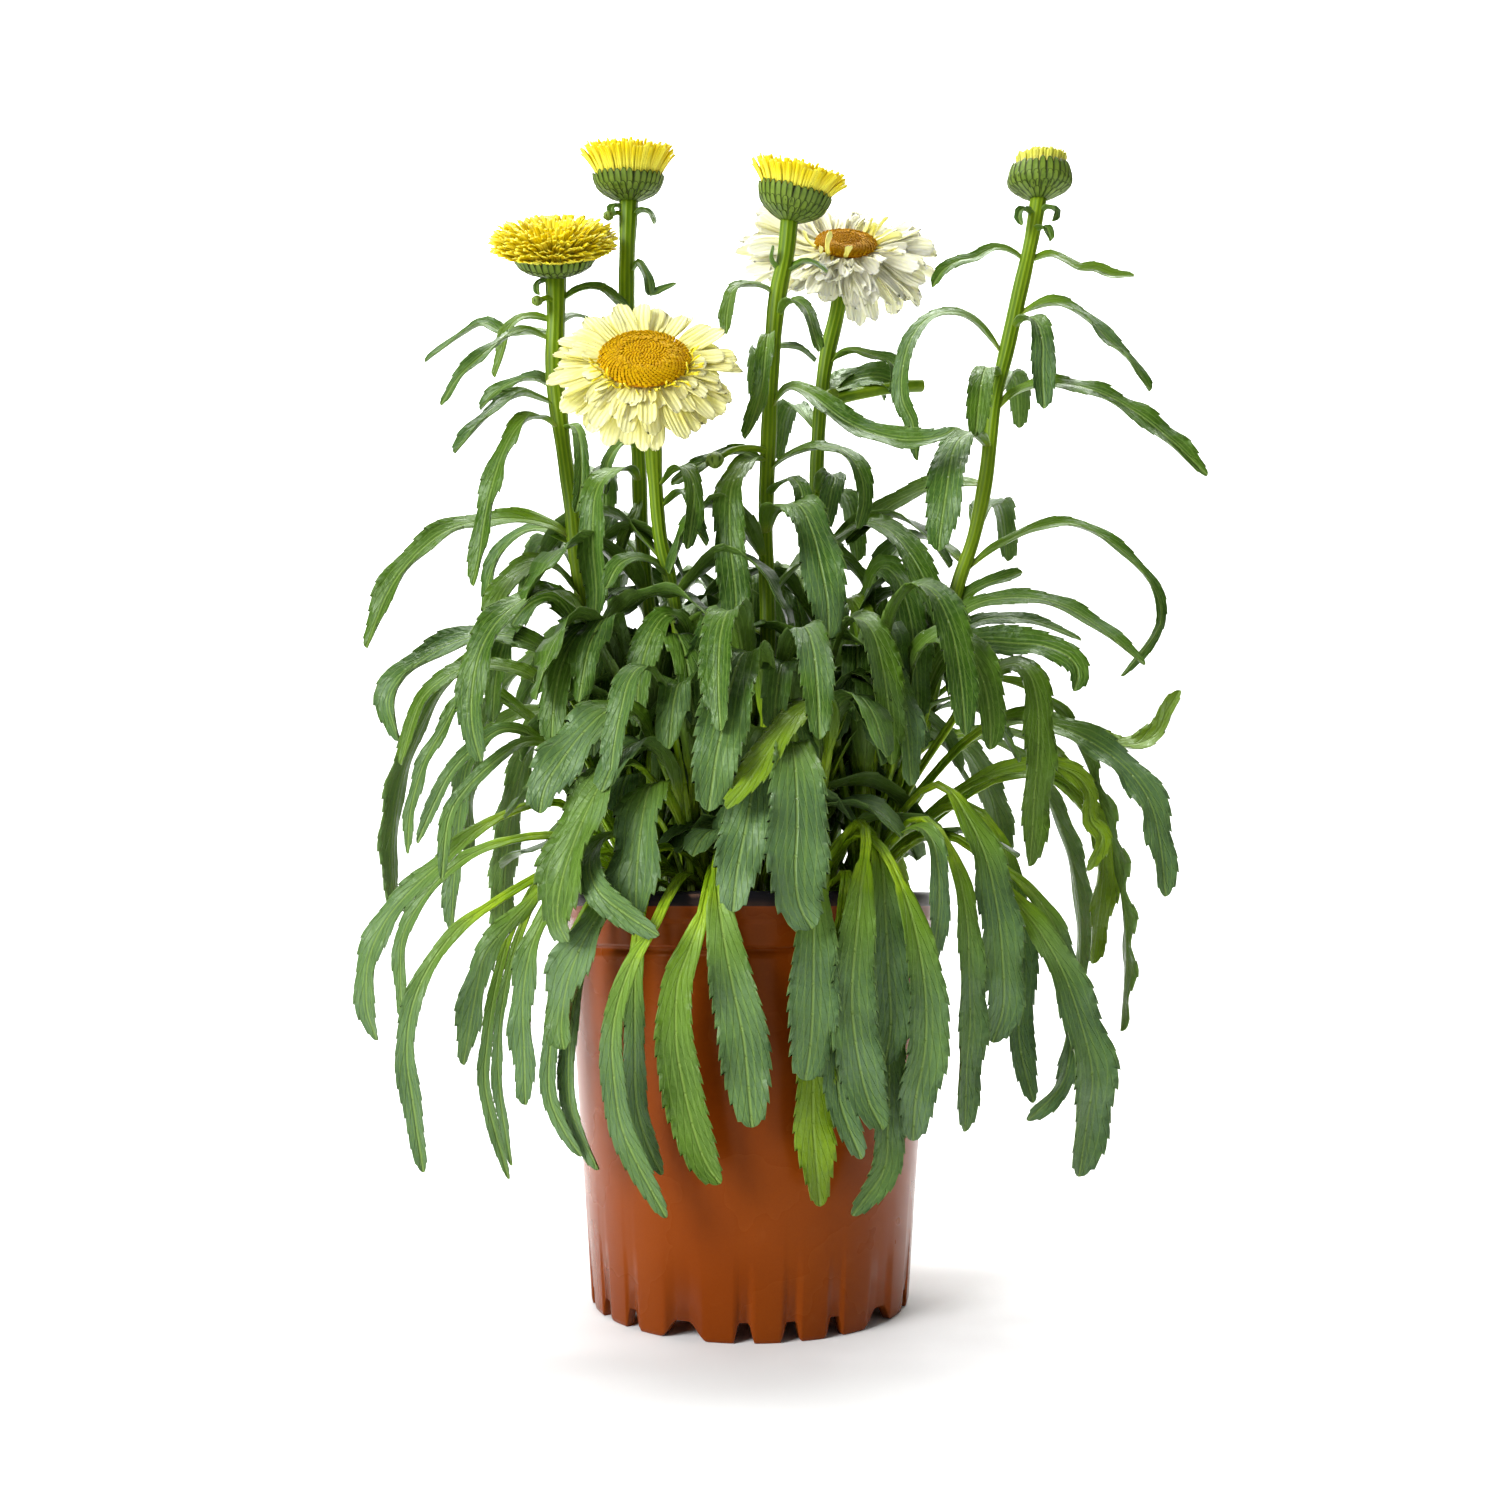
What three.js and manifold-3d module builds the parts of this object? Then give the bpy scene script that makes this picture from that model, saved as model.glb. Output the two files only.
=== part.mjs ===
// Potted shasta daisy: six flower stems and eight crowns of basal leaves in a round nursery pot.
// Millimetres, +Z up, origin on the pot's axis at the plane that it stands on, front towards -Y.

import * as THREE from 'three'
import { mergeVertices } from 'three/addons/utils/BufferGeometryUtils.js'
import Module from 'manifold-3d'

const wasm = await Module()
wasm.setup()

// Driving dimensions of the pot and its soil
const pot = {
  height: 180,
  footRadius: 70.5,
  bodyRadius: 83.4,
  rimRadius: 86,
  wall: 1.5,
  grooveHeight: 156,
  stepHeight: 167,
  floorHeight: 10.5,
  floorLift: 8.5,
  padRadius: 12,
  ringWidth: 5.5,
  ringSlope: 12,
  segments: 30
}
// Openings in the foot: arches in groups, and between two groups a wider cut-out
const drain = {
  groups: 5,
  firstGroup: 49.5,
  perGroup: 3,
  step: 15.5,
  width: 8.8,
  height: 8.2,
  slope: 2.6
}
const cutOut = { width: 21, height: 7.5, slope: 8 }
const archDepth = 16
const soil = {
  bottom: 12.4,
  top: 163,
  crown: 168,
  edgeGap: 0.35,
  sides: 20,
  moundRadius: 48,
  relief: 2.2
}
const gap = 0.35
const tolerance = 0.3

// The front elevation that the tables below are read from: the eye stands this far in front of the
// axis and this high, and every point is [across, up, depth], with across and up measured on the
// plane through the axis and depth counted from that plane, away from the eye
const eye = { distance: 633, height: 175 }

// Flower stems: the centre line from the head down to the soil, with the radius at both ends
const stems = {
  half_open: {
    top: 4.9,
    foot: 3.6,
    way: [[-95.5, 483, -14], [-95, 460, -14], [-95, 430, -14], [-91, 398.5, -13], [-85.5, 362, -12],
      [-81, 324, -10], [-71.5, 294, -9], [-64, 262, -8], [-50, 222, -5], [-35, 188, -2], [-28, 150, -1]]
  },
  left_bud: {
    top: 4.3,
    foot: 3.4,
    way: [[-60, 521.5, -5], [-60.5, 468, -6], [-57, 420, -6], [-54, 390, -5], [-52, 350, -4],
      [-46, 300, -2], [-34, 240, 1], [-19, 190, 4], [-12, 150, 5]]
  },
  cream_bloom: {
    top: 3.9,
    foot: 3.1,
    way: [[-51, 424, -46], [-49, 412, -38], [-47, 397, -32], [-46, 380, -29], [-43, 349, -25],
      [-37, 323, -22], [-32, 290, -20], [-24, 240, -18], [-14, 190, -16], [-9, 150, -15]]
  },
  middle_bud: {
    top: 4.3,
    foot: 3.6,
    way: [[19.5, 511.5, -14], [17.4, 491, -14], [13.5, 471, -14], [11, 445, -13], [9, 400, -13],
      [7.5, 355, -12], [8.5, 310, -12], [8.5, 265, -11], [8, 215, -10], [8, 150, -9]]
  },
  white_bloom: {
    top: 4.2,
    foot: 3.3,
    way: [[46, 484, 33], [42.5, 462, 33], [37.5, 440, 32], [34.5, 418, 31], [32, 379, 29],
      [32, 340, 27], [35, 300, 24], [38, 265, 21], [35, 230, 18], [26, 190, 14], [18, 150, 12]]
  },
  right_bud: {
    top: 3.9,
    foot: 3.4,
    way: [[143, 523, -2], [138.5, 499, -2], [131, 467.5, -3], [125, 442, -3], [118.5, 415, -4],
      [114, 380, -4], [107.5, 350, -4], [99, 325, -4], [90, 290, -3], [82, 258, -2], [67, 224, -1],
      [40, 180, 0], [27, 150, 0]]
  }
}

// A side shoot cut short: the stem that bears it, its radius and its way
const sideShoot = {
  stem: 'white_bloom',
  radius: 3.4,
  sides: 6,
  way: [[35, 417, 31], [52, 421, 33], [70, 424.5, 35], [85, 425.5, 37]]
}

// Flower heads: how far the face leans towards the eye and to the right, in degrees, the cup of
// bracts, and the rays as rings of [count, root radius, tip radius, tip height above the cup].
// Petals are layers of [count, length, lift, share of the droop], with the droop in degrees at the
// top, the sides and the bottom of the bloom
const heads = {
  half_open: {
    lean: 40,
    right: 0,
    cup: { radius: 19.6, height: 8.5, bracts: 10, open: true },
    rays: { colour: 0xf2cf26, rings: [[13, 15, 30, 10], [9, 11, 22.5, 15], [4, 6, 13, 17]] }
  },
  left_bud: {
    lean: 20,
    right: 0,
    cup: { radius: 17.2, height: 10, bracts: 8, open: true },
    rays: { colour: 0xf5d532, rings: [[12, 13, 21.6, 14], [7, 8.5, 14, 14], [3, 4.1, 7.4, 13.6]] }
  },
  middle_bud: {
    lean: 20,
    right: 13.5,
    cup: { radius: 18.4, height: 13, bracts: 8, open: true },
    rays: { colour: 0xf3d22a, rings: [[12, 14.2, 21.8, 10], [7, 9.5, 15, 10.4], [3, 4, 8, 10.2]] }
  },
  right_bud: {
    lean: 12,
    right: 2,
    cup: { radius: 14.8, height: 13, bracts: 8, open: true, closed: true },
    rays: { colour: 0xe9d24a, rings: [[11, 9.2, 11.6, 7.2], [5, 5.1, 7.2, 7.8]] }
  },
  cream_bloom: {
    lean: 58,
    right: 4,
    cup: { radius: 15.8, height: 10, bracts: 8 },
    petals: {
      colour: 0xf8f2c4,
      plate: 18.4,
      width: 11,
      spread: [[16, 28.5, 0.9, 1], [12, 24, 2.3, 0.72]],
      droop: [-14, 8, 40]
    },
    disc: { colour: 0xdc9c16, radius: 20.4, height: 6.4 }
  },
  white_bloom: {
    lean: 50,
    right: -4,
    cup: { radius: 14, height: 9, bracts: 8 },
    petals: {
      colour: 0xf1efe4,
      plate: 16.6,
      width: 11,
      spread: [[13, 38, 0.9, 1], [10, 33, 2.2, 0.7]],
      droop: [-8, 16, 52]
    },
    disc: { colour: 0xd08f1c, radius: 16, height: 5.4 }
  }
}

// Leaves that grow from a flower stem: [width, height of the root on the stem, way after it]
const stemLeaves = {
  half_open: [
    [6, 468, [-84.5, 475, -15], [-74, 475.5, -17], [-66, 470, -18], [-60.5, 464, -19],
      [-56.5, 454.5, -19]],
    [7, 458, [-105, 461, -16], [-113, 460, -18], [-119, 453, -20], [-121, 443, -22], [-125, 430, -23]],
    [7, 448, [-108, 454, -20], [-116, 453, -28], [-124, 447, -34], [-131, 441, -38], [-142, 430, -42],
      [-150.5, 416, -45]],
    [9, 452, [-108, 453, -6], [-120, 452, 0], [-131, 457, 4], [-140.5, 452, 7], [-150, 445, 9],
      [-159, 438, 10]],
    [5, 457, [-88, 461, -7], [-84, 461.5, -3], [-79, 460, 1]],
    [8, 424, [-104, 429, -7], [-113.5, 428, -3], [-124, 422, 0], [-131.5, 413.5, 3]],
    [10, 416, [-103, 420, -20], [-112, 421.5, -26], [-123.5, 415, -33], [-133.5, 404, -38],
      [-143.5, 392, -42]],
    [11, 403, [-100.5, 410, -22], [-110, 408, -32], [-118.6, 394.5, -42], [-124.5, 375.5, -48],
      [-128, 357, -50], [-130, 341, -50], [-133, 326, -49]],
    [7, 405, [-85, 405, -21], [-82, 395, -25], [-81.5, 375.5, -27], [-84, 362, -27]],
    [13, 349, [-96, 356, -14], [-114, 359, -18], [-134, 357, -24], [-149, 351, -30], [-163, 338, -35],
      [-173.5, 322, -39], [-183, 296, -42]],
    [10, 345, [-95, 353, -3], [-105, 354, 4], [-114, 350, 10], [-121, 340, 15], [-125.5, 326, 17],
      [-125, 306, 18]],
    [16, 320, [-91, 334, -20], [-103, 336.5, -30], [-114, 329, -38], [-121, 317, -43],
      [-123.5, 305, -45]],
    [14, 312, [-88, 321, -24], [-96, 325, -34], [-108, 319.5, -46], [-121, 308, -56], [-129, 292, -62],
      [-132, 272, -64], [-131, 256, -64], [-127, 241, -62]],
    [4, 478, [-101, 480, -16], [-105, 477, -19], [-104, 472, -21]],
    [12, 372, [-78, 382, 4], [-72, 384, 20], [-70, 376, 36], [-69, 358, 46]],
    [12, 332, [-88, 344, 8], [-96, 350, 24], [-104, 340, 38], [-108, 318, 46]]
  ],
  left_bud: [
    [5, 481, [-55.5, 489, -11], [-50.5, 481, -13], [-48.5, 472, -14], [-43, 475, -15],
      [-36.5, 478, -15]],
    [4, 516, [-66, 519, -8], [-69, 516, -11], [-67, 513, -13]],
    [5, 512, [-54, 516, -8], [-49, 514, -11], [-47, 509, -13]],
    [14, 376, [-58, 384, -14], [-67.5, 382, -24], [-74.5, 371, -31], [-75.5, 347, -34],
      [-73.5, 323, -34], [-75, 303, -32]],
    [6, 392, [-58, 398, -10], [-64, 395, -14], [-69, 386, -17], [-69.5, 371, -18]],
    [6, 370, [-55, 362, -12], [-60, 350, -17], [-63, 340, -19]],
    [11, 408, [-54, 416, 6], [-50, 417, 20], [-48, 405, 32], [-48, 385, 38]],
    [12, 350, [-60, 360, 8], [-66, 362, 24], [-70, 350, 36], [-72, 328, 42]]
  ],
  cream_bloom: [
    [7, 364, [-37, 371, -30], [-31, 373, -36], [-27, 365, -40], [-26, 356, -42], [-20.5, 346, -44]],
    [9, 374, [-38, 383, -34], [-31, 384, -41], [-27, 374, -45], [-28, 358, -47], [-30, 344, -47]],
    [9, 330, [-46, 338, -30], [-55, 340, -37], [-63, 336, -42], [-69, 325, -44]],
    [12, 296, [-25, 307, -30], [-18, 311, -38], [-20, 301, -47], [-25, 284, -53], [-27, 259, -55]]
  ],
  middle_bud: [
    [8, 471, [7.5, 476.5, -17], [-0.5, 477.5, -22], [-8, 475, -27], [-11, 464, -31], [-12, 452, -33]],
    [8, 459, [17, 467, -20], [22, 469, -26], [27.5, 464.5, -31], [30.5, 455, -34], [34, 443, -35]],
    [8, 446, [18, 446, -7], [25, 444, -1], [32, 438, 4]],
    [9, 447, [9, 452, -22], [7.5, 441, -28], [6, 426, -31], [1, 407.5, -32], [-3, 399, -32]],
    [12, 413, [14, 421, -19], [20, 425, -24], [29, 421.5, -29], [37, 414.5, -33], [47, 407, -37],
      [60.5, 401, -41], [75.5, 398, -46], [90.5, 399.5, -50], [99.5, 404, -52]],
    [8, 387, [0, 392, -17], [-10, 392, -21], [-22, 387, -26], [-30, 382, -29], [-38, 376, -31]],
    [14, 388, [1, 389, -22], [-5, 384, -30], [-9.5, 371, -35], [-9.5, 347, -38], [-7, 323, -38],
      [-6.5, 295, -36]],
    [4, 484, [11, 490, -18], [12, 497, -20]],
    [5, 483, [25, 489, -18], [30, 489, -21], [34, 487, -24], [38, 484, -26]],
    [11, 382, [15, 389, -19], [24, 393, -25], [34.5, 395, -31], [46, 392, -37], [53, 382, -41],
      [55, 369, -43], [52, 354, -43]],
    [9, 370, [14, 377, -21], [21, 379, -27], [25, 371, -31], [24, 361, -32]],
    [18, 350, [10, 361, -22], [16, 366, -31], [24, 365, -41], [30, 352, -49], [34, 335, -53],
      [37, 318, -54], [37.5, 300, -53]],
    [11, 430, [8, 440, 2], [6, 443, 16], [4, 432, 28], [4, 412, 34]],
    [13, 340, [2, 350, 2], [-4, 354, 16], [-8, 345, 30], [-10, 324, 38]]
  ],
  white_bloom: [
    [9, 436, [43, 441, 28], [51, 443.5, 23], [61, 440.5, 19], [69, 437, 15], [72, 428, 13],
      [72, 417, 12], [81, 402.5, 11]],
    [12, 418, [42, 427, 37], [51, 433, 43], [60, 430, 47], [66, 418, 49]],
    [10, 370, [36, 380, 18], [41, 380, 10], [39, 371, 4], [36, 354, 2]],
    [14, 343, [42, 351, 14], [55, 357, 3], [67, 353, -8], [77, 341, -16], [86.5, 322, -22],
      [93.5, 302, -26]],
    [11, 302, [42, 316, 12], [48, 320, 2], [53, 313, -9], [58, 300, -16], [61, 286, -20],
      [63, 270, -22]],
    [12, 402, [26, 412, 38], [20, 416, 50], [16, 406, 60], [14, 388, 65]],
    [13, 360, [40, 370, 40], [46, 372, 54], [50, 360, 66], [52, 338, 72]],
    [14, 318, [26, 330, 38], [20, 336, 54], [16, 326, 68], [14, 302, 76]]
  ],
  right_bud: [
    [7, 489, [129, 495, -5], [120, 496, -8], [110.5, 491, -11], [103, 489.5, -13], [95, 484.5, -15],
      [89.5, 476, -16]],
    [7, 489, [147.5, 493, -5], [155, 490, -9], [162, 485.5, -12], [170, 485, -14], [178, 482, -16],
      [189, 482, -18]],
    [4, 513, [136, 517, -8], [132.5, 513, -11], [134, 508, -12]],
    [4, 513, [147, 518, -6], [152, 515, -9], [150, 510, -11]],
    [5, 506, [146, 507, -11], [148.5, 500, -14]],
    [9, 461, [140, 466, -7], [152.5, 467.5, -12], [165, 460, -17], [175.5, 448.5, -21], [186, 438, -24],
      [195, 423, -26]],
    [11, 454, [134, 460, -12], [140, 458, -20], [143, 447, -26], [142.5, 432, -29], [143, 414, -30]],
    [11, 412, [127.5, 421.5, -8], [140, 426, -14], [156.5, 426, -21], [174.5, 420, -28],
      [190, 410, -33], [205, 397, -38], [221, 380.5, -42]],
    [9, 440, [118, 450, -6], [110, 459, -9], [100, 463, -13], [88, 460.5, -17], [79, 450, -20],
      [74.5, 435, -23], [74, 419, -25], [79, 406, -25], [80.5, 388, -25]],
    [11, 430, [116, 435, -15], [113, 428, -24], [111, 414, -29], [109.5, 400, -31]],
    [16, 394, [110, 401, -15], [103, 400, -26], [98, 391, -34], [94.5, 371, -40], [91.5, 352, -42],
      [90.5, 343, -42]],
    [14, 376, [105, 377, 0], [95, 377, 5], [82.5, 373, 11], [69, 366, 16], [57, 357, 20],
      [46, 347, 23]],
    [8, 332, [113, 342, -6], [123, 348, -8], [136, 354, -11], [151, 357, -14], [163, 354, -17],
      [174, 347, -20], [185, 337, -23], [193, 326, -25], [196.5, 313, -27], [193, 302, -28],
      [177, 282, -30]],
    [8, 314, [104, 322, -5], [113, 327, -6], [122, 330, -7], [130.5, 333, -8]],
    [12, 420, [124, 430, 10], [128, 433, 24], [130, 424, 36], [131, 404, 42]],
    [13, 352, [112, 364, 8], [118, 369, 22], [122, 360, 36], [124, 338, 44]]
  ]
}

// Basal leaves: the crown that they grow from, as its true place across and in depth, and its
// leaves as [width, way after the crown]
const crowns = {
  right: {
    at: [51, -15],
    leaves: [
      [11, [64, 205, -8], [80, 255, -12], [92, 298, -14], [100, 312, -16], [114, 319, -19],
        [135, 320, -24], [150, 316, -29], [162, 309, -33], [174, 300, -37], [188, 288, -41]],
      [9, [66, 205, 0], [80, 255, 4], [92, 292, 6], [101, 304, 7], [113, 310, 8], [130, 310, 10],
        [144.5, 306, 12], [158, 300, 14]],
      [14, [62, 205, -12], [76, 250, -20], [88, 284, -26], [99, 297, -30], [112, 299, -34],
        [126, 298, -38], [139, 297, -42], [151, 292, -45], [156, 284, -47], [154, 275, -48]],
      [16, [58, 205, -20], [67, 245, -30], [76, 285, -40], [86, 300, -46], [96, 300.5, -52],
        [105, 292, -57], [111, 279, -60], [113.5, 263, -61], [113.5, 247, -61]],
      [17, [70, 220, -14], [92, 256, -23], [110, 280, -31], [124, 288, -38], [132, 284, -43],
        [136, 270, -47], [136, 250, -49], [133.5, 224, -49], [131, 192, -47]],
      [17, [64, 205, -4], [86, 235, -4], [108, 256, -6], [130, 262, -9], [150.5, 256, -13],
        [166.5, 247, -17], [179, 236, -21], [188, 221.5, -24], [192, 203, -27], [194, 178, -28]],
      [16, [54, 225, -18], [60, 275, -16], [68, 312, -18], [78, 326, -24], [88, 322, -32],
        [96, 304, -38], [100, 280, -42], [102, 254, -44]],
      [15, [52, 225, -14], [52, 280, -9], [56, 318, -9], [62, 334, -15], [70, 330, -25], [76, 312, -34],
        [79, 288, -40], [80, 260, -43]],
      [12, [68, 208, 5], [92, 242, 11], [118, 259, 15], [140, 261, 18], [158, 254, 20], [172, 250, 22],
        [184, 250, 23], [193, 256, 24], [198, 266, 24], [204, 275.5, 24]],
      [9, [68, 200, -8], [98, 228, -12], [128, 240, -16], [148, 238, -19], [159, 228, -21],
        [160, 214, -22], [165, 205, -23], [158, 190, -23]],
      [16, [68, 196, 2], [96, 222, 4], [124, 236, 6], [146, 232, 6], [158, 218, 6], [164, 204, 6],
        [165, 189, 6], [162, 167, 6], [159, 147, 6]],
      [11, [62, 192, -16], [80, 206, -24], [96, 206, -30], [110, 197, -35], [124.5, 187, -39],
        [136.5, 174, -43], [145.5, 155, -46], [150, 132, -47], [148, 112, -47], [143, 92, -46],
        [127, 76, -44]],
      [21, [60, 192, -22], [78, 207, -34], [94, 207, -43], [111.5, 195, -50], [122, 179, -54],
        [134, 163, -57], [145, 143, -60], [153, 118, -60], [157, 96, -59], [154, 75, -58],
        [150, 51, -57]],
      [19, [60, 200, -24], [76, 224, -37], [90, 231, -47], [101, 217, -55], [110, 197, -61],
        [115, 173, -64], [117, 149, -65], [117, 128, -64], [112, 111, -63]],
      [13, [66, 195, -10], [86, 217, -16], [104, 221, -22], [117, 206, -27], [122, 187, -30],
        [125, 165, -32], [126, 143, -33], [124, 113, -33], [130, 84, -33]],
      [15, [56, 190, -28], [67, 207, -44], [78, 216, -56], [89, 209, -66], [97, 191, -72],
        [101, 168, -74], [101.5, 143, -73], [101.5, 121, -72], [99.5, 98, -70], [98.5, 71, -68]]
    ]
  },
  front_right: {
    at: [23, -37],
    leaves: [
      [9, [52, 190, -44], [68, 206, -58], [78, 211, -70], [85, 205, -78], [88, 191, -82],
        [88, 172, -81], [84, 143, -78]],
      [17, [38, 196, -50], [50, 208, -63], [61, 202, -75], [70, 185, -83], [77, 162, -86],
        [81, 134, -84], [80.5, 108, -82], [76, 86, -80], [74.5, 67, -79]],
      [16, [42, 200, -48], [53, 212, -62], [61, 196, -76], [63, 172, -84], [64, 146, -84],
        [65, 120, -82], [62, 101, -82]],
      [19, [40, 200, -54], [51, 214, -68], [54.5, 205, -82], [52, 184, -91], [49, 157, -94],
        [47, 132, -93], [49, 108, -91], [54, 86, -90], [61, 72, -90]],
      [20, [25, 192, -60], [29, 197, -80], [30, 183, -94], [29.5, 158, -99], [29, 132, -98],
        [28, 112, -97], [25.5, 94, -97]],
      [16, [26, 225, -38], [34, 270, -38], [42, 300, -42], [50, 310, -48], [58, 304, -56],
        [63, 286, -62], [66, 262, -66], [67, 240, -67]],
      [15, [28, 220, -40], [40, 256, -45], [52, 280, -52], [62, 286, -60], [70, 276, -68],
        [74, 256, -73], [76, 230, -75]],
      [24, [21, 205, -48], [20, 238, -64], [20, 251, -80], [21.5, 236, -94], [22, 212, -101],
        [21, 190, -105], [23, 174, -106], [29, 163, -106]],
      [16, [32, 188, -56], [35, 193, -76], [34, 178, -89], [31, 150, -91], [30, 120, -90],
        [29, 96, -89], [29, 73, -88], [31, 50, -87], [32, 38, -87]],
      [13, [48, 188, -48], [57, 194, -64], [62, 180, -76], [63, 150, -78], [64, 120, -76],
        [64, 90, -75], [63, 72, -75], [61, 54, -75], [46.5, 34, -78]],
      [12, [40, 186, -60], [45, 190, -76], [43, 172, -86], [40, 130, -86], [40, 100, -84],
        [42, 82, -83], [51, 59, -84]],
      [14, [30, 200, -42], [36, 240, -49], [38, 263, -56], [33, 271, -64], [25, 267, -72],
        [16.5, 258, -80], [6.5, 243, -88], [-2.5, 229.5, -94], [-11, 219.5, -98]]
    ]
  },
  front_middle: {
    at: [0, -33],
    leaves: [
      [20, [4, 205, -38], [7, 245, -48], [7, 275, -58], [4, 291, -67], [-3, 293, -76], [-8.5, 279, -85],
        [-12, 262, -91], [-16, 243, -95], [-19.5, 218, -98]],
      [15, [2, 230, -34], [-2, 280, -34], [-6, 308, -40], [-10, 314, -48], [-14, 302, -57],
        [-15, 280, -63], [-14, 256, -67]],
      [14, [4, 230, -32], [12, 275, -34], [20, 300, -40], [26, 306, -49], [30, 296, -58],
        [32, 276, -64], [33, 252, -67]],
      [19, [4, 200, -42], [7, 235, -56], [8, 257, -68], [5, 251, -80], [2, 232, -89], [-2, 210, -95],
        [-6, 190, -99], [-8, 171, -100]],
      [19, [-6, 192, -52], [-12, 203, -70], [-15.5, 193, -86], [-14.5, 175, -95], [-11.5, 155, -97],
        [-8, 137, -95], [-3, 113, -93], [-1, 94, -92], [1, 73, -92]],
      [16, [-10, 188, -50], [-15, 195, -68], [-19, 186, -83], [-22, 171, -91], [-28, 154, -92],
        [-33.5, 137, -91], [-34, 112, -89], [-31, 94, -88], [-26, 73, -87], [-20, 57, -87],
        [-13.5, 48, -89]]
    ]
  },
  front_left: {
    at: [-23, -35],
    leaves: [
      [10, [-25, 186, -58], [-31, 189, -74], [-39, 177, -87], [-46, 162, -94], [-54, 149, -93],
        [-60.5, 131, -91], [-63.5, 113, -89], [-62.5, 95, -87], [-59, 74, -85], [-51, 56, -85],
        [-38, 33, -87]],
      [9, [-32, 186, -54], [-42, 190, -70], [-50, 176, -82], [-53, 145, -83], [-53, 108, -81],
        [-52, 84, -79], [-47, 66, -78], [-40, 52, -79]],
      [17, [-24, 194, -50], [-36, 202, -60], [-48, 199, -70], [-59, 190, -77], [-67, 175, -82],
        [-77, 158, -83], [-84, 140, -81], [-87, 120, -80], [-86, 108, -81]],
      [9, [-34, 188, -48], [-49, 194, -60], [-64, 181, -70], [-76, 152, -73], [-82, 122, -71],
        [-83.5, 97, -70], [-81, 78, -69], [-69.5, 54, -70]],
      [7, [-38, 184, -43], [-60, 190, -53], [-77, 171, -61], [-88, 140, -64], [-92, 110, -63],
        [-92, 88, -62], [-86, 73, -62], [-77, 60, -62]],
      [22, [-28, 204, -47], [-42, 230, -61], [-56, 242, -73], [-67, 236, -83], [-76, 219, -90],
        [-83, 201, -93], [-88, 184, -94], [-89.5, 168, -93], [-85, 157, -93]],
      [23, [-28, 200, -45], [-38, 226, -55], [-46, 231, -66], [-50, 217, -76], [-52, 199, -82],
        [-53, 182, -84], [-53, 168, -85]],
      [11, [-38, 192, -42], [-55, 208, -58], [-68, 206, -74], [-75, 195, -88], [-71, 181, -96],
        [-58, 170, -101], [-42.5, 160, -104]],
      [15, [-22, 225, -40], [-24, 270, -36], [-30, 302, -36], [-38, 312, -40], [-46, 304, -46],
        [-52, 284, -50], [-54, 258, -52]],
      [14, [-20, 220, -36], [-16, 262, -32], [-13, 292, -32], [-15, 306, -38], [-20, 300, -46],
        [-24, 280, -52], [-26, 252, -56]],
      [12, [-26, 205, -42], [-34, 250, -52], [-42, 279, -62], [-50, 287, -70], [-57, 281, -77],
        [-61, 266, -82], [-64, 250, -84], [-66, 233, -85]],
      [20, [-28, 205, -40], [-40, 240, -52], [-53, 262, -62], [-66, 266, -70], [-78, 256, -77],
        [-88, 243, -82], [-96, 230, -85], [-99, 217, -86]]
    ]
  },
  left: {
    at: [-49, -13],
    leaves: [
      [17, [-62, 215, -8], [-78, 260, -12], [-94, 290, -16], [-110, 300, -20], [-126, 302, -24],
        [-141, 298, -28], [-154, 291, -32], [-166, 281, -35], [-171, 269, -36], [-166, 251, -36]],
      [11, [-62, 210, -16], [-80, 250, -24], [-98, 278, -30], [-118, 287, -36], [-136, 286, -41],
        [-148, 279, -45], [-157, 268, -47], [-165, 240, -48]],
      [8, [-64, 205, -2], [-84, 240, 2], [-106, 264, 5], [-124, 275, 7], [-137, 271, 9],
        [-145, 257, 10], [-154, 240, 12], [-159.5, 218, 13], [-160.5, 198, 13]],
      [7, [-62, 202, -20], [-80, 233, -29], [-100, 252, -36], [-116, 257, -41], [-129, 249, -45],
        [-141, 236, -48], [-149, 220, -50], [-156, 203, -51]],
      [7, [-58, 198, -26], [-76, 228, -36], [-92, 247, -44], [-106, 251, -50], [-121, 241, -55],
        [-134, 228, -58], [-141.5, 214, -60], [-144, 186, -61]],
      [16, [-54, 225, -22], [-60, 270, -29], [-68, 298, -37], [-77, 305, -45], [-86, 296, -52],
        [-92, 276, -56], [-94, 250, -58]],
      [15, [-52, 220, -20], [-51, 262, -24], [-54, 290, -32], [-60, 300, -42], [-68, 292, -50],
        [-72, 270, -56], [-74, 244, -60]],
      [14, [-55, 215, -6], [-67, 262, -4], [-80, 300, -6], [-92, 319, -10], [-104, 318, -15],
        [-114, 306, -20], [-120, 286, -24], [-122, 260, -26]],
      [13, [-62, 205, 4], [-74, 240, 10], [-90, 262, 14], [-106, 265, 18], [-122, 256, 21],
        [-133, 240, 23], [-136, 218, 24], [-138, 190, 25], [-139, 162, 25]],
      [13, [-60, 192, -14], [-76, 213, -20], [-92, 223, -26], [-110, 219, -32], [-128, 209, -38],
        [-144, 194, -43], [-159, 180, -47], [-170, 166, -50], [-177, 148, -51], [-177, 127, -51],
        [-172, 112, -49]],
      [9, [-60, 190, -6], [-76, 203, -9], [-96, 207, -12], [-118, 203, -15], [-136, 194, -17],
        [-151, 179, -19], [-161, 161, -20], [-162, 142, -20], [-160.5, 121, -19]],
      [9, [-56, 186, -22], [-72, 195, -32], [-88, 193, -40], [-104, 185, -47], [-120, 175, -53],
        [-135, 164, -58], [-148, 147, -62], [-156, 128, -64], [-158, 106, -63], [-154.5, 84, -62],
        [-149, 53, -60]],
      [13, [-58, 190, -16], [-73, 200, -24], [-88, 192, -31], [-103, 175, -38], [-115, 162, -43],
        [-123, 151, -46], [-126, 138, -47], [-132, 101, -45]],
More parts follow.
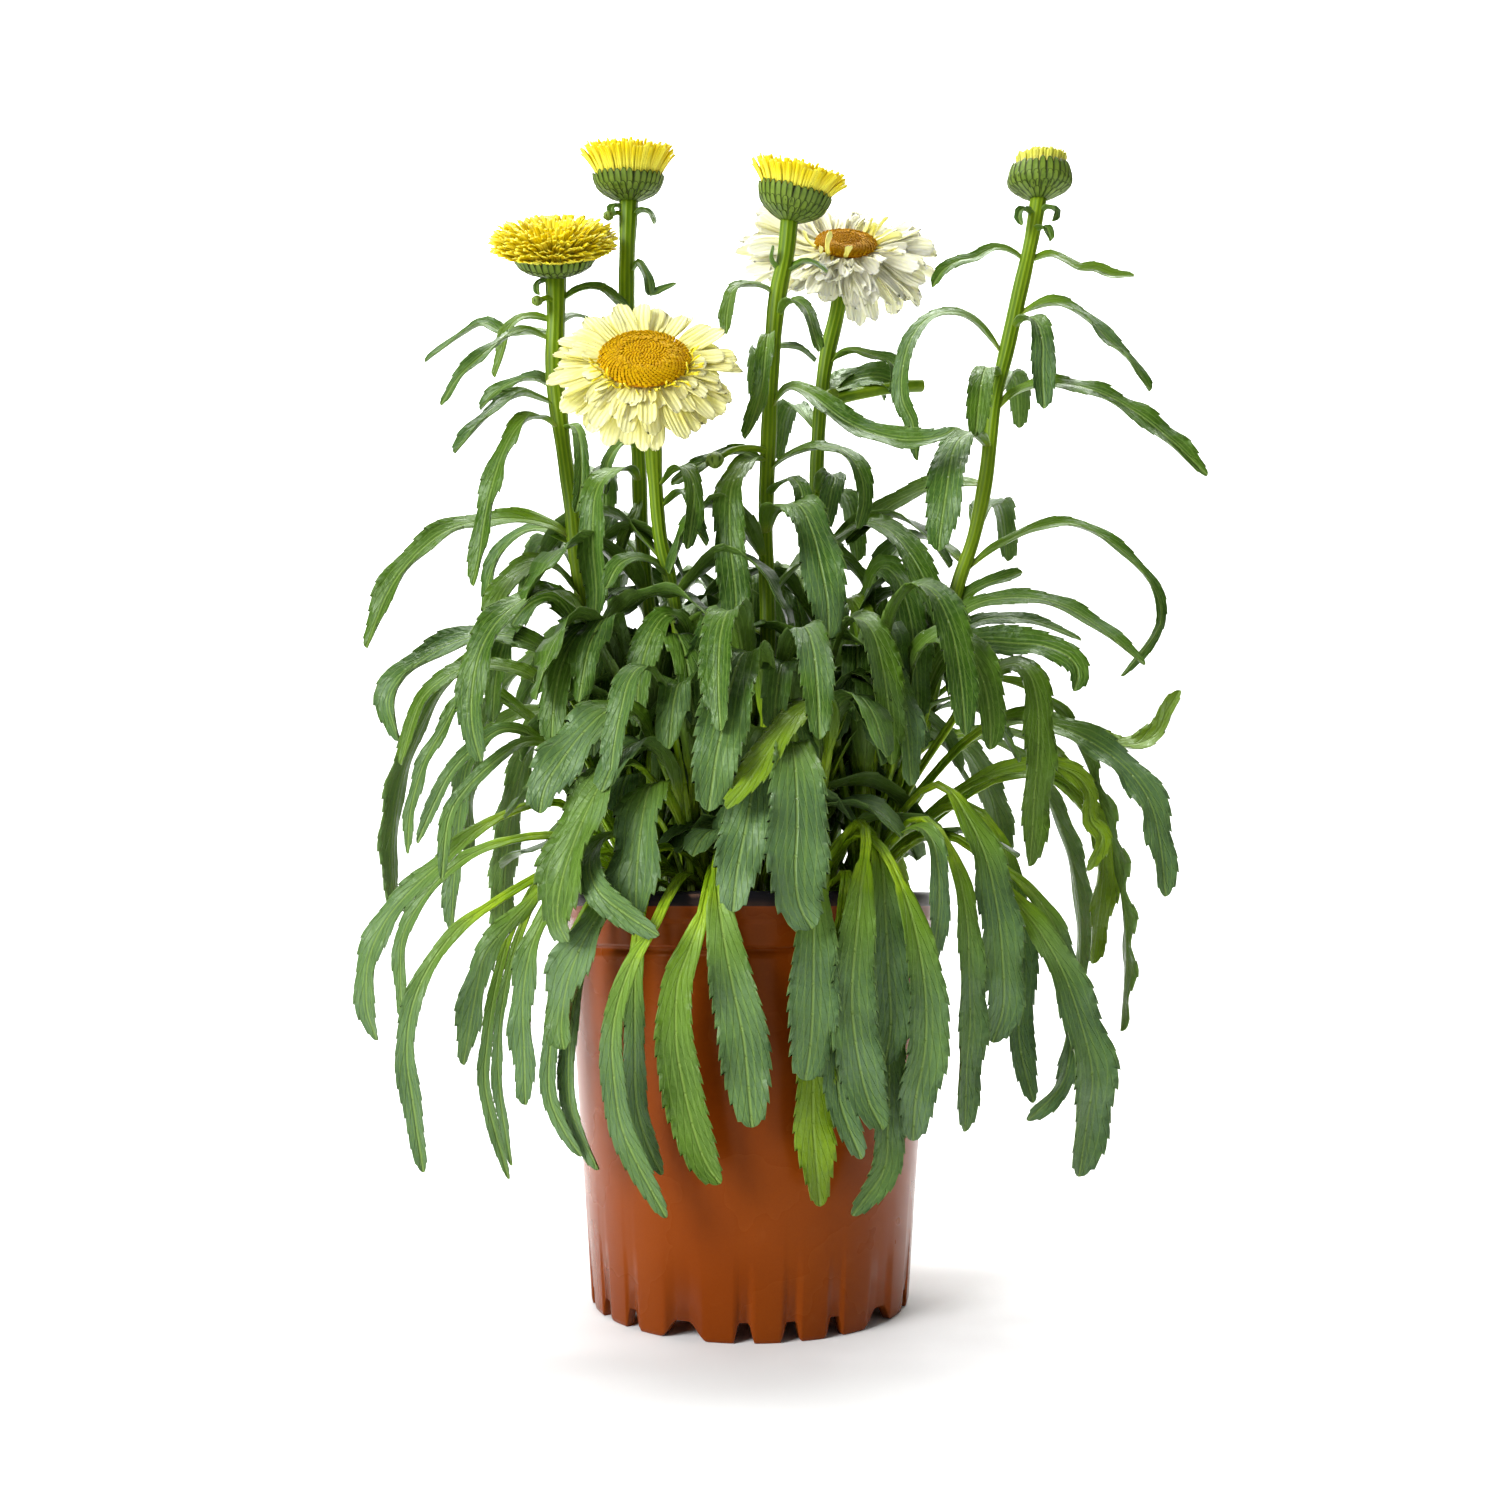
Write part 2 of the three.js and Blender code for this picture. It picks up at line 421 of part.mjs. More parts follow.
      [12, [-54, 190, -26], [-68, 200, -38], [-81, 193, -48], [-94, 172, -56], [-102, 153, -59],
        [-105, 131, -58], [-104, 108, -56], [-103, 83, -55]],
      [6, [-60, 188, -8], [-78, 198, -11], [-97, 188, -15], [-110, 165, -18], [-117, 140, -19],
        [-121, 112, -19], [-121, 88, -19], [-110, 50, -19]],
      [6, [-60, 188, 2], [-78, 197, 2], [-95, 187, 1], [-106, 164, 0], [-113, 138, -1], [-116, 110, -1],
        [-114.5, 86, -1], [-109, 56, -1]]
    ]
  }
}

// Crowns behind, which the front elevation hides: leaves fan out round the given direction, in
// degrees from +X, with their reach, crest and hanging end drawn within these limits
const backCrowns = {
  back_right: { at: [33, 27], facing: 40, fan: 92, count: 6 },
  back: { at: [2, 44], facing: 92, fan: 84, count: 6 },
  back_left: { at: [-31, 30], facing: 140, fan: 92, count: 6 }
}
const backLeaf = { reach: [102, 162], crest: [232, 312], end: [64, 210], width: [11, 19] }

// How blades and stalks are cut
const blade = {
  stalkShare: 0.42,
  stalkWidth: 4.4,
  sheath: 0.62,
  thickness: 1.5,
  stalkThickness: 3,
  lastRing: 0.96,
  toothOut: 1.07,
  toothIn: 0.9,
  swell: 1.55,
  bluntness: 0.5,
  twist: 26,
  tilt: 1.5
}
const stemSides = 6
const crownPeg = { radius: 6.2, sides: 6, top: 177, bottom: 134 }
const crownHead = {
  radius: 8.4,
  sides: 10,
  low: 170.2,
  high: 180,
  rootRadius: 6.6,
  rootHeight: 174.2,
  stagger: 4,
  fan: 300
}
const moves = [0, -3, 3, -6, 6, -9, 9, -13, 13, -17, 17, -22, 22, -28, 28, -35, 35]

const up = new THREE.Vector3(0, 0, 1)
const colours = { leaf: 0x4c7433, stem: 0x7c9a35, pot: 0x86401c, soil: 0x2b2019 }

// A number from 0 to 1 that stays the same for the same seed
function drawn(seed) {
  const wave = Math.sin(seed * 12.9898 + 4.1414) * 43758.5453
  return wave - Math.floor(wave)
}

// The true place of a point that is read off the front elevation
function place([across, height, depth]) {
  const scale = 1 + depth / eye.distance
  return new THREE.Vector3(across * scale, depth, eye.height + (height - eye.height) * scale)
}

// A smooth curve through every given point
function smooth(points) {
  return new THREE.CatmullRomCurve3(points, false, 'catmullrom', 0.5)
}

// Turns vertex and triangle lists into a solid whose faces point out
function solid(vertices, triangles) {
  let volume = 0
  for (const [a, b, c] of triangles) volume += vertices[a].dot(vertices[b].clone().cross(vertices[c]))
  const faces = volume < 0 ? triangles.map(([a, b, c]) => [a, c, b]) : triangles
  const mesh = new wasm.Mesh({
    numProp: 3,
    vertProperties: Float32Array.from(vertices.flatMap((v) => [v.x, v.y, v.z])),
    triVerts: Uint32Array.from(faces.flat())
  })
  return new wasm.Manifold(mesh)
}

// Skins a row of rings with equally many points. Both ends close on a point: the one given, or
// the middle of the end ring
function loft(rings, start, end) {
  const sides = rings[0].length
  const vertices = rings.flat()
  const triangles = []
  for (let ring = 0; ring + 1 < rings.length; ring++) {
    for (let k = 0; k < sides; k++) {
      const next = (k + 1) % sides
      const [a, b] = [ring * sides + k, ring * sides + next]
      triangles.push([a, b, b + sides], [a, b + sides, a + sides])
    }
  }
  const last = (rings.length - 1) * sides
  const middle = (ring) => ring.reduce((sum, v) => sum.add(v), new THREE.Vector3()).divideScalar(sides)
  const ends = [[0, start ?? middle(rings[0]), false], [last, end ?? middle(rings.at(-1)), true]]
  for (const [first, point, forward] of ends) {
    if (sides === 3 && !(forward ? end : start)) {
      triangles.push(forward ? [first, first + 1, first + 2] : [first, first + 2, first + 1])
      continue
    }
    vertices.push(point)
    for (let k = 0; k < sides; k++) {
      const [a, b] = [first + k, first + (k + 1) % sides]
      triangles.push(forward ? [a, b, vertices.length - 1] : [b, a, vertices.length - 1])
    }
  }
  return solid(vertices, triangles)
}

// A solid from a closed three.js geometry
function solidOf(geometry) {
  geometry.deleteAttribute('normal')
  geometry.deleteAttribute('uv')
  const merged = mergeVertices(geometry, 1e-4)
  const position = merged.getAttribute('position')
  const vertices = Array.from({ length: position.count }, (_, i) => {
    return new THREE.Vector3().fromBufferAttribute(position, i)
  })
  const triangles = []
  for (let i = 0; i < merged.index.count; i += 3) {
    const [a, b, c] = [0, 1, 2].map((k) => merged.index.getX(i + k))
    if (a !== b && b !== c && c !== a) triangles.push([a, b, c])
  }
  return solid(vertices, triangles)
}

// A profile of [radius, height] turned round the pot's axis
function turned(profile, segments) {
  const points = profile.map(([radius, height]) => new THREE.Vector2(radius, height))
  return solidOf(new THREE.LatheGeometry(points, segments).rotateX(Math.PI / 2))
}

// A round bar along a curve, with a radius for each share of its length
function bar(curve, radiusAt, count, sides) {
  const rings = []
  for (let i = 0; i < count; i++) {
    const share = i / (count - 1)
    const centre = curve.getPointAt(share)
    const along = curve.getTangentAt(share)
    const across = new THREE.Vector3(1, 0, 0).addScaledVector(along, -along.x).normalize()
    const other = along.clone().cross(across)
    const ring = []
    const radius = radiusAt(share)
    for (let k = 0; k < sides; k++) {
      const angle = 2 * Math.PI * k / sides
      const point = centre.clone().addScaledVector(across, radius * Math.cos(angle))
      ring.push(point.addScaledVector(other, radius * Math.sin(angle)))
    }
    rings.push(ring)
  }
  return loft(rings)
}

// The width of a leaf at a share of its length: a stalk or sheath, then a blade that is widest
// past its middle and ends bluntly
function leafWidth(share, leaf) {
  const foot = leaf.basal ? Math.min(blade.stalkWidth, leaf.width * 0.6) : leaf.width * blade.sheath
  const stalk = leaf.basal ? blade.stalkShare : 0
  const along = Math.max(0, (share - stalk) / (1 - stalk))
  const narrow = leaf.basal ? Math.min(1, 0.5 + 2.5 * share) : Math.min(1, 0.25 + 4 * share)
  const swell = Math.sin(Math.PI * along ** blade.swell) ** blade.bluntness
  return narrow * foot * (1 - along ** 3) + (leaf.width - foot * (1 - along ** 3)) * swell
}

// The frames along a leaf: its middle line, the way across the blade and the way out of its
// upper face. The blade lies level where it can, a leaf that goes sideways tilts its upper face
// to the front, and each turns by its twist from root to tip
function leafFrames(points, leaf, count, from = 0) {
  const curve = smooth(points)
  const outward = new THREE.Vector3()
  for (const point of points.slice(Math.floor(points.length / 2))) outward.add(point)
  outward.divideScalar(points.length - Math.floor(points.length / 2)).sub(points[0]).setZ(0).normalize()
  const level = outward.clone().cross(up)
  const tilt = leaf.hidden ? 0 : blade.tilt * outward.x ** 2
  const frames = []
  let across = level.clone()
  const steps = 3 * (count - 1)
  for (let i = 0; i <= steps; i++) {
    const share = from + (blade.lastRing - from) * (i / steps) ** 0.88
    const along = curve.getTangentAt(share)
    const shown = new THREE.Vector3(0, 1, 0).cross(along)
    across.addScaledVector(along, -across.dot(along)).normalize()
    const flat = level.clone().addScaledVector(along, -level.dot(along))
    if (flat.dot(across) < 0 && tilt < 0.3) flat.negate()
    across.addScaledVector(flat, 0.4).normalize()
    if (i % 3) continue
    const angle = THREE.MathUtils.degToRad(leaf.twist * share)
    const side = across.clone().addScaledVector(shown, tilt)
    side.addScaledVector(along, -side.dot(along)).normalize().applyAxisAngle(along, angle)
    frames.push({ share, centre: curve.getPointAt(share), along, side, out: side.clone().cross(along) })
  }
  return { frames, tip: curve.getPointAt(1) }
}

// A leaf as a thin blade: a left and a right edge, and a keel under the midrib. Its edge goes in
// and out in teeth. It is grown on all sides by the given amount when it is tested for room
function leafSolid(points, leaf, grow = 0, from = 0) {
  const length = smooth(points).getLength()
  const count = length < 34 ? 4 : length < 80 ? 5 : length < 120 ? 6 : length < 170 ? 7 : 8
  const { frames, tip } = leafFrames(points, leaf, count, from)
  const rings = frames.map(({ share, centre, side, out }, i) => {
    const toothed = leaf.width > 9 && share > 0.35 ? (i % 2 ? blade.toothOut : blade.toothIn) : 1
    const half = leafWidth(share, leaf) * toothed / 2 + grow
    const slim = Math.min(1, Math.max(0, share / blade.stalkShare))
    const foot = leaf.basal ? blade.stalkThickness : blade.thickness
    const keel = THREE.MathUtils.lerp(foot, blade.thickness, slim) + grow
    return [
      centre.clone().addScaledVector(side, -half).addScaledVector(out, grow),
      centre.clone().addScaledVector(side, half).addScaledVector(out, grow),
      centre.clone().addScaledVector(out, -keel)
    ]
  })
  return loft(rings, undefined, tip)
}

// Nodes of the part: each gathers solids that end up as one body
const nodes = {}
function addTo(name, piece, colour, roughness) {
  nodes[name] ??= { pieces: [], colour, roughness }
  nodes[name].pieces.push(piece)
}

// Everything that is already in place, with its box, so that a new leaf can be laid clear of it
const placed = []
function keepClear(name, piece, free) {
  placed.push({ name, piece, free, box: piece.boundingBox() })
}
function boxesMeet(a, b) {
  return [0, 1, 2].every((k) => a.min[k] <= b.max[k] && b.min[k] <= a.max[k])
}
function meets(a, b) {
  return !a.intersect(b).isEmpty()
}

// Lays a leaf the smallest move away from where it was read off that clears every other node,
// and its own neighbours too if it can. What still crosses another node is cut back
function layLeaf(name, wayAt, leaf) {
  let best = null
  for (const move of moves) {
    const points = wayAt(move)
    const grown = leafSolid(points, leaf, gap)
    const box = grown.boundingBox()
    const near = placed.filter((other) => boxesMeet(box, other.box))
    const crossed = near.filter((other) => other.name !== name && meets(grown, other.piece))
    const tip = leafSolid(points, leaf, 0, 0.4)
    const touched = near.filter((other) => other.name === name && other.free && meets(tip, other.free))
    const cost = crossed.length * 100 + touched.length
    if (!best || cost < best.cost) best = { cost, points, crossed, tip }
    if (cost === 0) break
  }
  let piece = leafSolid(best.points, leaf)
  if (best.crossed.length) {
    for (const other of best.crossed) piece = piece.subtract(other.piece)
    const bodies = piece.decompose().sort((a, b) => b.volume() - a.volume())
    const root = best.points[0].toArray()
    piece = bodies.find((body) => boxesMeet(body.boundingBox(), { min: root, max: root })) ?? bodies[0]
  }
  addTo(name, piece, colours.leaf, 0.55)
  keepClear(name, piece, best.tip)
}

// Pot

function makePot() {
  const { footRadius, bodyRadius, rimRadius, wall, height, floorHeight, floorLift, padRadius } = pot
  const outside = [
    [0, 0],
    [padRadius, 0],
    [padRadius + 2, floorLift],
    [footRadius - pot.ringSlope, floorLift],
    [footRadius - pot.ringWidth, 0],
    [footRadius, 0],
    [bodyRadius, pot.grooveHeight - 3],
    [bodyRadius - 1, pot.grooveHeight],
    [bodyRadius + 0.5, pot.grooveHeight + 2.4],
    [bodyRadius + 1.1, pot.stepHeight],
    [rimRadius - 0.3, pot.stepHeight + 1.4],
    [rimRadius, height]
  ]
  const inside = [
    [rimRadius - 2 * wall, height],
    [bodyRadius - wall, pot.stepHeight - 4],
    [footRadius + 0.9 - wall, floorHeight + wall + 4],
    [footRadius - 4, floorHeight + wall],
    [0, floorHeight + wall]
  ]
  const shell = [...outside, ...inside]
  let body = turned(shell, pot.segments)
  for (let group = 0; group < drain.groups; group++) {
    const middle = drain.firstGroup + group * 360 / drain.groups
    for (let k = 0; k < drain.perGroup; k++) {
      const angle = middle + (k - (drain.perGroup - 1) / 2) * drain.step
      body = body.subtract(archCutter(drain, angle))
    }
    body = body.subtract(archCutter(cutOut, middle + 180 / drain.groups))
  }
  addTo('pot', body, colours.pot, 0.35)
  keepClear('pot', turned(shell, pot.segments))
}

// A radial cutter with a flat top and sloping shoulders, from inside the foot outwards
function archCutter({ width, height, slope }, degrees) {
  const top = width / 2 - slope * 0.7
  const outline = new THREE.Shape([
    new THREE.Vector2(-width / 2 - 0.3, -2),
    new THREE.Vector2(width / 2 + 0.3, -2),
    new THREE.Vector2(width / 2, 1),
    new THREE.Vector2(top, height),
    new THREE.Vector2(-top, height),
    new THREE.Vector2(-width / 2, 1)
  ])
  const inner = pot.footRadius - archDepth
  const depth = 1.5 * archDepth
  const geometry = new THREE.ExtrudeGeometry(outline, { depth, bevelEnabled: false })
  geometry.translate(0, 0, inner).rotateX(Math.PI / 2)
  return solidOf(geometry.rotateZ(Math.PI + THREE.MathUtils.degToRad(degrees)))
}

// Soil, with a low mound and a plain hole for every stem and crown

function makeSoil(holes) {
  const low = pot.floorHeight + pot.wall + 4
  const high = pot.stepHeight - 4
  const lowRadius = pot.footRadius + 0.9 - pot.wall - soil.edgeGap
  const slope = (pot.bodyRadius - pot.footRadius - 0.9) / (high - low)
  const inner = (height) => lowRadius + slope * (height - low)
  const levels = [
    [soil.bottom, pot.footRadius - 5.2, 0],
    [soil.bottom + 4.5, inner(soil.bottom + 4.5) - 0.5, 0],
    [soil.top - 4, inner(soil.top - 4) - 0.8, 0],
    [soil.top, inner(soil.top) - 3, soil.relief],
    [soil.crown, soil.moundRadius, soil.relief]
  ]
  const rings = levels.map(([height, radius, relief], level) => {
    const ring = []
    for (let k = 0; k < soil.sides; k++) {
      const angle = 2 * Math.PI * k / soil.sides
      const lift = relief * (drawn(31 * level + k) - 0.5)
      ring.push(new THREE.Vector3(radius * Math.cos(angle), radius * Math.sin(angle), height + lift))
    }
    return ring
  })
  const mound = loft(rings)
  let body = mound
  for (const hole of holes) body = body.subtract(hole)
  addTo('soil', body, colours.soil, 0.95)
  keepClear('soil', mound)
}

// Flower heads

// The frame of a head: where the stem ends, the way its face looks, and two ways across it
function headFrame(name) {
  const head = heads[name]
  const lean = THREE.MathUtils.degToRad(head.lean)
  const right = THREE.MathUtils.degToRad(head.right)
  const level = Math.cos(lean)
  const face = new THREE.Vector3(Math.sin(right) * level, -Math.sin(lean), Math.cos(right) * level)
  const across = new THREE.Vector3(1, 0, 0).addScaledVector(face, -face.x).normalize()
  return { foot: place(stems[name].way[0]), face, across, other: face.clone().cross(across) }
}

// The place of a point given by its angle round the head, its radius and its height
function onHead({ foot, face, across, other }, angle, radius, height) {
  return foot.clone()
    .addScaledVector(face, height)
    .addScaledVector(across, radius * Math.cos(angle))
    .addScaledVector(other, radius * Math.sin(angle))
}

// The green cup: rows of overlapping bracts as relief, closed over the top, or open on a bud.
// The outline gives shares of the cup's radius and height; the first row is the stem's neck
const cupShape = {
  wide: [[0.3, -0.14], [0.55, 0.08], [0.86, 0.38], [1, 0.75], [0.98, 1]],
  closed: [[0.9, -0.16], [0.62, 0.08], [0.98, 0.38], [0.97, 0.75], [0.86, 1]],
  relief: 0.62,
  wall: 1.5,
  seat: 0.62
}
function innerRadius({ radius, closed }) {
  return radius * (closed ? 0.78 : 0.85) - cupShape.wall
}
function makeCup(name) {
  const frame = headFrame(name)
  const cup = heads[name].cup
  const outline = cup.closed ? cupShape.closed : cupShape.wide
  const rows = outline.map(([share, rise]) => [cup.radius * share, cup.height * rise, cupShape.relief])
  rows[0] = [stems[name].top * 0.9, rows[0][1], 0]
  if (cup.open) {
    const lip = cup.radius * outline.at(-1)[0] - cupShape.wall
    rows.push([lip, cup.height - 0.6, 0], [innerRadius(cup), cup.height * cupShape.seat, 0])
  }
  const rings = rows.map(([radius, height, relief], row) => {
    const ring = []
    for (let k = 0; k < 2 * cup.bracts; k++) {
      const bump = (k + row) % 2 ? relief : -relief
      const sunk = row === outline.length - 1 ? bump - relief : 0
      ring.push(onHead(frame, Math.PI * k / cup.bracts, radius + bump, height + sunk))
    }
    return ring
  })
  return loft(rings)
}

// A ray or petal as a thin strap through points given as [radius, height] on the head
function strap(frame, angle, outline, width, thickness, curl = 0) {
  const rings = []
  for (let i = 0; i + 1 < outline.length; i++) {
    const [radius, height, share] = outline[i]
    const half = width * share / 2
    const [nextRadius, nextHeight] = outline[i + 1]
    const slope = Math.atan2(nextHeight - height, nextRadius - radius)
    const turn = curl * i
    const centre = onHead(frame, angle, radius, height)
    const radial = onHead(frame, angle, 1, 0).sub(frame.foot)
    const [level, steep] = [Math.cos(slope), Math.sin(slope)]
    const out = radial.clone().multiplyScalar(-steep).addScaledVector(frame.face, level)
    const along = radial.multiplyScalar(level).addScaledVector(frame.face, steep)
    const side = along.clone().cross(out).applyAxisAngle(along, turn)
    out.applyAxisAngle(along, turn)
    rings.push([
      centre.clone().addScaledVector(side, half),
      centre.clone().addScaledVector(side, -half),
      centre.clone().addScaledVector(out, -thickness)
    ])
  }
  const [tipRadius, tipHeight] = outline.at(-1)
  return loft(rings, undefined, onHead(frame, angle, tipRadius, tipHeight))
}

// A turned plug on a head's axis, from rows of [radius, height] with equally many sides
function plug(frame, rows, sides, relief = 0) {
  const rings = rows.map(([radius, height], row) => {
    const ring = []
    for (let k = 0; k < sides; k++) {
      const bump = relief && row ? relief * ((k + row) % 2 ? 1 : -1) : 0
      const angle = 2 * Math.PI * (k + 0.5 * (row % 2)) / sides
      ring.push(onHead(frame, angle, radius + bump, height + bump))
    }
    return ring
  })
  return loft(rings)
}

// The brush of rays that stands in a bud's cup
const ray = { rootHeight: 0.9, bend: 0.75, root: 0.36, tip: 0.6, cover: 0.8, thickness: 1.2 }
function makeBrush(name) {
  const frame = headFrame(name)
  const { cup, rays } = heads[name]
  const seat = cup.height * cupShape.seat + gap
  const inner = innerRadius(cup) - gap
  const core = [
    [inner * 0.9, seat],
    [inner, seat + 1],
    [inner * 0.96, cup.height * ray.rootHeight],
    [inner * 0.5, cup.height * 1.02]
  ]
  const body = [plug(frame, core, 9)]
  rays.rings.forEach(([count, root, tip, rise], ring) => {
    for (let k = 0; k < count; k++) {
      const angle = 2 * Math.PI * (k + 0.5 * ring + 0.3 * drawn(k + 9 * ring)) / count
      const start = Math.min(root, inner * 0.78)
      const length = rise * (0.9 + 0.2 * drawn(7 * k + ring))
      const way = [
        [start, cup.height * ray.rootHeight, ray.root],
        [start + ray.bend * (tip - start), cup.height + length * 0.8, 1],
        [tip, cup.height + length, ray.tip]
      ]
      body.push(strap(frame, angle, way, ray.cover * 2 * Math.PI * tip / count, ray.thickness))
    }
  })
  addTo(`rays_${name}`, wasm.Manifold.union(body), rays.colour, 0.6)
}

// Open blooms: a plate that carries two layers of petals, and the disc on top of it
const petal = {
  offset: 0.43,
  stations: [[0.45, 1], [0.9, 0.82], [1, 0]],
  root: 0.5,
  uneven: 11,
  roll: 0.12,
  thickness: 0.9,
  plateHeight: 3
}

// How far a petal droops, in degrees: least over the disc, most under it
function petalLean([raised, level, hanging], angle) {
  const low = -Math.sin(angle)
  return low < 0 ? level + (level - raised) * low : level + (hanging - level) * low
}

function makeBloom(name) {
  const frame = headFrame(name)
  const { cup, petals, disc } = heads[name]
  const base = cup.height + gap
  const plate = [
    [petals.plate * 0.8, base],
    [petals.plate, base + 0.8],
    [petals.plate, base + petal.plateHeight]
  ]
  const body = [plug(frame, plate, 12)]
  petals.spread.forEach(([count, length, lift, droop], layer) => {
    for (let k = 0; k < count; k++) {
      const angle = 2 * Math.PI * (k + petal.offset * layer) / count
      const lean = petalLean(petals.droop, angle) * droop
      const uneven = petal.uneven * (drawn(k + 40 * layer) - 0.5)
      const long = length * (0.92 + 0.14 * drawn(3 * k + 17 * layer))
      const outline = [[petals.plate - 1.5, base + lift + 0.2, petal.root]]
      let from = 0
      for (const [share, width] of petal.stations) {
        const fall = THREE.MathUtils.degToRad(lean * (0.55 + 0.45 * share) + uneven)
        const step = long * (share - from)
        const [radius, height] = outline.at(-1)
        outline.push([radius + step * Math.cos(fall), height - step * Math.sin(fall), width])
        from = share
      }
      const roll = petal.roll * (drawn(k + 5) - 0.5)
      body.push(strap(frame, angle, outline, petals.width, petal.thickness, roll))
    }
  })
  addTo(`petals_${name}`, wasm.Manifold.union(body), petals.colour, 0.6)
  const top = base + petal.plateHeight + gap
  const dome = [0, 1, 2, 3].map((row) => {
    const angle = row / 3.5 * Math.PI / 2
    return [disc.radius * Math.cos(angle), top + 1.4 + (disc.height - 1.4) * Math.sin(angle)]
  })
  const seat = [petals.plate * 0.85, top]
  addTo(`disc_${name}`, plug(frame, [seat, ...dome], 16, 0.35), disc.colour, 0.8)
}

// Leafy stems

function makeStem(name) {
  const { top, foot, way } = stems[name]
  const curve = smooth(way.map(place))
  const radiusAt = (share) => THREE.MathUtils.lerp(top, foot, Math.min(1, share * 3))
  const stem = bar(curve, radiusAt, 11, stemSides)
  let piece = stem.add(makeCup(name))
  if (name === sideShoot.stem) {
    const shoot = smooth(sideShoot.way.map(place))
    piece = piece.add(bar(shoot, () => sideShoot.radius, 5, sideShoot.sides))
  }
  addTo(`stem_${name}`, piece, colours.stem, 0.6)
  keepClear(`stem_${name}`, piece)
  return curve
}

// The point of a stem at a height of the front elevation
function rootOn(name, height) {
  const { way } = stems[name]
  const lower = way.findIndex(([, z]) => z <= height)
  const [a, b] = [way[lower - 1], way[lower]]
  const share = (a[1] - height) / (a[1] - b[1])
  return a.map((value, k) => value + (b[k] - value) * share)
}

function layStemLeaves(name) {
  stemLeaves[name].forEach(([width, height, ...way], index) => {
    const root = rootOn(name, height)
    const leaf = { width, basal: false, twist: blade.twist * (drawn(index + width) - 0.5) }
    const share = (i) => Math.min(1, (i + 1) / 2)
    const outer = (move) => way.map(([x, z, y], i) => place([x, z, y + move * share(i)]))
    layLeaf(`stem_${name}`, (move) => [place(root), ...outer(move)], leaf)
  })
}

// A stem's or crown's peg in the soil, and the hole that it stands in
function peg(centre, radius, sides, top, bottom) {
  const curve = smooth([top, bottom].map((height) => new THREE.Vector3(centre.x, centre.y, height)))
  return bar(curve, () => radius, 2, sides)
}

// Crowns of basal leaves

function layCrown(name, at, ways) {
  const node = `leaves_${name}`
  const centre = new THREE.Vector3(at[0], at[1], 0)
  const stub = peg(centre, crownPeg.radius, crownPeg.sides, crownPeg.top, crownPeg.bottom)
    .add(peg(centre, crownHead.radius, crownHead.sides, crownHead.high, crownHead.low))
  addTo(node, stub, colours.leaf, 0.55)
  keepClear(node, stub)
  ways.forEach(({ width, hidden, wayAt }, index) => {
    const twist = blade.twist * (drawn(index + width) - 0.5)
    layLeaf(node, wayAt, { width, basal: true, hidden, twist })
  })
}

// The roots of a crown's leaves: spread evenly round its head in the order that the leaves fan out
function crownRoots(at, firstPoints) {
  const angles = firstPoints.map((point) => Math.atan2(point.y - at[1], point.x - at[0]))
  const mean = Math.atan2(
    angles.reduce((sum, angle) => sum + Math.sin(angle), 0),
    angles.reduce((sum, angle) => sum + Math.cos(angle), 0)
  )
  const off = angles.map((angle) => Math.atan2(Math.sin(angle - mean), Math.cos(angle - mean)))
  const order = off.map((_, i) => i).sort((a, b) => off[a] - off[b])
  const { rootRadius, rootHeight, stagger, fan } = crownHead
  return firstPoints.map((_, i) => {
    const rank = order.indexOf(i)
    const angle = mean + THREE.MathUtils.degToRad(fan) * ((rank + 0.5) / order.length - 0.5)
    const height = rootHeight + stagger * (rank % 2 - 0.5)
    const [x, y] = [rootRadius * Math.cos(angle), rootRadius * Math.sin(angle)]
    return new THREE.Vector3(at[0] + x, at[1] + y, height)
  })
}

// The ways of a crown's leaves that are read off the front elevation
function readCrown({ at, leaves }) {
  const roots = crownRoots(at, leaves.map(([, first]) => place(first)))
  return leaves.map(([width, ...way], index) => {
    const outer = (move) => way.map(([x, z, y], i) => place([x, z, y + move * Math.min(1, i / 2)]))
    return { width, wayAt: (move) => [roots[index], ...outer(move)] }
  })
}

// A hidden leaf arches up from its crown to its crest, out to its reach and down to its end. Its
// shape gives shares of the reach and of the rise, which counts from the soil on the way up and
// from the end on the way down
const archShape = [[0.14, 0.42], [0.34, 0.86], [0.56, 1], [0.8, 0.9], [0.95, 0.6], [1, 0.28], [0.98, 0]]
function arch(at, degrees, reach, crest, end) {
  const angle = THREE.MathUtils.degToRad(degrees)
  const out = new THREE.Vector3(Math.cos(angle), Math.sin(angle), 0)
  return archShape.map(([share, rise], i) => {
    const floor = i < 3 ? soil.crown : end
    const point = new THREE.Vector3(at[0], at[1], floor + (crest - floor) * rise)
    return point.addScaledVector(out, reach * share)
  })
}

// The ways of a back crown's leaves, spread over its fan by rule
function fanCrown({ at, facing, fan, count }) {
  const arches = Array.from({ length: count }, (_, k) => {
    const seed = at[0] * 3 + k
    const between = ([low, high], n) => low + (high - low) * drawn(seed + n)
    const turn = facing + fan * ((k * 0.618) % 1 - 0.5)
    const tall = drawn(seed + 1)
    const crest = THREE.MathUtils.lerp(...backLeaf.crest, tall)
    const reach = THREE.MathUtils.lerp(...backLeaf.reach, 0.35 * tall + 0.65 * drawn(seed + 2))
    const end = between(backLeaf.end, 3)
    const wayAt = (move) => arch(at, turn + move * 0.8, reach, crest, end)
    return { width: between(backLeaf.width, 4), hidden: true, wayAt }
  })
  const roots = crownRoots(at, arches.map(({ wayAt }) => wayAt(0)[0]))
  return arches.map((leaf, i) => ({ ...leaf, wayAt: (move) => [roots[i], ...leaf.wayAt(move)] }))
}

// Assembly

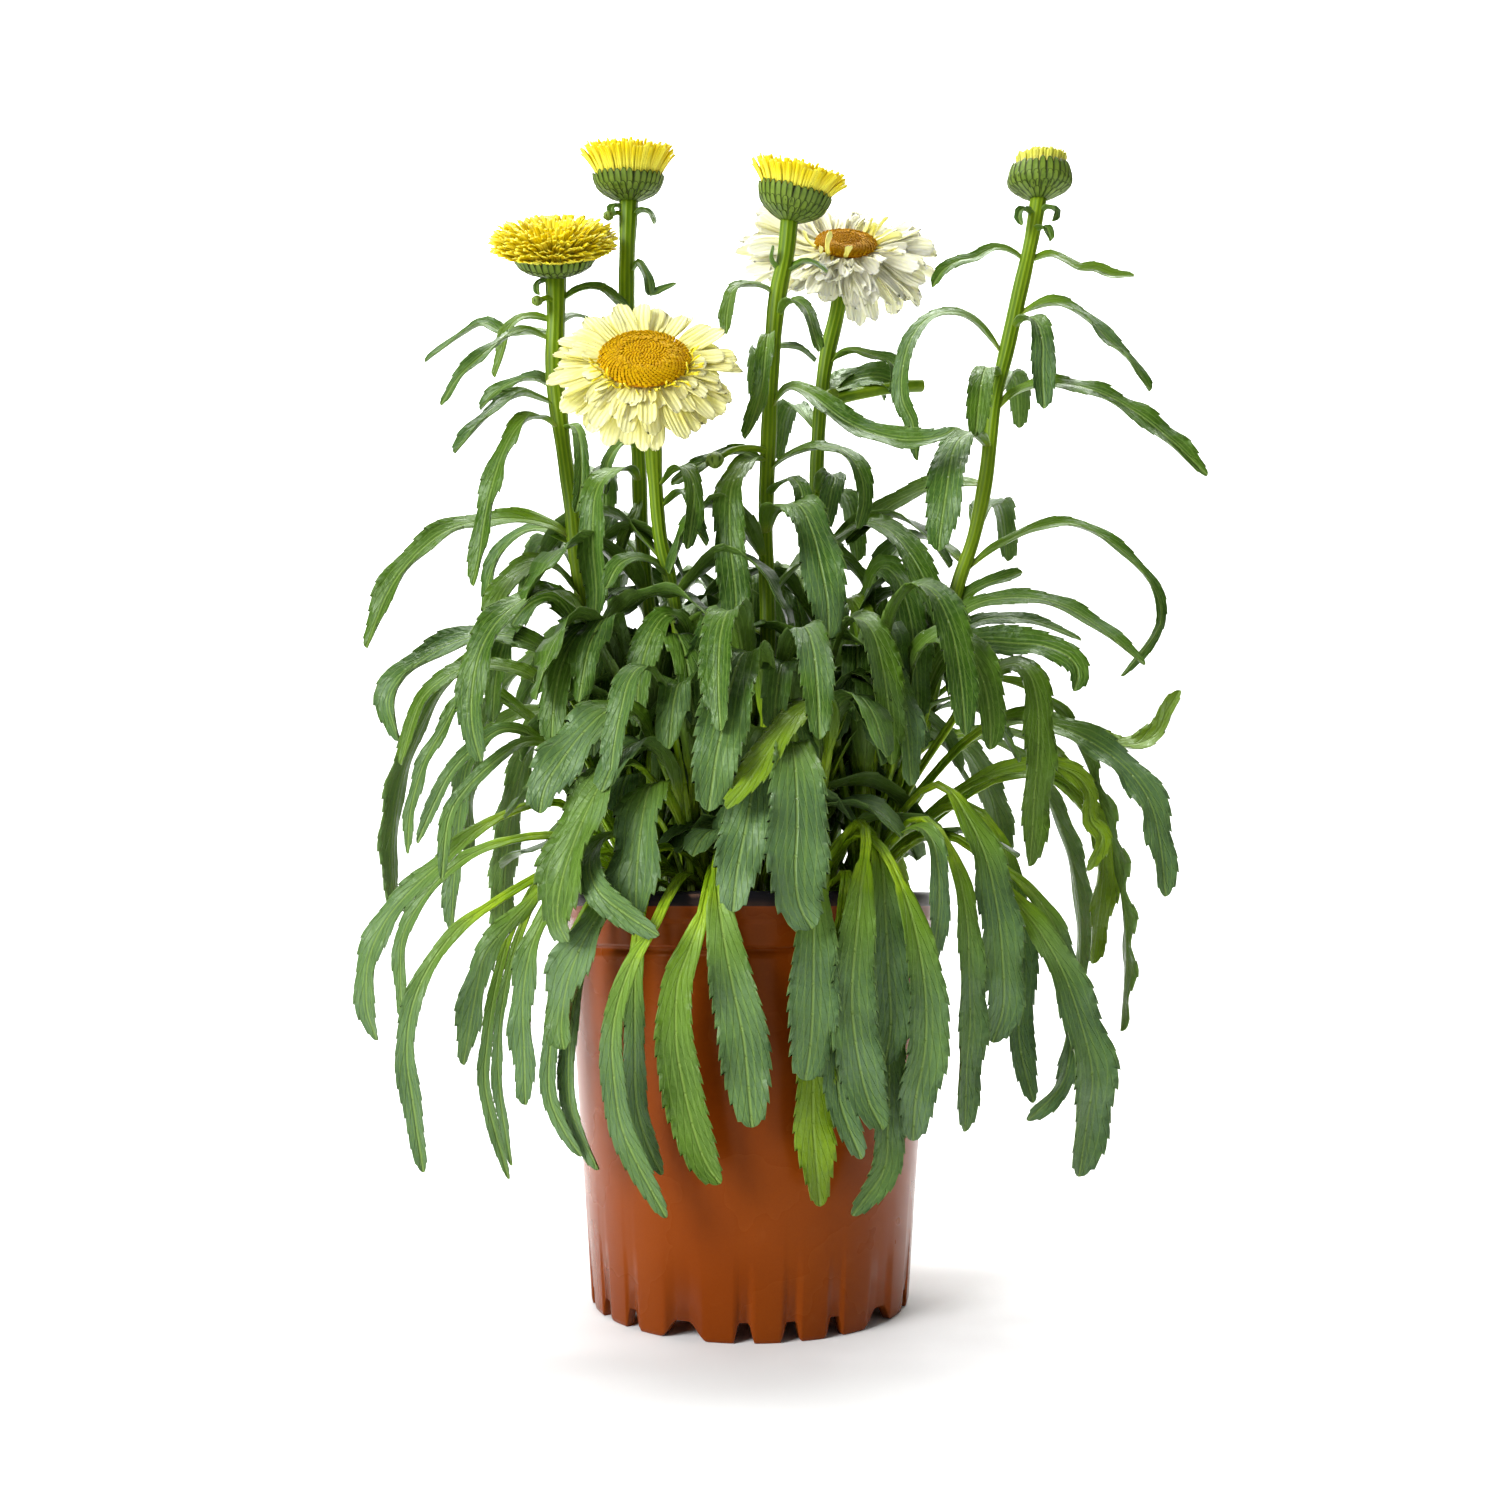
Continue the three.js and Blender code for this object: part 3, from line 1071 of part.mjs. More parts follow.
makePot()
const curves = {}
for (const name of Object.keys(stems)) curves[name] = makeStem(name)
const holes = []
for (const [name, { foot, way }] of Object.entries(stems)) {
  const end = place(way.at(-1))
  const sleeve = (share) => foot + 0.45 + (share < 0.5 ? 0.6 : 0)
  holes.push(bar(curves[name], sleeve, 12, stemSides))
  holes.push(peg(end, foot + 0.9, stemSides, end.z + 3, end.z - 1))
}
const allCrowns = { ...crowns, ...backCrowns }
for (const { at } of Object.values(allCrowns)) {
  const centre = new THREE.Vector3(at[0], at[1], 0)
  holes.push(peg(centre, crownPeg.radius + gap, crownPeg.sides, pot.height + 20, crownPeg.bottom - gap))
}
makeSoil(holes)
for (const name of Object.keys(heads)) {
  if (heads[name].rays) makeBrush(name)
  else makeBloom(name)
}
for (const name of Object.keys(heads)) {
  for (const kind of ['rays', 'petals', 'disc']) {
    const node = nodes[`${kind}_${name}`]
    if (node) keepClear(`${kind}_${name}`, node.pieces[0])
  }
}
for (const name of Object.keys(stems)) layStemLeaves(name)
for (const [name, crown] of Object.entries(crowns)) layCrown(name, crown.at, readCrown(crown))
for (const [name, crown] of Object.entries(backCrowns)) layCrown(name, crown.at, fanCrown(crown))

const plant = new THREE.Group()
for (const [name, { pieces, colour, roughness }] of Object.entries(nodes)) {
  const whole = wasm.Manifold.union(pieces).simplify(tolerance)
  const joined = whole.decompose().sort((a, b) => b.volume() - a.volume())[0]
  const { vertProperties, triVerts } = joined.getMesh()
  const geometry = new THREE.BufferGeometry()
  geometry.setAttribute('position', new THREE.BufferAttribute(vertProperties, 3))
  geometry.setIndex(new THREE.BufferAttribute(triVerts, 1))
  const material = new THREE.MeshStandardMaterial({ color: colour, roughness, metalness: 0 })
  const mesh = new THREE.Mesh(geometry, material)
  mesh.name = name
  plant.add(mesh)
}

export default plant
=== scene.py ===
import math

import bpy
import numpy as np
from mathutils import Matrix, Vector
from mathutils.bvhtree import BVHTree


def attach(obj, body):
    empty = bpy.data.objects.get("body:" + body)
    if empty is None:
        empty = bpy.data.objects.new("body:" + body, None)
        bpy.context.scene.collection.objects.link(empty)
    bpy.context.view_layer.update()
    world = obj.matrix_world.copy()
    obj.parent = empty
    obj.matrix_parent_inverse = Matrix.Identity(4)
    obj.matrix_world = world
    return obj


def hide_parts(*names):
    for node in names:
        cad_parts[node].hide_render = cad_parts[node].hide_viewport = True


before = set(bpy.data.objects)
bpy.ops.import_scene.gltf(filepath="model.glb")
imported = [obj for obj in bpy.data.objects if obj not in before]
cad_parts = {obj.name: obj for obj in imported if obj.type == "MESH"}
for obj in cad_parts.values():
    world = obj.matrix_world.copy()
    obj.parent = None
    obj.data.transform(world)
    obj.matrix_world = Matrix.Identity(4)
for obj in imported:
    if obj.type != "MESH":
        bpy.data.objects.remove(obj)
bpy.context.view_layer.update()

# A potted shasta daisy. The ways of its stems and leaves are read off the front view in
# millimetres. Every surface is worked out from them as whole arrays and then scaled to metres.

millimetre = 0.001

# The front view's camera: its distance from the pot's axis, its height over the floor, how far
# it looks up, and its lens
eye = {"distance": 633, "height": 175, "pitch": 6.474, "lens": 32.4, "sensor": 36}


def makeCamera():
    data = bpy.data.cameras.new("frontCamera")
    data.lens = eye["lens"]
    data.sensor_width = eye["sensor"]
    data.clip_end = 20
    camera = bpy.data.objects.new("frontCamera", data)
    camera.location = (0, -eye["distance"] * millimetre, eye["height"] * millimetre)
    camera.rotation_euler = (math.radians(90 + eye["pitch"]), 0, 0)
    bpy.context.collection.objects.link(camera)
    bpy.context.scene.camera = camera


makeCamera()
print("camera set")

# A point is [across, up, depth]: across and up are measured on the upright plane through the
# pot's axis as the camera sees it, depth is counted from that plane, away from the camera

# Flower stems: radius at the head and at the foot, and the way down into the soil
stemForms = {
    "half_open": {"top": 4.9, "foot": 3.6, "way": [
        [-95.5, 483, -14], [-95, 460, -14], [-95, 430, -14], [-91, 398.5, -13], [-85.5, 362, -12],
        [-81, 324, -10], [-71.5, 294, -9], [-64, 262, -8], [-50, 222, -5], [-35, 188, -2], [-28, 150, -1]]},
    "left_bud": {"top": 4.3, "foot": 3.4, "way": [
        [-60, 521.5, -5], [-60.5, 468, -6], [-57, 420, -6], [-54, 390, -5], [-52, 350, -4],
        [-46, 300, -2], [-34, 240, 1], [-19, 190, 4], [-12, 150, 5]]},
    "cream_bloom": {"top": 3.9, "foot": 3.1, "way": [
        [-51, 424, -46], [-49, 412, -38], [-47, 397, -32], [-46, 380, -29], [-43, 349, -25],
        [-37, 323, -22], [-32, 290, -20], [-24, 240, -18], [-14, 190, -16], [-9, 150, -15]]},
    "middle_bud": {"top": 4.3, "foot": 3.6, "way": [
        [19.5, 511.5, -14], [17.4, 491, -14], [13.5, 471, -14], [11, 445, -13], [9, 400, -13],
        [7.5, 355, -12], [8.5, 310, -12], [8.5, 265, -11], [8, 215, -10], [8, 150, -9]]},
    "white_bloom": {"top": 4.2, "foot": 3.3, "way": [
        [46, 484, 33], [42.5, 462, 33], [37.5, 440, 32], [34.5, 418, 31], [32, 379, 29], [32, 340, 27],
        [35, 300, 24], [38, 265, 21], [35, 230, 18], [26, 190, 14], [18, 150, 12]]},
    "right_bud": {"top": 3.9, "foot": 3.4, "way": [
        [143, 523, -2], [138.5, 499, -2], [131, 467.5, -3], [125, 442, -3], [118.5, 415, -4],
        [114, 380, -4], [107.5, 350, -4], [99, 325, -4], [90, 290, -3], [82, 258, -2], [67, 224, -1],
        [40, 180, 0], [27, 150, 0]]},
}

# Leaves on the stems: width, height of the root on the stem, and the way out to the tip
stemLeaves = {
    "half_open": [
        [6, 468, [-84.5, 475, -15], [-74, 475.5, -17], [-66, 470, -18], [-60.5, 464, -19],
         [-56.5, 454.5, -19]],
        [7, 458, [-105, 461, -16], [-113, 460, -18], [-119, 453, -20], [-121, 443, -22], [-125, 430, -23]],
        [7, 448, [-108, 454, -20], [-116, 453, -28], [-124, 447, -34], [-131, 441, -38], [-142, 430, -42],
         [-150.5, 416, -45]],
        [9, 452, [-108, 453, -6], [-120, 452, 0], [-131, 457, 4], [-140.5, 452, 7], [-150, 445, 9],
         [-159, 438, 10]],
        [5, 457, [-88, 461, -7], [-84, 461.5, -3], [-79, 460, 1]],
        [8, 424, [-104, 429, -7], [-113.5, 428, -3], [-124, 422, 0], [-131.5, 413.5, 3]],
        [10, 416, [-103, 420, -20], [-112, 421.5, -26], [-123.5, 415, -33], [-133.5, 404, -38],
         [-143.5, 392, -42]],
        [11, 403, [-100.5, 410, -22], [-110, 408, -32], [-118.6, 394.5, -42], [-124.5, 375.5, -48],
         [-128, 357, -50], [-130, 341, -50], [-133, 326, -49]],
        [7, 405, [-85, 405, -21], [-82, 395, -25], [-81.5, 375.5, -27], [-84, 362, -27]],
        [13, 349, [-96, 356, -14], [-114, 359, -18], [-134, 357, -24], [-149, 351, -30], [-163, 338, -35],
         [-173.5, 322, -39], [-183, 296, -42]],
        [10, 345, [-95, 353, -3], [-105, 354, 4], [-114, 350, 10], [-121, 340, 15], [-125.5, 326, 17],
         [-125, 306, 18]],
        [16, 320, [-91, 334, -20], [-103, 336.5, -30], [-114, 329, -38], [-121, 317, -43],
         [-123.5, 305, -45]],
        [14, 312, [-88, 321, -24], [-96, 325, -34], [-108, 319.5, -46], [-121, 308, -56], [-129, 292, -62],
         [-132, 272, -64], [-131, 256, -64], [-127, 241, -62]],
        [4, 478, [-101, 480, -16], [-105, 477, -19], [-104, 472, -21]],
        [12, 372, [-78, 382, 4], [-72, 384, 20], [-70, 376, 36], [-69, 358, 46]],
        [12, 332, [-88, 344, 8], [-96, 350, 24], [-104, 340, 38], [-108, 318, 46]]],
    "left_bud": [
        [5, 481, [-55.5, 489, -11], [-50.5, 481, -13], [-48.5, 472, -14], [-43, 475, -15],
         [-36.5, 478, -15]],
        [4, 516, [-66, 519, -8], [-69, 516, -11], [-67, 513, -13]],
        [5, 512, [-54, 516, -8], [-49, 514, -11], [-47, 509, -13]],
        [14, 376, [-58, 384, -14], [-67.5, 382, -24], [-74.5, 371, -31], [-75.5, 347, -34],
         [-73.5, 323, -34], [-75, 303, -32]],
        [6, 392, [-58, 398, -10], [-64, 395, -14], [-69, 386, -17], [-69.5, 371, -18]],
        [6, 370, [-55, 362, -12], [-60, 350, -17], [-63, 340, -19]],
        [11, 408, [-54, 416, 6], [-50, 417, 20], [-48, 405, 32], [-48, 385, 38]],
        [12, 350, [-60, 360, 8], [-66, 362, 24], [-70, 350, 36], [-72, 328, 42]]],
    "cream_bloom": [
        [7, 364, [-37, 371, -30], [-31, 373, -36], [-27, 365, -40], [-26, 356, -42], [-20.5, 346, -44]],
        [9, 374, [-38, 383, -34], [-31, 384, -41], [-27, 374, -45], [-28, 358, -47], [-30, 344, -47]],
        [9, 330, [-46, 338, -30], [-55, 340, -37], [-63, 336, -42], [-69, 325, -44]],
        [12, 296, [-25, 307, -30], [-18, 311, -38], [-20, 301, -47], [-25, 284, -53], [-27, 259, -55]]],
    "middle_bud": [
        [8, 471, [7.5, 476.5, -17], [-0.5, 477.5, -22], [-8, 475, -27], [-11, 464, -31], [-12, 452, -33]],
        [8, 459, [17, 467, -20], [22, 469, -26], [27.5, 464.5, -31], [30.5, 455, -34], [34, 443, -35]],
        [8, 446, [18, 446, -7], [25, 444, -1], [32, 438, 4]],
        [9, 447, [9, 452, -22], [7.5, 441, -28], [6, 426, -31], [1, 407.5, -32], [-3, 399, -32]],
        [12, 413, [14, 421, -19], [20, 425, -24], [29, 421.5, -29], [37, 414.5, -33], [47, 407, -37],
         [60.5, 401, -41], [75.5, 398, -46], [90.5, 399.5, -50], [99.5, 404, -52]],
        [8, 387, [0, 392, -17], [-10, 392, -21], [-22, 387, -26], [-30, 382, -29], [-38, 376, -31]],
        [14, 388, [1, 389, -22], [-5, 384, -30], [-9.5, 371, -35], [-9.5, 347, -38], [-7, 323, -38],
         [-6.5, 295, -36]],
        [4, 484, [11, 490, -18], [12, 497, -20]],
        [5, 483, [25, 489, -18], [30, 489, -21], [34, 487, -24], [38, 484, -26]],
        [11, 382, [15, 389, -19], [24, 393, -25], [34.5, 395, -31], [46, 392, -37], [53, 382, -41],
         [55, 369, -43], [52, 354, -43]],
        [9, 370, [14, 377, -21], [21, 379, -27], [25, 371, -31], [24, 361, -32]],
        [18, 350, [10, 361, -22], [16, 366, -31], [24, 365, -41], [30, 352, -49], [34, 335, -53],
         [37, 318, -54], [37.5, 300, -53]],
        [11, 430, [8, 440, 2], [6, 443, 16], [4, 432, 28], [4, 412, 34]],
        [13, 340, [2, 350, 2], [-4, 354, 16], [-8, 345, 30], [-10, 324, 38]]],
    "white_bloom": [
        [9, 436, [43, 441, 28], [51, 443.5, 23], [61, 440.5, 19], [69, 437, 15], [72, 428, 13],
         [72, 417, 12], [81, 402.5, 11]],
        [12, 418, [42, 427, 37], [51, 433, 43], [60, 430, 47], [66, 418, 49]],
        [15, 420, [41, 424, 24], [50, 428, 20], [59, 430, 18], [68, 428, 18], [75, 421, 19]],
        [10, 370, [36, 380, 18], [41, 380, 10], [39, 371, 4], [36, 354, 2]],
        [14, 343, [42, 351, 14], [55, 357, 3], [67, 353, -8], [77, 341, -16], [86.5, 322, -22],
         [93.5, 302, -26]],
        [11, 302, [42, 316, 12], [48, 320, 2], [53, 313, -9], [58, 300, -16], [61, 286, -20],
         [63, 270, -22]],
        [12, 402, [26, 412, 38], [20, 416, 50], [16, 406, 60], [14, 388, 65]],
        [13, 360, [40, 370, 40], [46, 372, 54], [50, 360, 66], [52, 338, 72]],
        [14, 318, [26, 330, 38], [20, 336, 54], [16, 326, 68], [14, 302, 76]]],
    "right_bud": [
        [7, 489, [129, 495, -5], [120, 496, -8], [110.5, 491, -11], [103, 489.5, -13], [95, 484.5, -15],
         [89.5, 476, -16]],
        [7, 489, [147.5, 493, -5], [155, 490, -9], [162, 485.5, -12], [170, 485, -14], [178, 482, -16],
         [189, 482, -18]],
        [4, 513, [136, 517, -8], [132.5, 513, -11], [134, 508, -12]],
        [4, 513, [147, 518, -6], [152, 515, -9], [150, 510, -11]],
        [5, 506, [146, 507, -11], [148.5, 500, -14]],
        [9, 461, [140, 466, -7], [152.5, 467.5, -12], [165, 460, -17], [175.5, 448.5, -21],
         [186, 438, -24], [195, 423, -26]],
        [11, 454, [134, 460, -12], [140, 458, -20], [143, 447, -26], [142.5, 432, -29], [143, 414, -30]],
        [11, 412, [127.5, 421.5, -8], [140, 426, -14], [156.5, 426, -21], [174.5, 420, -28],
         [190, 410, -33], [205, 397, -38], [221, 380.5, -42]],
        [9, 440, [118, 450, -6], [110, 459, -9], [100, 463, -13], [88, 460.5, -17], [79, 450, -20],
         [74.5, 435, -23], [74, 419, -25], [79, 406, -25], [80.5, 388, -25]],
        [11, 430, [116, 435, -15], [113, 428, -24], [111, 414, -29], [109.5, 400, -31]],
        [16, 394, [110, 401, -15], [103, 400, -26], [98, 391, -34], [94.5, 371, -40], [91.5, 352, -42],
         [90.5, 343, -42]],
        [14, 376, [105, 377, 0], [95, 377, 5], [82.5, 373, 11], [69, 366, 16], [57, 357, 20],
         [46, 347, 23]],
        [8, 332, [113, 342, -6], [123, 348, -8], [136, 354, -11], [151, 357, -14], [163, 354, -17],
         [174, 347, -20], [185, 337, -23], [193, 326, -25], [196.5, 313, -27], [193, 302, -28],
         [177, 282, -30]],
        [8, 314, [104, 322, -5], [113, 327, -6], [122, 330, -7], [130.5, 333, -8]],
        [12, 420, [124, 430, 10], [128, 433, 24], [130, 424, 36], [131, 404, 42]],
        [13, 352, [112, 364, 8], [118, 369, 22], [122, 360, 36], [124, 338, 44]]],
}

# Leaves that rise from the crowns: the crown's place on the soil, then width and way of each
crownLeaves = {
    "right": {"at": [51, -15], "leaves": [
        [11, [64, 205, -8], [80, 255, -12], [92, 298, -14], [100, 312, -16], [114, 319, -19],
         [135, 320, -24], [150, 316, -29], [162, 309, -33], [174, 300, -37], [188, 288, -41]],
        [9, [66, 205, 0], [80, 255, 4], [92, 292, 6], [101, 304, 7], [113, 310, 8], [130, 310, 10],
         [144.5, 306, 12], [158, 300, 14]],
        [14, [62, 205, -12], [76, 250, -20], [88, 284, -26], [99, 297, -30], [112, 299, -34],
         [126, 298, -38], [139, 297, -42], [151, 292, -45], [156, 284, -47], [154, 275, -48]],
        [16, [58, 205, -20], [67, 245, -30], [76, 285, -40], [86, 300, -46], [96, 300.5, -52],
         [105, 292, -57], [111, 279, -60], [113.5, 263, -61], [113.5, 247, -61]],
        [17, [70, 220, -14], [92, 256, -23], [110, 280, -31], [124, 288, -38], [132, 284, -43],
         [136, 270, -47], [136, 250, -49], [133.5, 224, -49], [131, 192, -47]],
        [17, [64, 205, -4], [86, 235, -4], [108, 256, -6], [130, 262, -9], [150.5, 256, -13],
         [166.5, 247, -17], [179, 236, -21], [188, 221.5, -24], [192, 203, -27], [194, 178, -28]],
        [16, [54, 225, -18], [60, 275, -16], [68, 312, -18], [78, 326, -24], [88, 322, -32],
         [96, 304, -38], [100, 280, -42], [102, 254, -44]],
        [15, [52, 225, -14], [52, 280, -9], [56, 318, -9], [62, 334, -15], [70, 330, -25], [76, 312, -34],
         [79, 288, -40], [80, 260, -43]],
        [12, [68, 208, 5], [92, 242, 11], [118, 259, 15], [140, 261, 18], [158, 254, 20], [172, 250, 22],
         [184, 250, 23], [193, 256, 24], [198, 266, 24], [204, 275.5, 24]],
        [9, [68, 200, -8], [98, 228, -12], [128, 240, -16], [148, 238, -19], [159, 228, -21],
         [160, 214, -22], [165, 205, -23], [158, 190, -23]],
        [16, [68, 196, 2], [96, 222, 4], [124, 236, 6], [146, 232, 6], [158, 218, 6], [164, 204, 6],
         [165, 189, 6], [162, 167, 6], [159, 147, 6]],
        [11, [62, 192, -16], [80, 206, -24], [96, 206, -30], [110, 197, -35], [124.5, 187, -39],
         [136.5, 174, -43], [145.5, 155, -46], [150, 132, -47], [148, 112, -47], [143, 92, -46],
         [127, 76, -44]],
        [21, [60, 192, -22], [78, 207, -34], [94, 207, -43], [111.5, 195, -50], [122, 179, -54],
         [134, 163, -57], [145, 143, -60], [153, 118, -60], [157, 96, -59], [154, 75, -58], [150, 51, -57]],
        [19, [60, 200, -24], [76, 224, -37], [90, 231, -47], [101, 217, -55], [110, 197, -61],
         [115, 173, -64], [117, 149, -65], [117, 128, -64], [112, 111, -63]],
        [13, [66, 195, -10], [86, 217, -16], [104, 221, -22], [117, 206, -27], [122, 187, -30],
         [125, 165, -32], [126, 143, -33], [124, 113, -33], [130, 84, -33]],
        [15, [56, 190, -28], [67, 207, -44], [78, 216, -56], [89, 209, -66], [97, 191, -72],
         [101, 168, -74], [101.5, 143, -73], [101.5, 121, -72], [99.5, 98, -70], [98.5, 71, -68]]]},
    "front_right": {"at": [23, -37], "leaves": [
        [9, [52, 190, -44], [68, 206, -58], [78, 211, -70], [85, 205, -78], [88, 191, -82], [88, 172, -81],
         [84, 143, -78]],
        [17, [38, 196, -50], [50, 208, -63], [61, 202, -75], [70, 185, -83], [77, 162, -86],
         [81, 134, -84], [80.5, 108, -82], [76, 86, -80], [74.5, 67, -79]],
        [16, [42, 200, -48], [53, 212, -62], [61, 196, -76], [63, 172, -84], [64, 146, -84],
         [65, 120, -82], [62, 101, -82]],
        [19, [40, 200, -54], [51, 214, -68], [54.5, 205, -82], [52, 184, -91], [49, 157, -94],
         [47, 132, -93], [49, 108, -91], [54, 86, -90], [61, 72, -90]],
        [20, [25, 192, -60], [29, 197, -80], [30, 183, -94], [29.5, 158, -99], [29, 132, -98],
         [28, 112, -97], [25.5, 94, -97]],
        [16, [26, 225, -38], [34, 270, -38], [42, 300, -42], [50, 310, -48], [58, 304, -56],
         [63, 286, -62], [66, 262, -66], [67, 240, -67]],
        [15, [28, 220, -40], [40, 256, -45], [52, 280, -52], [62, 286, -60], [70, 276, -68],
         [74, 256, -73], [76, 230, -75]],
        [24, [21, 205, -48], [20, 238, -64], [20, 251, -80], [21.5, 236, -94], [22, 212, -101],
         [21, 190, -105], [23, 174, -106], [29, 163, -106]],
        [16, [32, 188, -56], [35, 193, -76], [34, 178, -89], [31, 150, -91], [30, 120, -90], [29, 96, -89],
         [29, 73, -88], [31, 50, -87], [32, 38, -87]],
        [13, [48, 188, -48], [57, 194, -64], [62, 180, -76], [63, 150, -78], [64, 120, -76], [64, 90, -75],
         [63, 72, -75], [61, 54, -75], [46.5, 34, -78]],
        [12, [40, 186, -60], [45, 190, -76], [43, 172, -86], [40, 130, -86], [40, 100, -84], [42, 82, -83],
         [51, 59, -84]],
        [14, [30, 200, -42], [36, 240, -49], [38, 263, -56], [33, 271, -64], [25, 267, -72],
         [16.5, 258, -80], [6.5, 243, -88], [-2.5, 229.5, -94], [-11, 219.5, -98]]]},
    "front_middle": {"at": [0, -33], "leaves": [
        [20, [4, 205, -38], [7, 245, -48], [7, 275, -58], [4, 291, -67], [-3, 293, -76], [-8.5, 279, -85],
         [-12, 262, -91], [-16, 243, -95], [-19.5, 218, -98]],
        [15, [2, 230, -34], [-2, 280, -34], [-6, 308, -40], [-10, 314, -48], [-14, 302, -57],
         [-15, 280, -63], [-14, 256, -67]],
        [14, [4, 230, -32], [12, 275, -34], [20, 300, -40], [26, 306, -49], [30, 296, -58], [32, 276, -64],
         [33, 252, -67]],
        [19, [4, 200, -42], [7, 235, -56], [8, 257, -68], [5, 251, -80], [2, 232, -89], [-2, 210, -95],
         [-6, 190, -99], [-8, 171, -100]],
        [19, [-6, 192, -52], [-12, 203, -70], [-15.5, 193, -86], [-14.5, 175, -95], [-11.5, 155, -97],
         [-8, 137, -95], [-3, 113, -93], [-1, 94, -92], [1, 73, -92]],
        [16, [-10, 188, -50], [-15, 195, -68], [-19, 186, -83], [-22, 171, -91], [-28, 154, -92],
         [-33.5, 137, -91], [-34, 112, -89], [-31, 94, -88], [-26, 73, -87], [-20, 57, -87],
         [-13.5, 48, -89]]]},
    "front_left": {"at": [-23, -35], "leaves": [
        [10, [-25, 186, -58], [-31, 189, -74], [-39, 177, -87], [-46, 162, -94], [-54, 149, -93],
         [-60.5, 131, -91], [-63.5, 113, -89], [-62.5, 95, -87], [-59, 74, -85], [-51, 56, -85],
         [-38, 33, -87]],
        [9, [-32, 186, -54], [-42, 190, -70], [-50, 176, -82], [-53, 145, -83], [-53, 108, -81],
         [-52, 84, -79], [-47, 66, -78], [-40, 52, -79]],
        [17, [-24, 194, -50], [-36, 202, -60], [-48, 199, -70], [-59, 190, -77], [-67, 175, -82],
         [-77, 158, -83], [-84, 140, -81], [-87, 120, -80], [-86, 108, -81]],
        [9, [-34, 188, -48], [-49, 194, -60], [-64, 181, -70], [-76, 152, -73], [-82, 122, -71],
         [-83.5, 97, -70], [-81, 78, -69], [-69.5, 54, -70]],
        [7, [-38, 184, -43], [-60, 190, -53], [-77, 171, -61], [-88, 140, -64], [-92, 110, -63],
         [-92, 88, -62], [-86, 73, -62], [-77, 60, -62]],
        [22, [-28, 204, -47], [-42, 230, -61], [-56, 242, -73], [-67, 236, -83], [-76, 219, -90],
         [-83, 201, -93], [-88, 184, -94], [-89.5, 168, -93], [-85, 157, -93]],
        [23, [-28, 200, -45], [-38, 226, -55], [-46, 231, -66], [-50, 217, -76], [-52, 199, -82],
         [-53, 182, -84], [-53, 168, -85]],
        [11, [-38, 192, -42], [-55, 208, -58], [-68, 206, -74], [-75, 195, -88], [-71, 181, -96],
         [-58, 170, -101], [-42.5, 160, -104]],
        [15, [-22, 225, -40], [-24, 270, -36], [-30, 302, -36], [-38, 312, -40], [-46, 304, -46],
         [-52, 284, -50], [-54, 258, -52]],
        [14, [-20, 220, -36], [-16, 262, -32], [-13, 292, -32], [-15, 306, -38], [-20, 300, -46],
         [-24, 280, -52], [-26, 252, -56]],
        [12, [-26, 205, -42], [-34, 250, -52], [-42, 279, -62], [-50, 287, -70], [-57, 281, -77],
         [-61, 266, -82], [-64, 250, -84], [-66, 233, -85]],
        [20, [-28, 205, -40], [-40, 240, -52], [-53, 262, -62], [-66, 266, -70], [-78, 256, -77],
         [-88, 243, -82], [-96, 230, -85], [-99, 217, -86]]]},
    "left": {"at": [-49, -13], "leaves": [
        [17, [-62, 215, -8], [-78, 260, -12], [-94, 290, -16], [-110, 300, -20], [-126, 302, -24],
         [-141, 298, -28], [-154, 291, -32], [-166, 281, -35], [-171, 269, -36], [-166, 251, -36]],
        [11, [-62, 210, -16], [-80, 250, -24], [-98, 278, -30], [-118, 287, -36], [-136, 286, -41],
         [-148, 279, -45], [-157, 268, -47], [-165, 240, -48]],
        [8, [-64, 205, -2], [-84, 240, 2], [-106, 264, 5], [-124, 275, 7], [-137, 271, 9], [-145, 257, 10],
         [-154, 240, 12], [-159.5, 218, 13], [-160.5, 198, 13]],
        [7, [-62, 202, -20], [-80, 233, -29], [-100, 252, -36], [-116, 257, -41], [-129, 249, -45],
         [-141, 236, -48], [-149, 220, -50], [-156, 203, -51]],
        [7, [-58, 198, -26], [-76, 228, -36], [-92, 247, -44], [-106, 251, -50], [-121, 241, -55],
         [-134, 228, -58], [-141.5, 214, -60], [-144, 186, -61]],
        [16, [-54, 225, -22], [-60, 270, -29], [-68, 298, -37], [-77, 305, -45], [-86, 296, -52],
         [-92, 276, -56], [-94, 250, -58]],
        [15, [-52, 220, -20], [-51, 262, -24], [-54, 290, -32], [-60, 300, -42], [-68, 292, -50],
         [-72, 270, -56], [-74, 244, -60]],
        [14, [-55, 215, -6], [-67, 262, -4], [-80, 300, -6], [-92, 319, -10], [-104, 318, -15],
         [-114, 306, -20], [-120, 286, -24], [-122, 260, -26]],
        [13, [-62, 205, 4], [-74, 240, 10], [-90, 262, 14], [-106, 265, 18], [-122, 256, 21],
         [-133, 240, 23], [-136, 218, 24], [-138, 190, 25], [-139, 162, 25]],
        [13, [-60, 192, -14], [-76, 213, -20], [-92, 223, -26], [-110, 219, -32], [-128, 209, -38],
         [-144, 194, -43], [-159, 180, -47], [-170, 166, -50], [-177, 148, -51], [-177, 127, -51],
         [-172, 112, -49]],
        [9, [-60, 190, -6], [-76, 203, -9], [-96, 207, -12], [-118, 203, -15], [-136, 194, -17],
         [-151, 179, -19], [-161, 161, -20], [-162, 142, -20], [-160.5, 121, -19]],
        [9, [-56, 186, -22], [-72, 195, -32], [-88, 193, -40], [-104, 185, -47], [-120, 175, -53],
         [-135, 164, -58], [-148, 147, -62], [-156, 128, -64], [-158, 106, -63], [-154.5, 84, -62],
         [-149, 53, -60]],
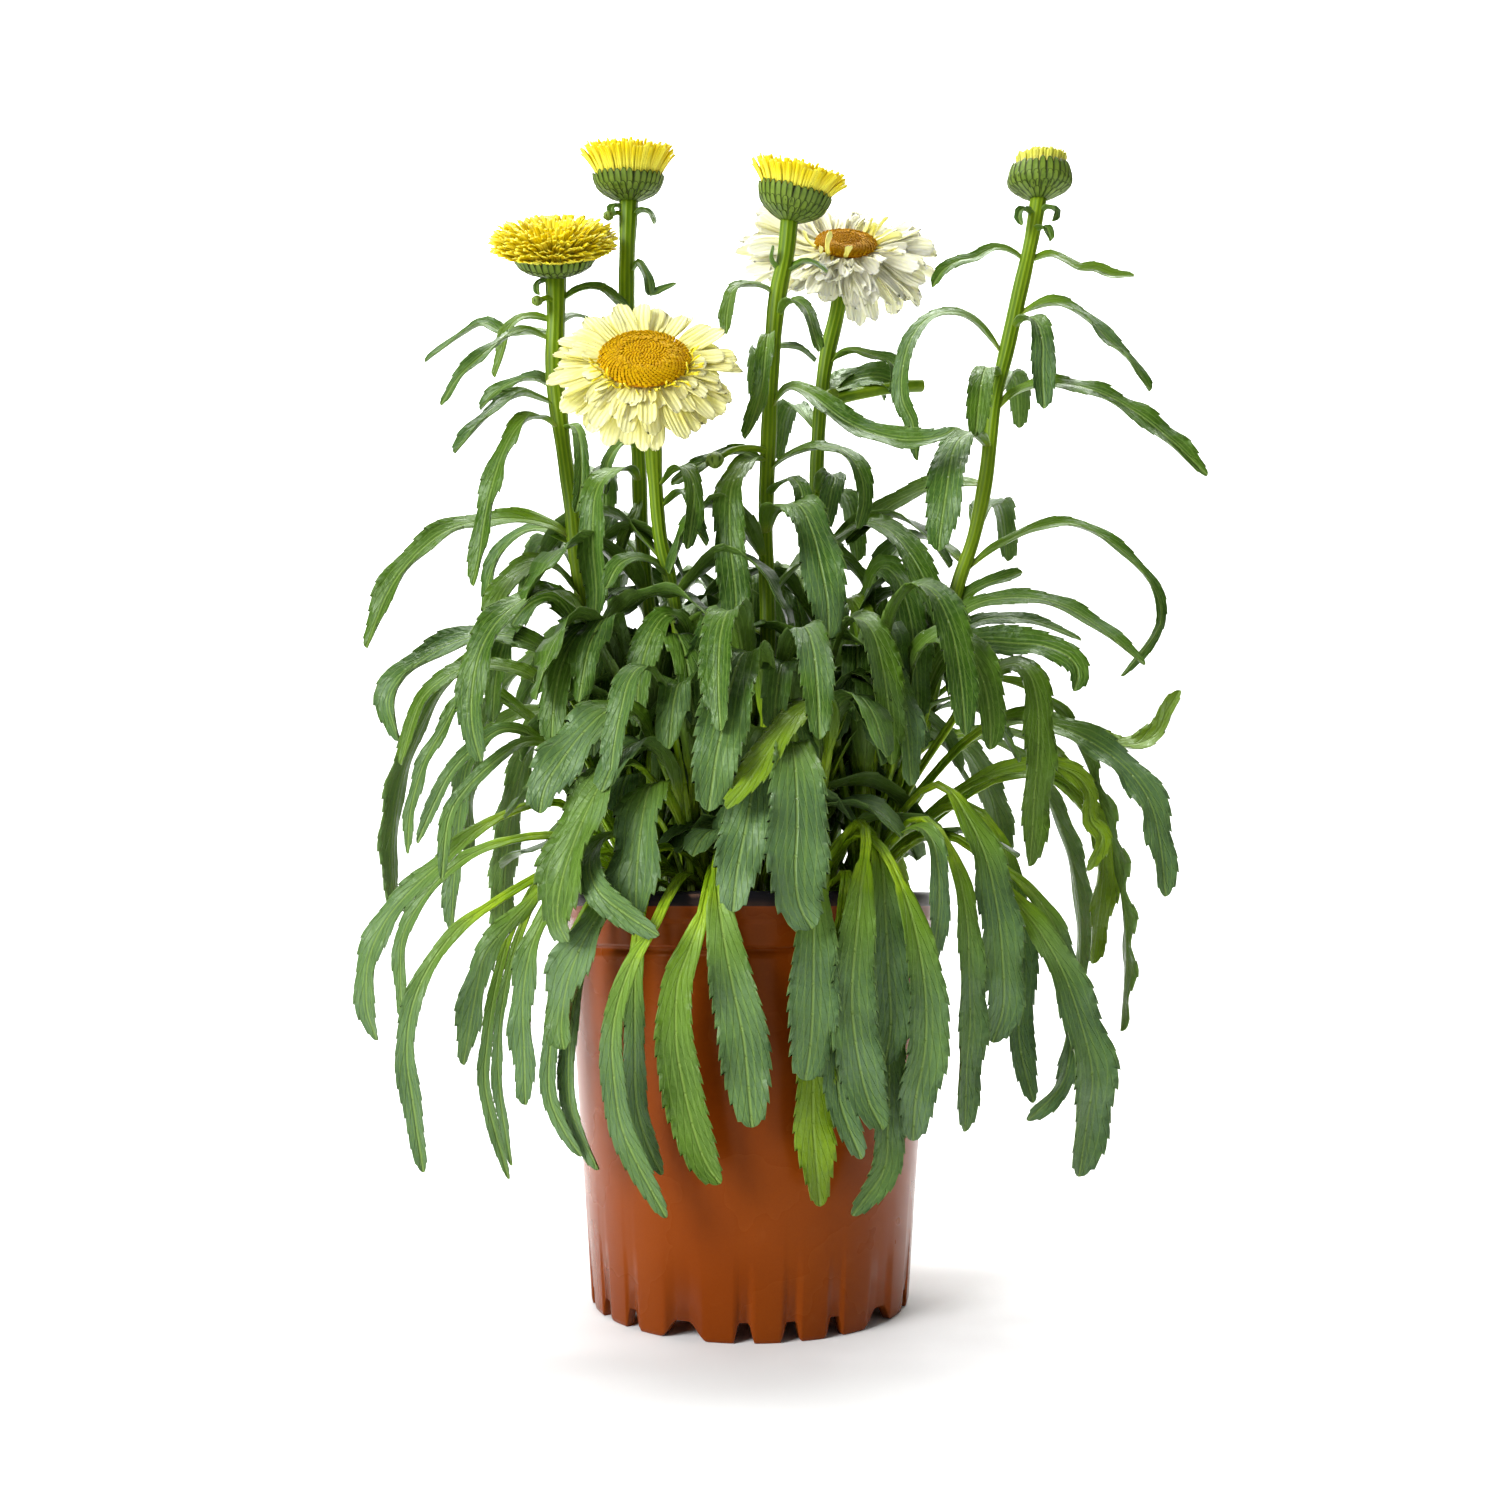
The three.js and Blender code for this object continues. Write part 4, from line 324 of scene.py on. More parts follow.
        [13, [-58, 190, -16], [-73, 200, -24], [-88, 192, -31], [-103, 175, -38], [-115, 162, -43],
         [-123, 151, -46], [-126, 138, -47], [-132, 101, -45]],
        [12, [-54, 190, -26], [-68, 200, -38], [-81, 193, -48], [-94, 172, -56], [-102, 153, -59],
         [-105, 131, -58], [-104, 108, -56], [-103, 83, -55]],
        [6, [-60, 188, -8], [-78, 198, -11], [-97, 188, -15], [-110, 165, -18], [-117, 140, -19],
         [-121, 112, -19], [-121, 88, -19], [-110, 50, -19]],
        [6, [-60, 188, 2], [-78, 197, 2], [-95, 187, 1], [-106, 164, 0], [-113, 138, -1], [-116, 110, -1],
         [-114.5, 86, -1], [-109, 56, -1]]]},
}

# Crowns at the back: place, the way they face, and the fan that their leaves spread over, in degrees
backCrowns = {
    "back_right": {"at": [33, 27], "facing": 40, "fan": 92, "count": 6},
    "back": {"at": [2, 44], "facing": 92, "fan": 84, "count": 6},
    "back_left": {"at": [-31, 30], "facing": 140, "fan": 92, "count": 6},
}


def drawn(seed):
    # repeatable number from 0 to 1: what is behind the point of a large sine
    wave = np.sin(np.asarray(seed, dtype=float) * 12.9898 + 4.1414) * 43758.5453
    return wave - np.floor(wave)


def between(limits, seed):
    return limits[0] + (limits[1] - limits[0]) * drawn(seed)


def place(points):
    # true place: a point of the front view goes along its line of sight by its depth
    read = np.atleast_2d(np.array(points, dtype=float))
    scale = 1 + read[:, 2] / eye["distance"]
    height = eye["height"] + (read[:, 1] - eye["height"]) * scale
    return np.stack([read[:, 0] * scale, read[:, 2], height], 1)


def circle(sides):
    return np.linspace(0, 2 * np.pi, sides, endpoint=False)


def turned(radius, angle, height, middle=(0, 0, 0)):
    # rings of [radius * cos, radius * sin, height] round an upright axis
    rings = np.broadcast_arrays(radius * np.cos(angle), radius * np.sin(angle), height)
    return np.stack(rings, -1) + np.array(middle)


def unit(vectors):
    return vectors / np.maximum(np.linalg.norm(vectors, axis=-1, keepdims=True), 1e-9)


def ease(low, high, values):
    # smooth step from 0 below low to 1 above high
    t = np.clip((np.asarray(values, dtype=float) - low) / (high - low), 0, 1)
    return t * t * (3 - 2 * t)


def walk(points, shares):
    # smooth curve through the points: between two of them a cubic whose end slopes are half the
    # step between their neighbours, read at shares of its whole length
    ends = np.vstack([2 * points[0] - points[1], points, 2 * points[-1] - points[-2]])
    before, start, stop, after = (ends[k:len(ends) - 3 + k, None] for k in range(4))
    leave, arrive = 0.5 * (stop - before), 0.5 * (after - start)
    t = np.linspace(0, 1, 24, endpoint=False)[None, :, None]
    curve = (start + leave * t + (3 * (stop - start) - 2 * leave - arrive) * t ** 2
             + (2 * (start - stop) + leave + arrive) * t ** 3)
    dense = np.vstack([curve.reshape(-1, 3), points[-1:]])
    run = np.concatenate([[0], np.cumsum(np.linalg.norm(np.diff(dense, axis=0), axis=1))])
    slope = np.gradient(dense, run, axis=0)
    at = np.asarray(shares) * run[-1]
    centre = np.stack([np.interp(at, run, dense[:, k]) for k in range(3)], 1)
    along = np.stack([np.interp(at, run, slope[:, k]) for k in range(3)], 1)
    return centre, unit(along), run[-1]


def thinBody(top, under, readings, material=0):
    # an upper and a lower grid of the same size, closed round the edge into one thin body
    rows, columns = top.shape[:2]
    n = np.arange(rows * columns).reshape(rows, columns)
    m = n + rows * columns
    quads = np.concatenate([
        np.stack([n[:-1, :-1], n[:-1, 1:], n[1:, 1:], n[1:, :-1]], -1).reshape(-1, 4),
        np.stack([m[:-1, :-1], m[1:, :-1], m[1:, 1:], m[:-1, 1:]], -1).reshape(-1, 4),
        np.stack([n[:-1, 0], n[1:, 0], m[1:, 0], m[:-1, 0]], -1),
        np.stack([n[:-1, -1], m[:-1, -1], m[1:, -1], n[1:, -1]], -1),
        np.stack([n[0, :-1], m[0, :-1], m[0, 1:], n[0, 1:]], -1),
        np.stack([n[-1, :-1], n[-1, 1:], m[-1, 1:], m[-1, :-1]], -1),
    ])
    kept = {}
    for name, value in readings.items():
        grid = np.broadcast_to(value, (rows, columns)).reshape(-1)
        kept[name] = np.concatenate([grid, grid])
    kept["under"] = np.repeat([0.0, 1.0], rows * columns)
    points = np.concatenate([top.reshape(-1, 3), under.reshape(-1, 3)])
    return {"points": points, "quads": quads, "triangles": np.zeros((0, 3), int),
            "readings": kept, "material": material}


def closedTube(rings, readings, material=0):
    # rings of equally many points skinned into a tube, each end closed on its middle point
    rows, sides = rings.shape[:2]
    n = np.arange(rows * sides).reshape(rows, sides)
    turn = np.roll(n, -1, axis=1)
    first, last = rows * sides, rows * sides + 1
    caps = np.concatenate([
        np.stack([turn[0], n[0], np.full(sides, first)], -1),
        np.stack([n[-1], turn[-1], np.full(sides, last)], -1),
    ])
    points = np.concatenate([rings.reshape(-1, 3), rings[0].mean(0)[None], rings[-1].mean(0)[None]])
    kept = {}
    for name, value in readings.items():
        grid = np.broadcast_to(value, (rows, sides)).reshape(-1)
        kept[name] = np.concatenate([grid, grid[:1], grid[-1:]])
    return {"points": points, "quads": np.stack([n[:-1], turn[:-1], turn[1:], n[1:]], -1).reshape(-1, 4),
            "triangles": caps, "readings": kept, "material": material}


def makePiece(name, parts, materials, nodes):
    # joins the parts into one mesh with the readings that its materials use
    offsets = np.concatenate([[0], np.cumsum([len(part["points"]) for part in parts])])
    points = np.concatenate([part["points"] for part in parts]) * millimetre
    quads = np.concatenate([part["quads"] + offsets[i] for i, part in enumerate(parts)])
    triangles = np.concatenate([part["triangles"] + offsets[i] for i, part in enumerate(parts)])
    corners = np.concatenate([quads.reshape(-1), triangles.reshape(-1)]).astype(np.int32)
    starts = np.concatenate([np.arange(len(quads)) * 4, len(quads) * 4 + np.arange(len(triangles)) * 3])
    mesh = bpy.data.meshes.new(name)
    mesh.vertices.add(len(points))
    mesh.vertices.foreach_set("co", points.astype(np.float32).reshape(-1))
    mesh.loops.add(len(corners))
    mesh.loops.foreach_set("vertex_index", corners)
    mesh.polygons.add(len(starts))
    mesh.polygons.foreach_set("loop_start", starts.astype(np.int32))
    kinds = np.concatenate([np.full(len(part[kind]), part["material"])
                            for kind in ("quads", "triangles") for part in parts])
    mesh.polygons.foreach_set("material_index", kinds.astype(np.int32))
    mesh.polygons.foreach_set("use_smooth", [True] * len(starts))
    for label in sorted({key for part in parts for key in part["readings"]}):
        values = np.concatenate([part["readings"].get(label, np.zeros(len(part["points"])))
                                 for part in parts])
        layer = mesh.attributes.new(label, "FLOAT", "POINT")
        layer.data.foreach_set("value", values.astype(np.float32))
    for material in materials:
        mesh.materials.append(material)
    mesh.update()
    mesh.validate()
    piece = bpy.data.objects.new(name, mesh)
    bpy.context.collection.objects.link(piece)
    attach(piece, "root")
    if nodes:
        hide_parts(*nodes)
    return piece


# Materials. A finish is built from the readings kept on the mesh and from noise on Object
# coordinates, which are in metres

def newFinish(name, roughness, specular=0.5, more=None):
    finish = bpy.data.materials.new(name)
    finish.use_nodes = True
    shader = finish.node_tree.nodes["Principled BSDF"]
    for key, value in {"Roughness": roughness, "Specular IOR Level": specular, **(more or {})}.items():
        shader.inputs[key].default_value = value
    return finish, finish.node_tree


def wire(tree, kind, inputs=None, **settings):
    # adds a node, sets its options, and links or fills its inputs; gives its first output
    node = tree.nodes.new(kind)
    for key, value in settings.items():
        setattr(node, key, value)
    for key, value in (inputs or {}).items():
        if isinstance(value, bpy.types.NodeSocket):
            tree.links.new(value, node.inputs[key])
        else:
            node.inputs[key].default_value = value
    return node.outputs[0]


def reading(tree, name):
    node = tree.nodes.new("ShaderNodeAttribute")
    node.attribute_name = name
    return node.outputs["Fac"]


def sums(tree, operation, first, second=0.0):
    return wire(tree, "ShaderNodeMath", {0: first, 1: second}, operation=operation)


def span(tree, value, low, high, to=(0.0, 1.0)):
    # smooth passage of a value from low to high, onto another range
    return wire(tree, "ShaderNodeMapRange",
                {"Value": value, "From Min": low, "From Max": high, "To Min": to[0], "To Max": to[1]},
                interpolation_type="SMOOTHSTEP")


def blend(tree, share, first, second):
    # colour between two, each a socket or (r, g, b)
    inputs = {key: (*value, 1) if isinstance(value, tuple) else value
              for key, value in ((0, share), (6, first), (7, second))}
    return wire(tree, "ShaderNodeMix", inputs, data_type="RGBA", clamp_factor=True).node.outputs[2]


def tint(tree, colour, share, strength, other):
    # moves a colour towards another by a share times a strength
    return blend(tree, sums(tree, "MULTIPLY", share, strength), colour, other)


def speckle(tree, scale, detail=2.0, stretch=None):
    # noise on Object coordinates, from about 0.3 to 0.7
    spot = tree.nodes.new("ShaderNodeTexCoord").outputs["Object"]
    if stretch:
        spot = wire(tree, "ShaderNodeMapping", {"Vector": spot, "Scale": stretch})
    return wire(tree, "ShaderNodeTexNoise", {"Vector": spot, "Scale": scale, "Detail": detail})


def finished(finish, colour, height, distance, strength, gloss=None):
    # joins a colour, the height of fine bumps and, if given, a gloss to a finish's shader
    tree, shader = finish.node_tree, finish.node_tree.nodes["Principled BSDF"]
    normal = wire(tree, "ShaderNodeBump", {"Height": height, "Distance": distance, "Strength": strength})
    tree.links.new(colour, shader.inputs["Base Color"])
    tree.links.new(normal, shader.inputs["Normal"])
    if gloss:
        tree.links.new(gloss, shader.inputs["Roughness"])
    return finish


# Pot: a turned plastic shell with a ring groove, a step and a rolled rim, as rows of [radius,
# height]. The lower edge of its foot rises into small arches in groups and lower cut-outs between
# them; the last rows outside, on the rim's lip, are black like the inside
potForm = {
    "outside": [[70.2, 0], [70.7, 0.4], [71.1, 2], [73.6, 34], [76.2, 66], [78.8, 98], [81.4, 130],
                [83.3, 152.4], [83.4, 153.6], [83.0, 154.8], [82.3, 155.5], [82.2, 156.3], [82.9, 157],
                [83.9, 157.6], [84.2, 158.4], [84.5, 166], [84.8, 167.2], [85.4, 168.2], [85.6, 169.2],
                [85.7, 172.8], [85.9, 173.4], [86.1, 174.2], [86.25, 176.5], [86.2, 178.2], [85.7, 179.4],
                [84.9, 180]],
    "inside": [[84.1, 179.7], [83.7, 178.6], [83.5, 172], [82.6, 168], [81.9, 163], [69.9, 16],
               [68.9, 13.4], [66.5, 12], [30, 12], [1.5, 12]],
    "below": [[1.5, 0], [11.4, 0], [11.9, 0.6], [12.4, 7.2], [13.2, 8.2], [59, 8.5], [65.8, 8.5]],
    "foot": [[67.2, 0], [69.6, 0]],
    "floor": 8.5, "floorGap": 0.4, "segments": 540, "footRadius": 70.5, "blackRows": 5,
    "arches": {"groups": 5, "firstGroup": 49.5, "perGroup": 3, "step": 15.5, "width": 8.8, "height": 8.2,
               "slope": 2.6},
    "cutOut": {"width": 21, "height": 7.5, "slope": 8},
    "clay": [(0.170, 0.030, 0.0014), (0.205, 0.040, 0.0024)], "black": (0.012, 0.012, 0.015),
    "grain": (0.11, 0.014, 0.001), "dust": (0.36, 0.13, 0.05),
}


def archHeight(angles):
    # height of the foot's lower edge over the stand at each angle: 0 on the foot, rising on
    # rounded shoulders to the top of each opening
    arch, cut = potForm["arches"], potForm["cutOut"]
    height = np.zeros_like(angles)
    for group in range(arch["groups"]):
        middle = math.radians(arch["firstGroup"] + group * 360 / arch["groups"] + 90)
        openings = [(middle + math.radians((k - 1) * arch["step"]), arch) for k in range(arch["perGroup"])]
        openings.append((middle + math.pi / arch["groups"], cut))
        for centre, form in openings:
            off = np.abs((angles - centre + math.pi) % (2 * math.pi) - math.pi) * potForm["footRadius"]
            edge = ease(form["width"] / 2 - form["slope"], form["width"] / 2, off)
            height = np.maximum(height, form["height"] * (1 - edge))
    return height


def makePot(finish):
    # turned surface from the pad under the floor, over foot, wall and rim, to the floor inside;
    # the foot's rows follow the arches and the wall's lowest rows are pushed up over them
    form = potForm
    angles = circle(form["segments"])
    lift = archHeight(angles)
    profile = np.array(form["below"] + form["foot"] + form["outside"] + form["inside"], dtype=float)
    height = np.repeat(profile[:, 1:], len(angles), axis=1)
    foot = slice(len(form["below"]), len(form["below"]) + len(form["foot"]))
    outside = slice(foot.stop, foot.stop + len(form["outside"]))
    height[foot] = np.minimum(lift, form["floor"] - form["floorGap"])
    height[outside] = np.maximum(height[outside], lift + 0.02 * height[outside])
    rings = turned(profile[:, :1], angles, height)
    inner = np.zeros(len(profile))
    inner[outside.stop - form["blackRows"]:] = 1
    return makePiece("pot", [closedTube(rings, {"black": inner[:, None]})], [finish], ["pot"])


def potPlastic():
    # moulded plastic: clay brown outside with faint clouds and fine scuffs, black on the rim's
    # lip and inside
    finish, tree = newFinish("potPlastic", 0.3, 0.2, {"Specular Tint": (1.0, 0.5, 0.28, 1)})
    cloud = span(tree, speckle(tree, 14, 2), 0.3, 0.7)
    clay = blend(tree, cloud, *potForm["clay"])
    grain = span(tree, speckle(tree, 1300, 2), 0.3, 0.75)
    clay = tint(tree, clay, grain, 0.12, potForm["grain"])
    dust = span(tree, speckle(tree, 75, 5), 0.6, 0.8)
    clay = tint(tree, clay, dust, 0.10, potForm["dust"])
    colour = blend(tree, span(tree, reading(tree, "black"), 0.2, 0.8), clay, potForm["black"])
    gloss = span(tree, speckle(tree, 26, 3), 0.3, 0.7, (0.22, 0.30))
    fine = sums(tree, "MULTIPLY", speckle(tree, 1500, 1), 0.012)
    height = sums(tree, "ADD", speckle(tree, 9, 2, (1, 1, 0.3)), fine)
    return finished(finish, colour, height, 0.0012, 0.3, gloss)


makePot(potPlastic())
print("pot made")

# Soil: a low rough mound of potting mix, whose side follows the pot's inner wall as rows of
# [radius, height] and whose lumps are waves of [length, height]. On it lie bark chips and pale
# grains; a chip's rows are shares of its half length and of its girth
soilForm = {
    "side": [[1.5, 12.4], [40, 12.4], [65, 12.4], [68.6, 17.5], [81.2, 162.0]], "radius": 81.0,
    "middle": 167.2, "edge": 163.0, "moundRadius": 79, "rings": 48, "turns": 180,
    "lumps": [[31, 0.55], [13, 0.45], [6.1, 0.35], [2.9, 0.22], [1.7, 0.14]],
    "chips": 470, "grains": 90, "spread": 78, "chipSides": 6,
    "chipLength": [2.2, 7.7], "chipWidth": [0.7, 2.1], "chipDepth": [0.5, 1.1],
    "grainLength": [1.1, 2.0], "grainWidth": 0.8, "grainDepth": 0.7,
    "chipRows": [[-1, 0.35], [-0.6, 0.9], [0.1, 1], [0.7, 0.85], [1, 0.3]],
    "mix": [(0.012, 0.008, 0.005), (0.055, 0.034, 0.02)], "crumb": (0.13, 0.085, 0.05),
    "bark": [(0.03, 0.016, 0.008), (0.16, 0.09, 0.045)], "pale": (0.62, 0.6, 0.55),
    "fibre": (0.09, 0.05, 0.025),
}


def lumpHeight(x, y, lumps):
    # sum of crossed waves of shrinking length, as the lumps of a loose surface
    total = np.zeros_like(x)
    for k, (length, height) in enumerate(lumps):
        turn = 0.7 + 1.9 * k
        first = x * np.cos(turn) + y * np.sin(turn)
        second = y * np.cos(turn * 1.7) - x * np.sin(turn)
        total += height * np.sin(first * 2 * np.pi / length + 3 * k)
        total += height * np.sin(second * 2 * np.pi / (length * 0.83) + k)
    return total


def soilHeight(x, y):
    # mound that falls to the edge with the square of the radius, plus the lumps
    form = soilForm
    fall = (np.hypot(x, y) / form["moundRadius"]) ** 2
    mound = form["middle"] + (form["edge"] - form["middle"]) * fall
    return mound + lumpHeight(x, y, form["lumps"])


def chipParts():
    # chips are short bent splinters laid on the mound, grains small lumps
    form = soilForm
    k = np.arange(form["chips"] + form["grains"])
    x, y, _ = turned(form["spread"] * np.sqrt(drawn(k + 11)), 2 * np.pi * drawn(k + 57), 0).T
    z = soilHeight(x, y)
    spin = 2 * np.pi * drawn(k + 91)
    isChip = k < form["chips"]
    short, full = form["chipLength"]
    long = np.where(isChip, short + (full - short) * drawn(k + 5) ** 2, between(form["grainLength"], k + 5))
    wide = np.where(isChip, between(form["chipWidth"], k + 6), long * form["grainWidth"])
    deep = np.where(isChip, between(form["chipDepth"], k + 8), long * form["grainDepth"])
    angle = circle(form["chipSides"])
    station, girth = np.array(form["chipRows"]).T[..., None]
    parts = []
    for i in k:
        a = station * long[i] / 2 + 0 * angle
        b = girth * wide[i] / 2 * np.cos(angle)
        c = girth * deep[i] / 2 * np.sin(angle) + 0.25 * deep[i] + 0.3 * np.sin(2.2 * station + i)
        rings = np.stack([x[i] + a * np.cos(spin[i]) - b * np.sin(spin[i]),
                          y[i] + a * np.sin(spin[i]) + b * np.cos(spin[i]),
                          z[i] + c + 0.25 * a * (drawn(i + 3) - 0.5)], -1)
        parts.append(closedTube(rings, {"pale": float(not isChip[i]), "tone": drawn(i + 77)}, 1))
    return parts


def makeSoil(finish, chipFinish):
    # the rows of the underside and the side, then the mound on rings from the wall to the axis
    form = soilForm
    side = np.array(form["side"], dtype=float)
    inward = np.linspace(0, 1, form["rings"]) ** 1.05
    radius = np.concatenate([side[:, 0], form["radius"] - (form["radius"] - side[0, 0]) * inward])
    rings = turned(radius[:, None], circle(form["turns"]), 0)
    rings[..., 2] = soilHeight(rings[..., 0], rings[..., 1])
    rings[:len(side), :, 2] = side[:, 1:]
    parts = [closedTube(rings, {})] + chipParts()
    return makePiece("soil", parts, [finish, chipFinish], ["soil"])


def pottingMix():
    finish, tree = newFinish("pottingMix", 0.95)
    lumps = span(tree, speckle(tree, 260, 4), 0.38, 0.66)
    colour = blend(tree, lumps, *soilForm["mix"])
    crumb = span(tree, speckle(tree, 900, 2), 0.55, 0.7)
    colour = tint(tree, colour, crumb, 0.5, soilForm["crumb"])
    return finished(finish, colour, speckle(tree, 700, 4), 0.0012, 0.9)


def barkChips():
    finish, tree = newFinish("barkChips", 0.85)
    bark = blend(tree, reading(tree, "tone"), *soilForm["bark"])
    colour = blend(tree, reading(tree, "pale"), bark, soilForm["pale"])
    fibre = speckle(tree, 1100, 3)
    colour = blend(tree, span(tree, fibre, 0.45, 0.7), colour, soilForm["fibre"])
    return finished(finish, colour, fibre, 0.0006, 0.8)


makeSoil(pottingMix(), barkChips())
print("soil made")

# Stems: ribbed, a little thicker under the head, with slight swellings as waves of [height,
# turns] along them
stemForm = {"sides": 44, "rings": 90, "ribs": 11, "ribHeight": 0.04, "swells": [[0.05, 31], [0.03, 67]]}


def ringsRound(centre, along, girth, angle):
    # rings of a girth round the points of a path, laid out on two ways across it that stay steady
    across = unit(np.array([1.0, 0, 0]) - along * along[:, :1])
    other = np.cross(along, across)
    return (centre[:, None] + across[:, None] * (girth * np.cos(angle))[..., None]
            + other[:, None] * (girth * np.sin(angle))[..., None])


def makeStem(name):
    # rings round the stem's way: radius * (1 + rib * cos(ribs * angle)), tapering from the head
    form, stem = stemForm, stemForms[name]
    share = np.linspace(0, 1, form["rings"])
    centre, along, _ = walk(place(stem["way"]), share)
    angle = circle(form["sides"])
    radius = stem["top"] + (stem["foot"] - stem["top"]) * np.minimum(1, share * 3)
    (wide, turns), (slight, moreTurns) = form["swells"]
    swell = 1 + wide * np.sin(share * turns + len(name)) + slight * np.sin(share * moreTurns)
    rib = 1 + form["ribHeight"] * np.cos(form["ribs"] * angle + 0.6 * np.sin(share[:, None] * 9))
    rings = ringsRound(centre, along, (radius * swell)[:, None] * rib, angle)
    return closedTube(rings, {"rib": np.cos(form["ribs"] * angle), "low": ease(0.55, 1.0, share)[:, None]})


def headFrame(name):
    # where a head's stem ends, the way its face looks, and two ways across it
    head = headForms[name]
    lean, right = math.radians(head["lean"]), math.radians(head["right"])
    face = unit(np.array([math.sin(right) * math.cos(lean), -math.sin(lean),
                          math.cos(right) * math.cos(lean)]))
    across = unit(np.array([1.0, 0, 0]) - face * face[0])
    return place([stemForms[name]["way"][0]])[0], face, across, np.cross(face, across)


def onHead(axes, angle, radius, height):
    # places given by angle round the head, radius and height over the stem's end
    foot, face, across, other = axes
    angle, radius, height = np.broadcast_arrays(angle, radius, height)
    return (foot + face * height[..., None] + across * (radius * np.cos(angle))[..., None]
            + other * (radius * np.sin(angle))[..., None])


def turnedOnHead(axes, rows, sides, readings, material=0):
    # turned body of [radius, height] rows
    rows = np.array(rows, dtype=float)
    angle = circle(sides)
    return closedTube(onHead(axes, angle, rows[:, :1], rows[:, 1:]), readings, material)


def makeStrap(axes, angle, radius, height, half, thick, look, material=0):
    # narrow strap that starts at an angle of the head and follows [radius, height]. It sways to
    # the side, is turned by its twist and more towards the tip by its curl, and dips and folds
    # across; its tip may have a notch or run out in shallow lobes
    share = np.linspace(0, 1, len(radius))
    slope = np.arctan2(np.gradient(height), np.gradient(radius))
    middle = onHead(axes, angle, radius, height)
    _, face, across, other = axes
    radial = across * math.cos(angle) + other * math.sin(angle)
    along = radial * np.cos(slope)[:, None] + face * np.sin(slope)[:, None]
    out = -radial * np.sin(slope)[:, None] + face * np.cos(slope)[:, None]
    side = np.cross(along, out)
    turn = look.get("twist", 0) + look.get("curl", 0) * share
    side, out = (side * np.cos(turn)[:, None] + out * np.sin(turn)[:, None],
                 out * np.cos(turn)[:, None] - side * np.sin(turn)[:, None])
    u = np.array(look["columns"])
    rise = look["channel"] * half[:, None] * u ** 2
    if "fold" in look:
        fold = look["fold"] * np.cos(2 * np.pi * u * look["folds"])
        rise = rise + fold * np.minimum(1, half / 2)[:, None]
    if "sway" in look:
        sway = look["sway"] * np.sin(share * look["swayTurns"] + angle * 7)
        middle = middle + side * sway[:, None]
    top = (middle[:, None] + side[:, None] * (u * half[:, None])[..., None]
           + out[:, None] * rise[..., None])
    lobes = look.get("lobes", 0) * (0.45 * np.cos(3 * np.pi * u) - 0.5 * u ** 4) * min(1, half[-1] / 2.5)
    top[-1] += along[-1] * (lobes - look.get("notch", 0) * (1 - np.abs(u)))[:, None]
    under = top - out[:, None] * (thick * (1 - 0.5 * np.abs(u)))[:, None]
    readings = {"share": share[:, None], "across": u * half[:, None], "edge": np.abs(u)}
    return thinBody(top, under, {**readings, "tone": look["tone"]}, material)


